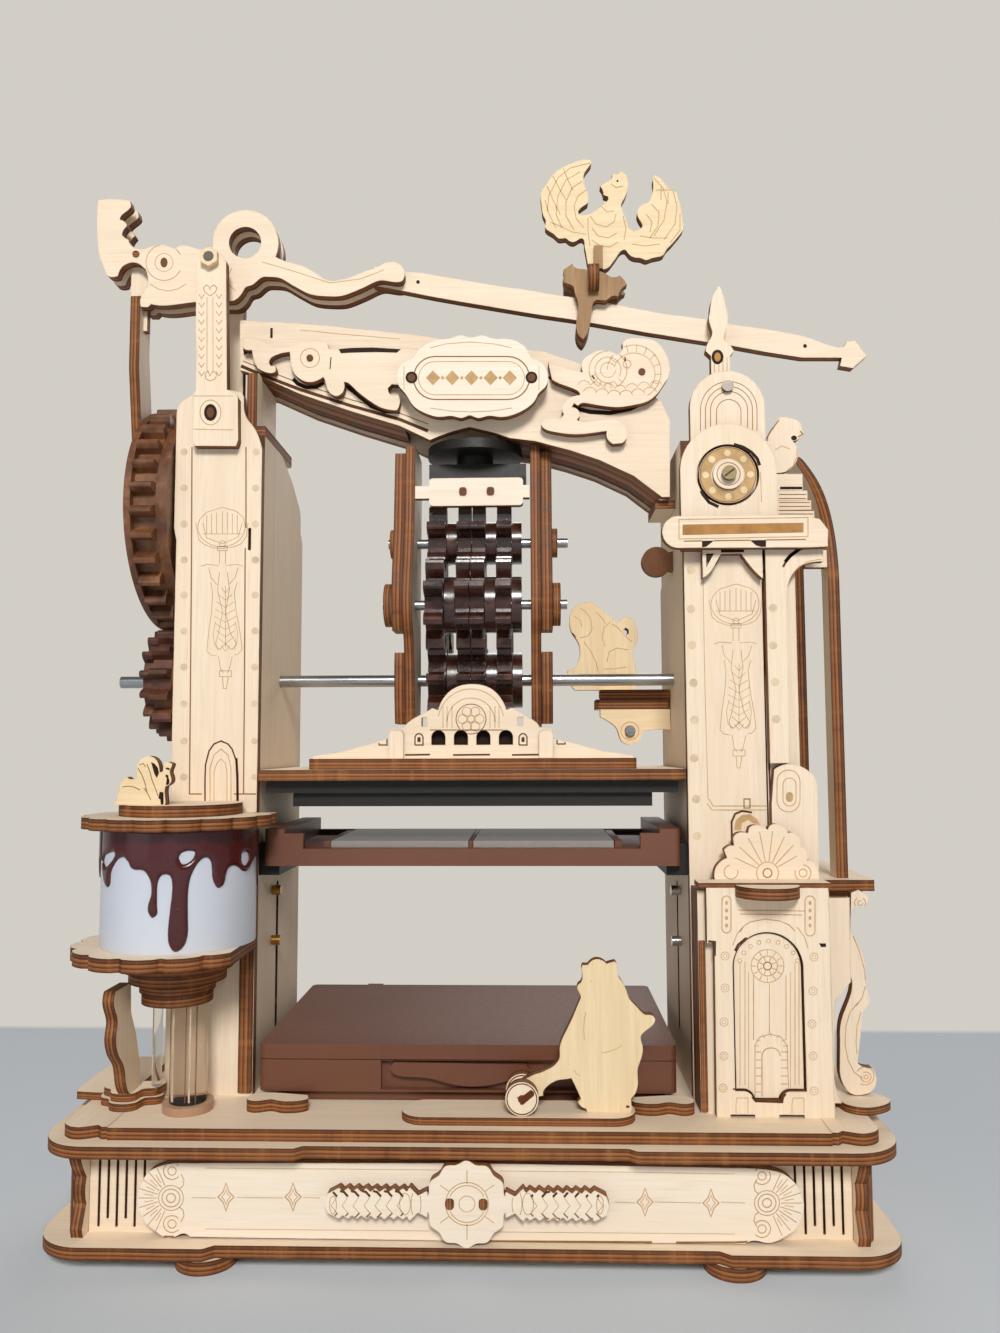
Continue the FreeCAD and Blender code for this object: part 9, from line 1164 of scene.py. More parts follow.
    ('s', 'cabinet_box', 'frame', 'LINE', 15.9, 0.2, True, [(81.93, 70.9), (81.8, 69.97), (81.46, 69.08), (80.94, 68.29), (80.25, 67.62), (79.43, 67.12), (78.53, 66.81), (77.58, 66.7), (76.64, 66.8), (75.75, 67.11), (74.96, 67.6), (74.3, 68.26), (73.82, 69.06), (73.52, 69.94), (73.44, 70.87), (73.57, 71.81), (73.9, 72.7), (74.43, 73.5), (75.11, 74.16), (75.93, 74.67), (76.84, 74.98), (77.79, 75.09), (78.73, 74.98), (79.62, 74.68), (80.42, 74.18), (81.07, 73.51), (81.56, 72.72), (81.85, 71.83)]),
    ('s', 'cabinet_box', 'frame', 'LINE', 15.9, 0.24, True, [(80.26, 70.9), (80.11, 70.11), (79.73, 69.4), (79.15, 68.84), (78.42, 68.47), (77.62, 68.35), (76.83, 68.47), (76.12, 68.83), (75.57, 69.39), (75.22, 70.09), (75.11, 70.88), (75.26, 71.67), (75.64, 72.38), (76.22, 72.94), (76.95, 73.3), (77.75, 73.43), (78.54, 73.31), (79.25, 72.95), (79.81, 72.39), (80.15, 71.68)]),
    ('s', 'cabinet_box', 'frame', 'MID', 15.9, 0.28, True, [(78.72, 70.89), (78.57, 70.38), (78.18, 70.01), (77.66, 69.87), (77.15, 70.01), (76.78, 70.38), (76.66, 70.88), (76.81, 71.39), (77.19, 71.77), (77.71, 71.9), (78.22, 71.77), (78.59, 71.4)]),
    ('s', 'cabinet_box', 'frame', 'LINE', 15.9, 0.22, False, [(78.86, 70.4), (79.92, 69.97)]),
    ('s', 'cabinet_box', 'frame', 'LINE', 15.9, 0.22, False, [(78.15, 69.72), (78.57, 68.66)]),
    ('s', 'cabinet_box', 'frame', 'LINE', 15.9, 0.22, False, [(77.17, 69.71), (76.7, 68.65)]),
    ('s', 'cabinet_box', 'frame', 'LINE', 15.9, 0.22, False, [(76.49, 70.4), (75.4, 69.96)]),
    ('s', 'cabinet_box', 'frame', 'LINE', 15.9, 0.22, False, [(76.51, 71.37), (75.45, 71.81)]),
    ('s', 'cabinet_box', 'frame', 'LINE', 15.9, 0.22, False, [(77.22, 72.06), (76.8, 73.12)]),
    ('s', 'cabinet_box', 'frame', 'LINE', 15.9, 0.22, False, [(78.21, 72.06), (78.68, 73.12)]),
    ('s', 'cabinet_box', 'frame', 'LINE', 15.9, 0.22, False, [(78.89, 71.38), (79.97, 71.82)]),
    ('s', 'cabinet_box', 'frame', 'LINE', 15.9, 0.2, False, [(80.52, 70.9), (81.8, 70.9)]),
    ('s', 'cabinet_box', 'frame', 'LINE', 15.9, 0.2, False, [(80.1, 69.5), (81.2, 68.87)]),
    ('s', 'cabinet_box', 'frame', 'LINE', 15.9, 0.2, False, [(79.04, 68.47), (79.66, 67.38)]),
    ('s', 'cabinet_box', 'frame', 'LINE', 15.9, 0.2, False, [(77.62, 68.09), (77.59, 66.83)]),
    ('s', 'cabinet_box', 'frame', 'LINE', 15.9, 0.2, False, [(76.21, 68.46), (75.54, 67.36)]),
    ('s', 'cabinet_box', 'frame', 'LINE', 15.9, 0.2, False, [(75.2, 69.48), (74.07, 68.84)]),
    ('s', 'cabinet_box', 'frame', 'LINE', 15.9, 0.2, False, [(74.85, 70.88), (73.57, 70.87)]),
    ('s', 'cabinet_box', 'frame', 'LINE', 15.9, 0.2, False, [(75.27, 72.28), (74.17, 72.91)]),
    ('s', 'cabinet_box', 'frame', 'LINE', 15.9, 0.2, False, [(76.33, 73.31), (75.71, 74.41)]),
    ('s', 'cabinet_box', 'frame', 'LINE', 15.9, 0.2, False, [(77.75, 73.69), (77.78, 74.96)]),
    ('s', 'cabinet_box', 'frame', 'LINE', 15.9, 0.2, False, [(79.16, 73.31), (79.83, 74.42)]),
    ('s', 'cabinet_box', 'frame', 'LINE', 15.9, 0.2, False, [(80.17, 72.29), (81.3, 72.93)]),
    ('s', 'cabinet_box', 'frame', 'LINE', 15.9, 0.2, False, [(78.1, 66.57), (77.79, 53.94)]),
    ('s', 'cabinet_box', 'frame', 'LINE', 15.9, 0.22, False, [(73.69, 37.64), (74, 50.91), (75.33, 52.93), (77.91, 53.69), (80.71, 52.95), (82.19, 50.95), (82.36, 37.7)]),
    ('s', 'cabinet_box', 'frame', 'LINE', 15.9, 0.28, False, [(80.04, 36.69), (79.96, 36.18), (79.74, 35.69), (79.41, 35.28), (78.98, 34.96), (78.48, 34.76), (77.95, 34.69), (77.45, 34.68), (76.92, 34.75), (76.43, 34.94), (76.02, 35.25), (75.71, 35.66), (75.51, 36.14), (75.46, 36.66), (75.73, 48.16), (75.81, 48.68), (76.03, 49.16), (76.36, 49.58), (76.79, 49.9), (77.29, 50.1), (77.82, 50.18), (78.34, 50.18), (78.86, 50.11), (79.35, 49.91), (79.77, 49.6), (80.08, 49.18), (80.27, 48.7), (80.33, 48.18)]),
    ('s', 'cabinet_box', 'frame', 'LINE', 15.9, 0.22, False, [(74.22, 49.15), (75.5, 49.16)]),
    ('s', 'cabinet_box', 'frame', 'LINE', 15.9, 0.22, False, [(80.61, 49.19), (82.4, 49.2)]),
    ('s', 'cabinet_box', 'frame', 'LINE', 15.9, 0.22, False, [(74.17, 47.14), (75.45, 47.15)]),
    ('s', 'cabinet_box', 'frame', 'LINE', 15.9, 0.22, False, [(80.56, 47.18), (82.35, 47.19)]),
    ('s', 'cabinet_box', 'frame', 'LINE', 15.9, 0.22, False, [(74.12, 45.14), (75.4, 45.15)]),
    ('s', 'cabinet_box', 'frame', 'LINE', 15.9, 0.22, False, [(80.51, 45.18), (82.3, 45.19)]),
    ('s', 'cabinet_box', 'frame', 'LINE', 15.9, 0.22, False, [(74.08, 43.14), (75.35, 43.15)]),
    ('s', 'cabinet_box', 'frame', 'LINE', 15.9, 0.22, False, [(80.46, 43.18), (82.24, 43.19)]),
    ('s', 'cabinet_box', 'frame', 'LINE', 15.9, 0.22, False, [(74.03, 41.14), (75.31, 41.15)]),
    ('s', 'cabinet_box', 'frame', 'LINE', 15.9, 0.22, False, [(80.41, 41.18), (82.19, 41.19)]),
    ('s', 'cabinet_box', 'frame', 'LINE', 15.9, 0.22, False, [(73.98, 39.14), (75.26, 39.15)]),
    ('s', 'cabinet_box', 'frame', 'LINE', 15.9, 0.22, False, [(80.36, 39.18), (82.14, 39.2)]),
    ('s', 'cabinet_box', 'frame', 'LINE', 15.9, 0.16, False, [(75.02, 50.66), (73.74, 50.66)]),
    ('s', 'cabinet_box', 'frame', 'LINE', 15.9, 0.16, False, [(75.46, 51.8), (74.36, 52.29)]),
    ('s', 'cabinet_box', 'frame', 'LINE', 15.9, 0.16, False, [(76.6, 52.63), (75.98, 53.5)]),
    ('s', 'cabinet_box', 'frame', 'LINE', 15.9, 0.16, False, [(78.15, 52.94), (78.17, 53.95)]),
    ('s', 'cabinet_box', 'frame', 'LINE', 15.9, 0.16, False, [(79.68, 52.64), (80.34, 53.52)]),
    ('s', 'cabinet_box', 'frame', 'LINE', 15.9, 0.16, False, [(80.78, 51.82), (81.9, 52.33)]),
    ('s', 'cabinet_box', 'frame', 'LINE', 15.9, 0.16, False, [(81.16, 50.7), (82.44, 50.7)]),
    ('s', 'cabinet_box', 'frame', 'LINE', 15.9, 0.16, True, [(71.06, 72.25), (70.9, 71.89), (70.53, 71.74), (70.17, 71.89), (70.03, 72.25), (70.19, 72.61), (70.56, 72.76), (70.92, 72.61)]),
    ('s', 'cabinet_box', 'frame', 'LINE', 15.9, 0.16, True, [(72.17, 74.26), (72.01, 73.89), (71.64, 73.74), (71.28, 73.89), (71.14, 74.25), (71.29, 74.61), (71.66, 74.76), (72.02, 74.62)]),
    ('s', 'cabinet_box', 'frame', 'LINE', 15.9, 0.16, True, [(73.92, 75.86), (73.77, 75.5), (73.4, 75.35), (73.04, 75.5), (72.89, 75.86), (73.05, 76.22), (73.42, 76.37), (73.78, 76.22)]),
    ('s', 'cabinet_box', 'frame', 'LINE', 15.9, 0.16, True, [(76.15, 76.89), (75.99, 76.53), (75.62, 76.38), (75.26, 76.53), (75.12, 76.89), (75.28, 77.25), (75.65, 77.4), (76.01, 77.26)]),
    ('s', 'cabinet_box', 'frame', 'LINE', 15.9, 0.16, True, [(78.61, 77.26), (78.45, 76.9), (78.09, 76.74), (77.72, 76.89), (77.58, 77.25), (77.74, 77.62), (78.11, 77.77), (78.47, 77.62)]),
    ('s', 'cabinet_box', 'frame', 'LINE', 15.9, 0.16, True, [(81.06, 76.91), (80.9, 76.55), (80.53, 76.39), (80.17, 76.54), (80.03, 76.9), (80.19, 77.26), (80.56, 77.42), (80.92, 77.27)]),
    ('s', 'cabinet_box', 'frame', 'LINE', 15.9, 0.16, True, [(83.23, 75.88), (83.07, 75.52), (82.7, 75.37), (82.34, 75.52), (82.2, 75.88), (82.36, 76.24), (82.73, 76.39), (83.09, 76.24)]),
    ('s', 'cabinet_box', 'frame', 'LINE', 15.9, 0.16, True, [(84.9, 74.29), (84.74, 73.93), (84.38, 73.78), (84.02, 73.93), (83.88, 74.29), (84.04, 74.65), (84.4, 74.8), (84.76, 74.65)]),
    ('s', 'cabinet_box', 'frame', 'LINE', 15.9, 0.16, True, [(85.91, 72.3), (85.75, 71.94), (85.38, 71.79), (85.02, 71.93), (84.88, 72.29), (85.04, 72.65), (85.41, 72.8), (85.77, 72.65)]),
    ('s', 'cabinet_box', 'frame', 'LINE', 15.9, 0.16, False, [(72.76, 69.35), (72.09, 40.13)]),
    ('s', 'cabinet_box', 'frame', 'LINE', 15.9, 0.16, False, [(83.56, 69.38), (82.8, 40.2)]),
    ('s', 'cabinet_front', 'frame', 'LINE', 15, 0.18, False, [(68.57, 32.94), (68.64, 36.42), (68.93, 37.91), (71.73, 37.93), (71.61, 32.97)]),
    ('s', 'cabinet_front', 'frame', 'LINE', 15, 0.18, False, [(82.77, 33.05), (82.86, 36.52), (83.16, 38.01), (85.94, 38.03), (85.81, 33.07)]),
    ('p', 'cabinet_front', 'frame', 'LINE', 15, 0.04, True, [(67.68, 87.1), (67.6, 86.79), (67.4, 86.59), (67.16, 86.59), (66.97, 86.78), (66.91, 87.1), (66.99, 87.42), (67.18, 87.61), (67.42, 87.61), (67.61, 87.42)]),
    ('p', 'cabinet_front', 'frame', 'LINE', 15, 0.04, True, [(67.64, 85.18), (67.56, 84.87), (67.36, 84.67), (67.12, 84.67), (66.93, 84.86), (66.86, 85.18), (66.95, 85.5), (67.14, 85.69), (67.38, 85.69), (67.57, 85.5)]),
    ('p', 'cabinet_front', 'frame', 'LINE', 15, 0.04, True, [(67.6, 83.26), (67.52, 82.95), (67.32, 82.75), (67.08, 82.75), (66.89, 82.95), (66.82, 83.26), (66.91, 83.58), (67.1, 83.77), (67.34, 83.77), (67.53, 83.58)]),
    ('p', 'cabinet_front', 'frame', 'LINE', 15, 0.04, True, [(67.56, 81.35), (67.48, 81.03), (67.28, 80.84), (67.04, 80.84), (66.85, 81.03), (66.78, 81.35), (66.87, 81.66), (67.06, 81.86), (67.3, 81.86), (67.49, 81.66)]),
    ('p', 'cabinet_front', 'frame', 'LINE', 15, 0.04, True, [(89.2, 87.13), (89.12, 86.81), (88.92, 86.62), (88.68, 86.62), (88.49, 86.81), (88.43, 87.13), (88.51, 87.44), (88.71, 87.64), (88.95, 87.64), (89.13, 87.44)]),
    ('p', 'cabinet_front', 'frame', 'LINE', 15, 0.04, True, [(89.15, 85.21), (89.06, 84.9), (88.87, 84.7), (88.63, 84.7), (88.44, 84.9), (88.38, 85.21), (88.46, 85.53), (88.66, 85.72), (88.89, 85.72), (89.08, 85.53)]),
    ('p', 'cabinet_front', 'frame', 'LINE', 15, 0.04, True, [(89.09, 83.3), (89.01, 82.98), (88.81, 82.79), (88.58, 82.79), (88.39, 82.98), (88.32, 83.3), (88.41, 83.61), (88.6, 83.81), (88.84, 83.81), (89.03, 83.61)]),
    ('p', 'cabinet_front', 'frame', 'LINE', 15, 0.04, True, [(89.04, 81.39), (88.96, 81.07), (88.76, 80.88), (88.52, 80.88), (88.34, 81.07), (88.27, 81.39), (88.35, 81.7), (88.55, 81.9), (88.79, 81.9), (88.98, 81.7)]),
    ('s', 'monkey_bracket', 'frame', 'LINE', 64, 0.24, False, [(32.38, 171.43), (34.26, 170.15), (35.81, 167.6), (36.09, 164.42), (34.81, 162.53), (32.29, 161.92)]),
    ('s', 'monkey_bracket', 'frame', 'LINE', 64, 0.24, False, [(30.47, 168.91), (32.35, 167.62), (32.95, 165.4)]),
    ('s', 'monkey_bracket', 'frame', 'LINE', 64, 0.24, False, [(41.77, 166.92), (39.86, 165.03), (39.2, 161.87), (40.11, 159.33)]),
    ('s', 'monkey_bracket', 'frame', 'LINE', 64, 0.24, False, [(42.39, 166.28), (44.26, 165), (46.11, 162.77), (48.59, 160.54)]),
    ('s', 'monkey_bracket', 'frame', 'LINE', 64, 0.24, False, [(33.54, 160.64), (35.39, 158.1), (37.23, 154.3), (37.83, 151.47)]),
    ('s', 'monkey_bracket', 'frame', 'LINE', 64, 0.24, False, [(40.68, 154.28), (41.34, 157.43), (43.86, 158.68), (47.3, 158.02)]),
    ('s', 'monkey_bracket', 'frame', 'LINE', 64, 0.24, False, [(39.71, 152.08), (42.84, 152.07), (46.6, 152.67)]),
    ('s', 'monkey_bracket', 'frame', 'LINE', 64, 0.24, False, [(37.41, 170.12), (39.27, 168.2), (40.51, 166.29)]),
    ('s', 'monkey_bracket', 'frame', 'DARK', 64, 0.45, False, [(46.45, 164.98), (47.38, 164.34), (47.37, 163.08)]),
    ('s', 'monkey_bracket', 'frame', 'BURN', 64, 0.35, False, [(29.48, 163.84), (30.73, 162.56), (31.64, 160.02), (31.93, 157.49)]),
    ('p', 'lamp_figure', 'frame', 'DARK', 8, 0.04, True, [(-82.29, 124.16), (-81.22, 123.64), (-80.41, 122.6), (-80.11, 121.31), (-80.61, 120.01), (-81.29, 121.05), (-81.72, 122.61)]),
    ('p', 'lamp_figure', 'frame', 'DARK', 8, 0.04, True, [(-78.55, 121.82), (-77.49, 121.56), (-77.46, 120.52), (-76.91, 119.23), (-77.01, 117.94), (-77.79, 117.29), (-78.44, 117.42), (-77.95, 118.71), (-78.12, 120.27), (-78.79, 121.04)]),
    ('p', 'lamp_figure', 'frame', 'DARK', 8, 0.04, True, [(-80.02, 117.17), (-78.57, 117.03), (-78.78, 114.84), (-78.46, 112.52), (-79.51, 112.52), (-79.69, 114.33), (-80.49, 114.84)]),
    ('p', 'lamp_figure', 'frame', 'DARK', 8, 0.04, True, [(-78.83, 122.73), (-77.78, 122.85), (-76.85, 122.38), (-77.36, 121.92), (-78.29, 122.18)]),
    ('s', 'lamp_figure', 'frame', 'MID', 8, 0.22, False, [(-85.68, 122.62), (-84.58, 120.8), (-83.74, 118.73), (-83.15, 116.4)]),
    ('s', 'lamp_figure', 'frame', 'MID', 8, 0.22, False, [(-83.33, 123.65), (-82.49, 121.57), (-81.91, 119.5), (-80.8, 116.91), (-80.24, 115.36)]),
    ('s', 'lamp_figure', 'frame', 'MID', 8, 0.22, False, [(-89.77, 117.71), (-88.19, 117.96), (-86.61, 117.7), (-85.01, 116.92)]),
    ('s', 'lamp_figure', 'frame', 'MID', 8, 0.22, False, [(-83.97, 117.43), (-82.88, 115.88), (-82.05, 114.33)]),
    ('s', 'lamp_figure', 'frame', 'MID', 8, 0.22, False, [(-85.43, 123.4), (-84.39, 123.78), (-83.57, 122.87)]),
    ('s', 'monkey_bracket', 'frame', 'LINE', 61, 0.26, True, [(50.06, 132.57), (49.88, 131.62), (49.39, 130.79), (48.64, 130.17), (47.74, 129.85), (46.77, 129.85), (45.87, 130.18), (45.14, 130.81), (44.67, 131.64), (44.52, 132.59), (44.7, 133.54), (45.19, 134.38), (45.94, 135), (46.85, 135.32), (47.81, 135.32), (48.71, 134.98), (49.44, 134.36), (49.91, 133.52)]),
    ('s', 'monkey_bracket', 'frame', 'MID', 61, 0.26, True, [(48.89, 132.58), (48.73, 131.88), (48.27, 131.33), (47.63, 131.02), (46.91, 131.02), (46.28, 131.33), (45.84, 131.89), (45.69, 132.59), (45.86, 133.29), (46.31, 133.84), (46.96, 134.15), (47.67, 134.15), (48.31, 133.83), (48.75, 133.27)]),
]

MID = ink("middle_engraved_line_and_painted_shade", "8E653A", 0.75)
TAN = ink("tan_engraved_field", "C6A272", 0.75)
RIV = ink("faint_rivet_disc", "DCC5A6", 0.7)
FIELD = ink("brown_crossbar_field", "B3824A", 0.7)
INKS = {"LINE": LINE, "MID": MID, "BURN": BURN, "DARK": DARK, "PEG": PEG, "TAN": TAN, "RIV": RIV,
        "FIELD": FIELD}

from mathutils.bvhtree import BVHTree  # noqa: E402

TREES = {}


def tree_of(node):
    if node not in TREES:
        me = NODES[node].data
        TREES[node] = BVHTree.FromPolygons([v.co.copy() for v in me.vertices],
                                           [tuple(p.vertices) for p in me.polygons])
    return TREES[node]


DIRS = {"XZ": (0, 1, 0), "XZ+": (0, -1, 0), "YZ": (-1, 0, 0), "YZ-": (1, 0, 0), "XY": (0, 0, -1),
        "XY-": (0, 0, 1)}


def lies_on(node, plane, at, u, v):
    """Whether a point of a plane is on the node's surface there."""
    o = Vector(lift(plane, at, u, v, 0.6))
    hit = tree_of(node).ray_cast(o, Vector(DIRS[plane]), 0.0014)
    return hit[0] is not None and abs(hit[3] - 0.0006) < 0.00006


def clipped(node, plane, at, pts, closed, step=0.5):
    """The stretches of a line that lie on the node's surface."""
    if closed:
        pts = list(pts) + [pts[0]]
    flat = []
    for i in range(len(pts) - 1):
        a, b = pts[i], pts[i + 1]
        n = max(1, int(math.hypot(b[0] - a[0], b[1] - a[1]) / step))
        for k in range(n):
            flat.append((a[0] + (b[0] - a[0]) * k / n, a[1] + (b[1] - a[1]) * k / n, k == 0))
    flat.append((pts[-1][0], pts[-1][1], True))
    ok = [lies_on(node, plane, at, u, v) for u, v, _ in flat]
    if all(ok):
        return [(pts[:-1] if closed else pts, closed)]
    runs, cur = [], []
    for (u, v, corner), good in zip(flat, ok):
        if good:
            cur.append((u, v, corner))
        elif cur:
            runs.append(cur)
            cur = []
    if cur:
        runs.append(cur)
    out = []
    for r in runs:
        if len(r) < 2:
            continue
        out.append(([(u, v) for i, (u, v, c_) in enumerate(r) if c_ or i in (0, len(r) - 1)], False))
    return out


def engrave(art, plane="XZ", tag="art"):
    """Raises each line and field of a list on its node, one piece for each node and colour."""
    groups = {}
    for it in art:
        groups.setdefault((it[1], it[2], it[3]), []).append(it)
    for (node, body, col), items in groups.items():
        bm = bmesh.new()
        for kind, _, _, _, at, w, closed, pts in items:
            if kind == "s":
                for run, cl in clipped(node, plane, at, pts, closed):
                    add_strip(bm, plane, at, run, w, 0.03, cl)
                continue
            cx = sum(p[0] for p in pts) / len(pts)
            cy = sum(p[1] for p in pts) / len(pts)
            for k in (1.0, 0.9, 0.8, 0.7, 0.6):
                q = [(cx + (u - cx) * k, cy + (v - cy) * k) for u, v in pts]
                if all(lies_on(node, plane, at, u, v) for u, v in q):
                    add_patch(bm, plane, at, q, w)
                    break
            else:
                print("off surface", node, col, [round(c_, 1) for c_ in (cx, cy)])
        if bm.verts:
            make("%s_%s_%s" % (tag, node, col.lower()), bm, INKS[col], body)
        else:
            bm.free()


engrave(ART)

# ------------------------------------------------------------------ the lamp's glossy drips
from mathutils.geometry import delaunay_2d_cdt  # noqa: E402

LX, LY, LR = -77.9, 19.5, 20.0
LOW = [(-143.0, 97.2), (-139.6, 94.01), (-133.5, 92.44), (-129.0, 93.34), (-128.0, 96.38),
       (-122.1, 99.02), (-117.8, 100.1), (-113.8, 100.29), (-109.9, 99.23), (-107.2, 97.77),
       (-102.9, 97.32), (-99.0, 97.35), (-95.9, 96.88), (-92.8, 95.41), (-91.2, 93.68),
       (-91.0, 91.22), (-93.0, 88.76), (-92.9, 87.04), (-89.9, 85.58), (-86.4, 86.55),
       (-86.6, 88.76), (-86.8, 92.45), (-86.2, 94.42), (-84.2, 95.89), (-80.8, 96.24),
       (-78.0, 95.85), (-76.6, 94.36), (-76.4, 91.64), (-77.5, 87.47), (-78.6, 82.9),
       (-78.3, 79.7), (-76.2, 77.9), (-73.4, 77.1), (-70.0, 77.5), (-66.7, 78.9), (-64.9, 81.7),
       (-65.2, 86.03), (-65.4, 90.97), (-64.3, 94.67), (-61.0, 97.59), (-56.8, 99.5),
       (-52.5, 100.03), (-49.4, 98.83), (-48.5, 96.79), (-47.6, 94.26), (-43.6, 92.11),
       (-38.7, 92.95), (-37.0, 94.92), (-35.4, 96.64), (-30.7, 97.38), (-25.6, 96.81),
       (-19.7, 95.56), (-12.8, 95.55), (-6.0, 97.38), (3.0, 98.9)]
# the same kind of drips go on round the side that the front view hides
LOW += [(7.0, 97.2), (10.0, 92.6), (13.0, 90.0), (17.0, 90.8), (19.0, 94.8), (23.0, 97.8),
        (30.0, 99.6), (36.0, 98.2), (41.0, 96.6), (47.0, 96.8), (51.0, 94.0), (53.0, 86.6),
        (56.0, 83.0), (60.5, 83.6), (62.5, 88.2), (63.5, 94.0), (68.0, 97.9), (77.0, 99.7),
        (84.0, 98.2), (88.0, 95.2), (93.0, 94.2), (97.0, 96.4), (103.0, 98.8), (112.0, 99.8),
        (118.0, 97.6), (121.0, 92.4), (125.0, 89.0), (129.5, 90.2), (131.0, 94.8), (136.0, 98.2),
        (145.0, 99.9), (152.0, 98.0), (157.0, 95.8), (163.0, 96.4), (168.0, 98.8), (176.0, 100.0),
        (184.0, 98.6), (190.0, 95.0), (195.0, 93.4), (200.0, 95.2), (204.0, 98.2), (209.0, 99.4),
        (214.5, 98.6)]
HOLES = [[(-136.2, 97.41), (-140.7, 98.55), (-138.8, 100.13), (-131.7, 101.07), (-124.8, 101.48),
          (-124.0, 100.49), (-128.4, 98.88)],
         [(-71.4, 99.49), (-72.1, 100.49), (-70.2, 101.46), (-66.1, 101.91), (-61.9, 101.72),
          (-61.2, 101.08), (-63.2, 99.62), (-67.3, 98.69), (-70.0, 98.73)],
         [(-17.5, 100.54), (-13.2, 100.01), (-11.5, 98.37), (-14.5, 97.18), (-17.2, 96.89),
          (-21.1, 97.68), (-22.4, 99.02), (-21.3, 100.28)],
         [(72.0, 101.2), (80.0, 101.4), (84.0, 100.9), (80.0, 100.3), (74.0, 100.4)]]


def rounded(pts, closed, step):
    """A Catmull-Rom line through points, sampled evenly."""
    n = len(pts)
    out = []
    last = n if closed else n - 1
    for i in range(last):
        p0 = pts[(i - 1) % n] if (closed or i > 0) else pts[i]
        p1, p2 = pts[i], pts[(i + 1) % n]
        p3 = pts[(i + 2) % n] if (closed or i < n - 2) else p2
        d = math.hypot(p2[0] - p1[0], p2[1] - p1[1])
        k = max(1, int(round(d / step)))
        for j in range(k):
            t = j / k
            out.append(tuple(0.5 * (2 * p1[m] + (p2[m] - p0[m]) * t +
                                    (2 * p0[m] - 5 * p1[m] + 4 * p2[m] - p3[m]) * t * t +
                                    (3 * p1[m] - p0[m] - 3 * p2[m] + p3[m]) * t ** 3) for m in (0, 1)))
    if not closed:
        out.append(tuple(pts[-1]))
    return out


def inside(poly_, x, y):
    r = False
    n = len(poly_)
    for i in range(n):
        (x1, y1), (x2, y2) = poly_[i], poly_[(i + 1) % n]
        if (y1 > y) != (y2 > y) and x < (x2 - x1) * (y - y1) / (y2 - y1) + x1:
            r = not r
    return r


def drips():
    k = math.radians(1.0) * LR                      # millimetres for a degree round the shade
    low = rounded([(a * k, z) for a, z in LOW], False, 0.45)
    x0, x1 = low[0][0], low[-1][0]
    zt = 106.8
    top = [(x1 + (x0 - x1) * i / 150.0, zt) for i in range(151)]
    side0 = [(x0, zt - (zt - low[0][1]) * (1 - j / 8.0)) for j in range(1, 8)]
    outer = low + [(x1, low[-1][1] + (zt - low[-1][1]) * j / 8.0) for j in range(1, 8)] + top + \
        [(x0, zt + (low[0][1] - zt) * j / 8.0) for j in range(1, 8)]
    holes = [rounded([(a * k, z) for a, z in h], True, 0.4) for h in HOLES]
    loops = [outer] + holes
    pts, edges = [], []
    for lp in loops:
        b = len(pts)
        pts += lp
        edges += [(b + i, b + (i + 1) % len(lp)) for i in range(len(lp))]
    border = np.array([p for p in pts if p[1] < zt - 0.01])
    grid = []
    nx = int((x1 - x0) / 0.55)
    for i in range(1, nx):
        for j in range(1, 56):
            x, z = x0 + (x1 - x0) * (i + 0.25 * (j % 2)) / nx, 76.6 + 0.54 * j
            if z > zt - 0.2 or not inside(outer, x, z) or any(inside(h, x, z) for h in holes):
                continue
            if np.min(np.hypot(border[:, 0] - x, border[:, 1] - z)) > 0.25:
                grid.append((x, z))
    allp = [Vector(p) for p in pts + grid]
    vs, _, fs, _, _, _ = delaunay_2d_cdt(allp, edges, [], 0, 1e-5)
    good = []
    for f in fs:
        cx = sum(vs[i][0] for i in f) / 3.0
        cz = sum(vs[i][1] for i in f) / 3.0
        if inside(outer, cx, cz) and not any(inside(h, cx, cz) for h in holes):
            good.append(tuple(f))
    used = sorted({i for f in good for i in f})
    at = {v: n for n, v in enumerate(used)}
    bm = bmesh.new()
    up, dn = [], []
    for i in used:
        x, z = vs[i]
        d = float(np.min(np.hypot(border[:, 0] - x, border[:, 1] - z)))
        e = min(1.0, d / 1.25)
        rise = 0.10 + 0.50 * math.sqrt(max(0.0, 1.0 - (1.0 - e) ** 2))
        a = x / LR
        for r, lst in ((LR + rise, up), (LR + 0.01, dn)):
            lst.append(bm.verts.new(P(LX + r * math.cos(a), LY + r * math.sin(a), z)))
    count = {}
    for f in good:
        a, b, c_ = (at[i] for i in f)
        bm.faces.new((up[a], up[b], up[c_]))
        bm.faces.new((dn[c_], dn[b], dn[a]))
        for e in ((a, b), (b, c_), (c_, a)):
            count[tuple(sorted(e))] = count.get(tuple(sorted(e)), []) + [e]
    for e in count.values():
        if len(e) == 1:
            a, b = e[0]
            bm.faces.new((up[b], up[a], dn[a], dn[b]))
    return make("shade_drips", bm, MAROON, "frame", True)


drips()

# ------------------------------------------------------------------ dial
WHITE_SCREW = DARK
dx_, dz_ = 72.1, 203.3
bm = bmesh.new()
add_strip(bm, "XZ", 25.4, ring_pts(dx_, dz_, 6.2, 60), 3.1, 0.03, True)
make("dial_ring_field", bm, TAN, "dial")
bm = bmesh.new()
for k in range(8):
    a = math.radians(22.5 * 0 + 45 * k + 90)
    add_patch(bm, "XZ", 25.4, ring_pts(dx_ + 6.2 * math.cos(a), dz_ + 6.2 * math.sin(a), 0.95, 16), 0.07)
make("dial_dots", bm, ink("pale_engraved_dot", "E7CFA6", 0.7), "dial")
bm = bmesh.new()
add_strip(bm, "XZ", 25.4, ring_pts(dx_, dz_, 7.75, 60), 0.25, 0.04, True)
add_strip(bm, "XZ", 24.5, ring_pts(dx_, dz_, 3.2, 40), 0.22, 0.03, True)
make("dial_lines", bm, MID, "dial")
bm = bmesh.new()
a = math.radians(38)
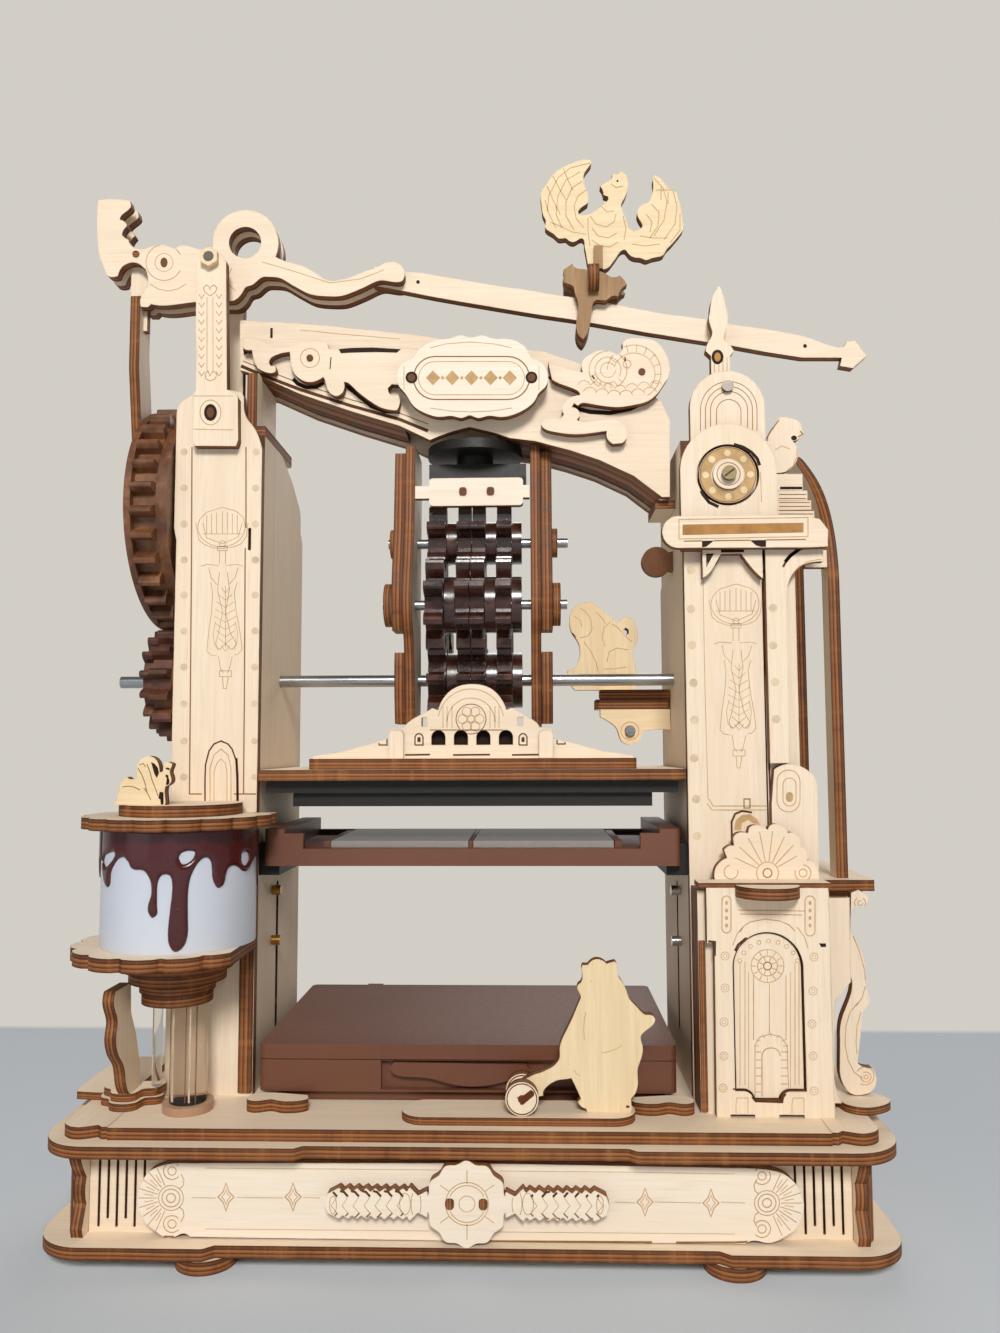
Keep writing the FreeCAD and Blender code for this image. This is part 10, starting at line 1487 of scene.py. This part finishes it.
add_strip(bm, "XZ", 22.8, [(dx_ - 1.7 * math.cos(a), dz_ - 1.7 * math.sin(a)),
                           (dx_ + 1.7 * math.cos(a), dz_ + 1.7 * math.sin(a))], 0.5, 0.03)
make("dial_screw_slot", bm, BLACK, "frame")

# ------------------------------------------------------------------ ink roller ends
bm = bmesh.new()
add_strip(bm, "XZ", 8.9, ring_pts(13.9, 39.25, 3.75, 36), 0.28, 0.03, True)
add_strip(bm, "XZ", 15.5, ring_pts(13.9, 39.25, 3.75, 36), 0.28, 0.03, True)
make("roller_rings", bm, BURN, "roller")
bm = bmesh.new()
add_patch(bm, "XZ", 8.9, [(12.6, 39.9), (13.4, 39.5), (16.2, 41.6), (17.0, 41.0), (17.0, 40.2), (14.2, 37.9),
                          (13.6, 37.9)], 0.05)
make("roller_notch", bm, ink("roller_notch_brown", "5A2E14", 0.6), "roller")

# ------------------------------------------------------------------ small extra pieces
def recolour(node, axis, lo, hi, mat):
    """Another material for the solids of a node that start between lo and hi on an axis."""
    me = NODES[node].data
    co, lab, w, start, tot = islands(me)
    lv = np.empty(len(me.loops), np.int32)
    me.loops.foreach_get("vertex_index", lv)
    poly_of = np.repeat(np.arange(len(tot)), tot)
    idx = np.empty(len(me.polygons), np.int32)
    me.polygons.foreach_get("material_index", idx)
    slot = len(me.materials)
    me.materials.append(mat)
    hit_ = 0
    for L in np.unique(lab):
        pts = co[lv[lab[poly_of] == L]]
        at = float(pts[:, axis].min()) * 1000.0 - (DX if axis == 0 else DY if axis == 1 else 0.0)
        if lo <= at <= hi:
            idx[lab == L] = slot
            hit_ += 1
    me.polygons.foreach_set("material_index", idx)
    me.update()
    return hit_


recolour("right_tower_roof", 1, 31.55, 31.65, wood_face(0, "light"))
recolour("mechanism_cross_plate", 1, 41.4, 41.6, PEG)
recolour("monkey_bracket", 1, 49.9, 50.1, PEG)


def slab(name, x0, x1, y0, y1, z0, z1, mat, body, top=None):
    """A thin strip of sheet, with its outline cut at the corners."""
    bm_ = bmesh.new()
    c_ = min(0.25, (x1 - x0) * 0.2, (z1 - z0) * 0.2)
    pts = [(x0 + c_, z0), (x1 - c_, z0), (x1, z0 + c_), (x1, z1 - c_), (x1 - c_, z1), (x0 + c_, z1),
           (x0, z1 - c_), (x0, z0 + c_)]
    f = [bm_.verts.new(P(x, y0, z)) for x, z in pts]
    b = [bm_.verts.new(P(x, y1, z)) for x, z in pts]
    bm_.faces.new(f)
    bm_.faces.new(b[::-1])
    n = len(pts)
    for i in range(n):
        j = (i + 1) % n
        bm_.faces.new((f[j], f[i], b[i], b[j]))
    bmesh.ops.recalc_face_normals(bm_, faces=bm_.faces)
    return make(name, bm_, mat, body)


def edge_stripes(x0, x1):
    """Ply lines running up a sheet that is seen on its edge."""
    return wood_edge(0, (x0 + DX) / 1000.0, (x1 - x0) / 1000.0)


# the inner walls of both towers are seen on their front edges
slab("left_wall_edge", -63.8, -60.0, 27.9, 28.48, 34.0, 86.0, edge_stripes(-63.8, -60.0), "frame")
slab("right_wall_edge", 60.3, 62.0, 17.5, 17.98, 33.4, 77.0, edge_stripes(60.3, 62.0), "frame")

# painted shade: a dark sheet behind the windows of the press's facade, standing in for the shaded inside of the press
slab("facade_painted_shade_panel", -12.5, 12.5, 37.05, 37.3, 127.5, 134.0, DARK, "platen")

# pegs of the medallion, seen in its two oval holes
bm = bmesh.new()
for x in (-3.95, 4.45):
    add_patch(bm, "XZ", 5.3, [(x + 2.0 * math.cos(math.radians(20 * k)), 16.5 + 1.3 * math.sin(math.radians(20 * k)))
                              for k in range(18)], 0.2)
make("medallion_peg_shadow", bm, DARK, "frame")
bm = bmesh.new()
for x in (-3.95, 4.45):
    add_patch(bm, "XZ", 5.3, [(x + 1.15 * math.cos(math.radians(20 * k)), 16.5 + 0.85 * math.sin(math.radians(20 * k)))
                              for k in range(18)], 1.2)
make("medallion_pegs", bm, PEG, "frame")

# the clear tube's foot, and painted streaks down its wall: the light ones are painted highlights, the dark ones painted
# shade lines of the clear ribbed wall
recolour("lamp_tubes", 2, 32.9, 33.1, plastic("tube_foot_tint", "A98468", 0.30, 0.15, 0.3))


def streaks(name, spans, mat):
    bm_ = bmesh.new()
    for a0, a1, z0, z1 in spans:
        n = 4
        rows = []
        for r in (4.83, 4.93):
            rows.append([[bm_.verts.new(P(-74.2 - r * math.cos(math.radians(a0 + (a1 - a0) * k / n)),
                                          18.5 - r * math.sin(math.radians(a0 + (a1 - a0) * k / n)), z))
                          for k in range(n + 1)] for z in (z0, z1)])
        (ib, it), (ob, ot) = rows
        for k in range(n):
            bm_.faces.new((ob[k], ob[k + 1], ot[k + 1], ot[k]))
            bm_.faces.new((ib[k + 1], ib[k], it[k], it[k + 1]))
            bm_.faces.new((ot[k], ot[k + 1], it[k + 1], it[k]))
            bm_.faces.new((ib[k], ib[k + 1], ob[k + 1], ob[k]))
        for k in (0, n):
            bm_.faces.new((ib[k], ob[k], ot[k], it[k]) if k == 0 else (ob[k], ib[k], it[k], ot[k]))
    bmesh.ops.recalc_face_normals(bm_, faces=bm_.faces)
    return make(name, bm_, mat, "frame")


streaks("tube_painted_dark_streaks", ((28, 34, 35.6, 60.4), (97, 100, 36.0, 60.4), (128, 132, 35.6, 60.4)),
        ink("tube_painted_dark_streak", "7A5238", 0.4))
streaks("tube_painted_highlights", ((46, 58, 36.0, 60.2), (108, 113, 36.0, 60.2)), ink("tube_painted_highlight", "CDB79C", 0.4))

# ------------------------------------------------------------------ camera, floor, light
cam = bpy.data.cameras.new("camera")
cam.sensor_fit = "AUTO"
cam.sensor_width = 36.0
cam.lens = 27.5396
co_ = bpy.data.objects.new("camera", cam)
bpy.context.scene.collection.objects.link(co_)
yaw, pitch, roll = -0.0310458, 0.0797905, -0.0035110
fwd = Vector((math.sin(yaw) * math.cos(pitch), math.cos(yaw) * math.cos(pitch), math.sin(pitch)))
rgt = Vector((math.cos(yaw), -math.sin(yaw), 0.0))
upv = rgt.cross(fwd)
r2 = rgt * math.cos(roll) + upv * math.sin(roll)
u2 = upv * math.cos(roll) - rgt * math.sin(roll)
from mathutils import Matrix  # noqa: E402
rot = Matrix((r2, u2, -fwd)).transposed()
co_.matrix_world = Matrix.Translation(Vector((0.0154125, -0.301862, 0.127473))) @ rot.to_4x4()
cam.clip_start = 0.01
bpy.context.scene.camera = co_

bm = bmesh.new()
for x_, y_ in ((-4, -4), (4, -4), (4, 4), (-4, 4)):
    bm.verts.new((x_, y_, -0.00002))
bm.faces.new(bm.verts)
me = bpy.data.meshes.new("floor")
bm.to_mesh(me)
bm.free()
floor = bpy.data.objects.new("floor", me)
bpy.context.scene.collection.objects.link(floor)
t = Tree("pale_floor")
a = t.noise(t.mapped((3.0,) * 3), 1.0, 4.0, 0.5)
far = t.grey(t.axis(1), 0.170, 0.176)
near = t.ramp(a, [(0.3, hexc("C8CED5")), (0.7, hexc("CDD3D9"))])
t.link(t.mix(far, near, (0.0, 0.0, 0.0)), t.bsdf.inputs["Base Color"])
t.bsdf.inputs["Roughness"].default_value = 0.75
t.bsdf.inputs["Specular IOR Level"].default_value = 0.0
t.bsdf.inputs["Emission Color"].default_value = hexc("D2CEC6") + (1.0,)
t.link(far, t.bsdf.inputs["Emission Strength"])
me.materials.append(t.mat)


def area(name, loc, at, size, power, col):
    li = bpy.data.lights.new(name, "AREA")
    li.shape = "RECTANGLE"
    li.size, li.size_y = size
    li.energy = power
    li.color = col
    o = bpy.data.objects.new(name, li)
    o.location = loc
    d = Vector(at) - Vector(loc)
    o.rotation_euler = d.to_track_quat("-Z", "Y").to_euler()
    bpy.context.scene.collection.objects.link(o)


area("key", (0.12, -1.45, 1.05), (0.0, 0.0, 0.13), (0.42, 0.42), 24.8, (1.0, 0.985, 0.96))
area("fill", (-0.9, -0.9, 0.35), (0.0, 0.0, 0.12), (0.8, 0.8), 1.6, (0.94, 0.97, 1.0))
area("back", (0.25, 0.95, 0.75), (0.0, 0.0, 0.15), (0.8, 0.6), 3.0, (1.0, 1.0, 1.0))
w = bpy.data.worlds.new("studio")
w.use_nodes = True
wn = w.node_tree
bg = wn.nodes["Background"]
bg.inputs[0].default_value = hexc("D2CEC6") + (1.0,)
lp = wn.nodes.new("ShaderNodeLightPath")
mr = wn.nodes.new("ShaderNodeMapRange")
mr.inputs["To Min"].default_value = 0.30
mr.inputs["To Max"].default_value = 1.0
wn.links.new(lp.outputs["Is Camera Ray"], mr.inputs["Value"])
wn.links.new(mr.outputs[0], bg.inputs[1])
bpy.context.scene.world = w
bpy.context.scene.view_settings.view_transform = "Standard"
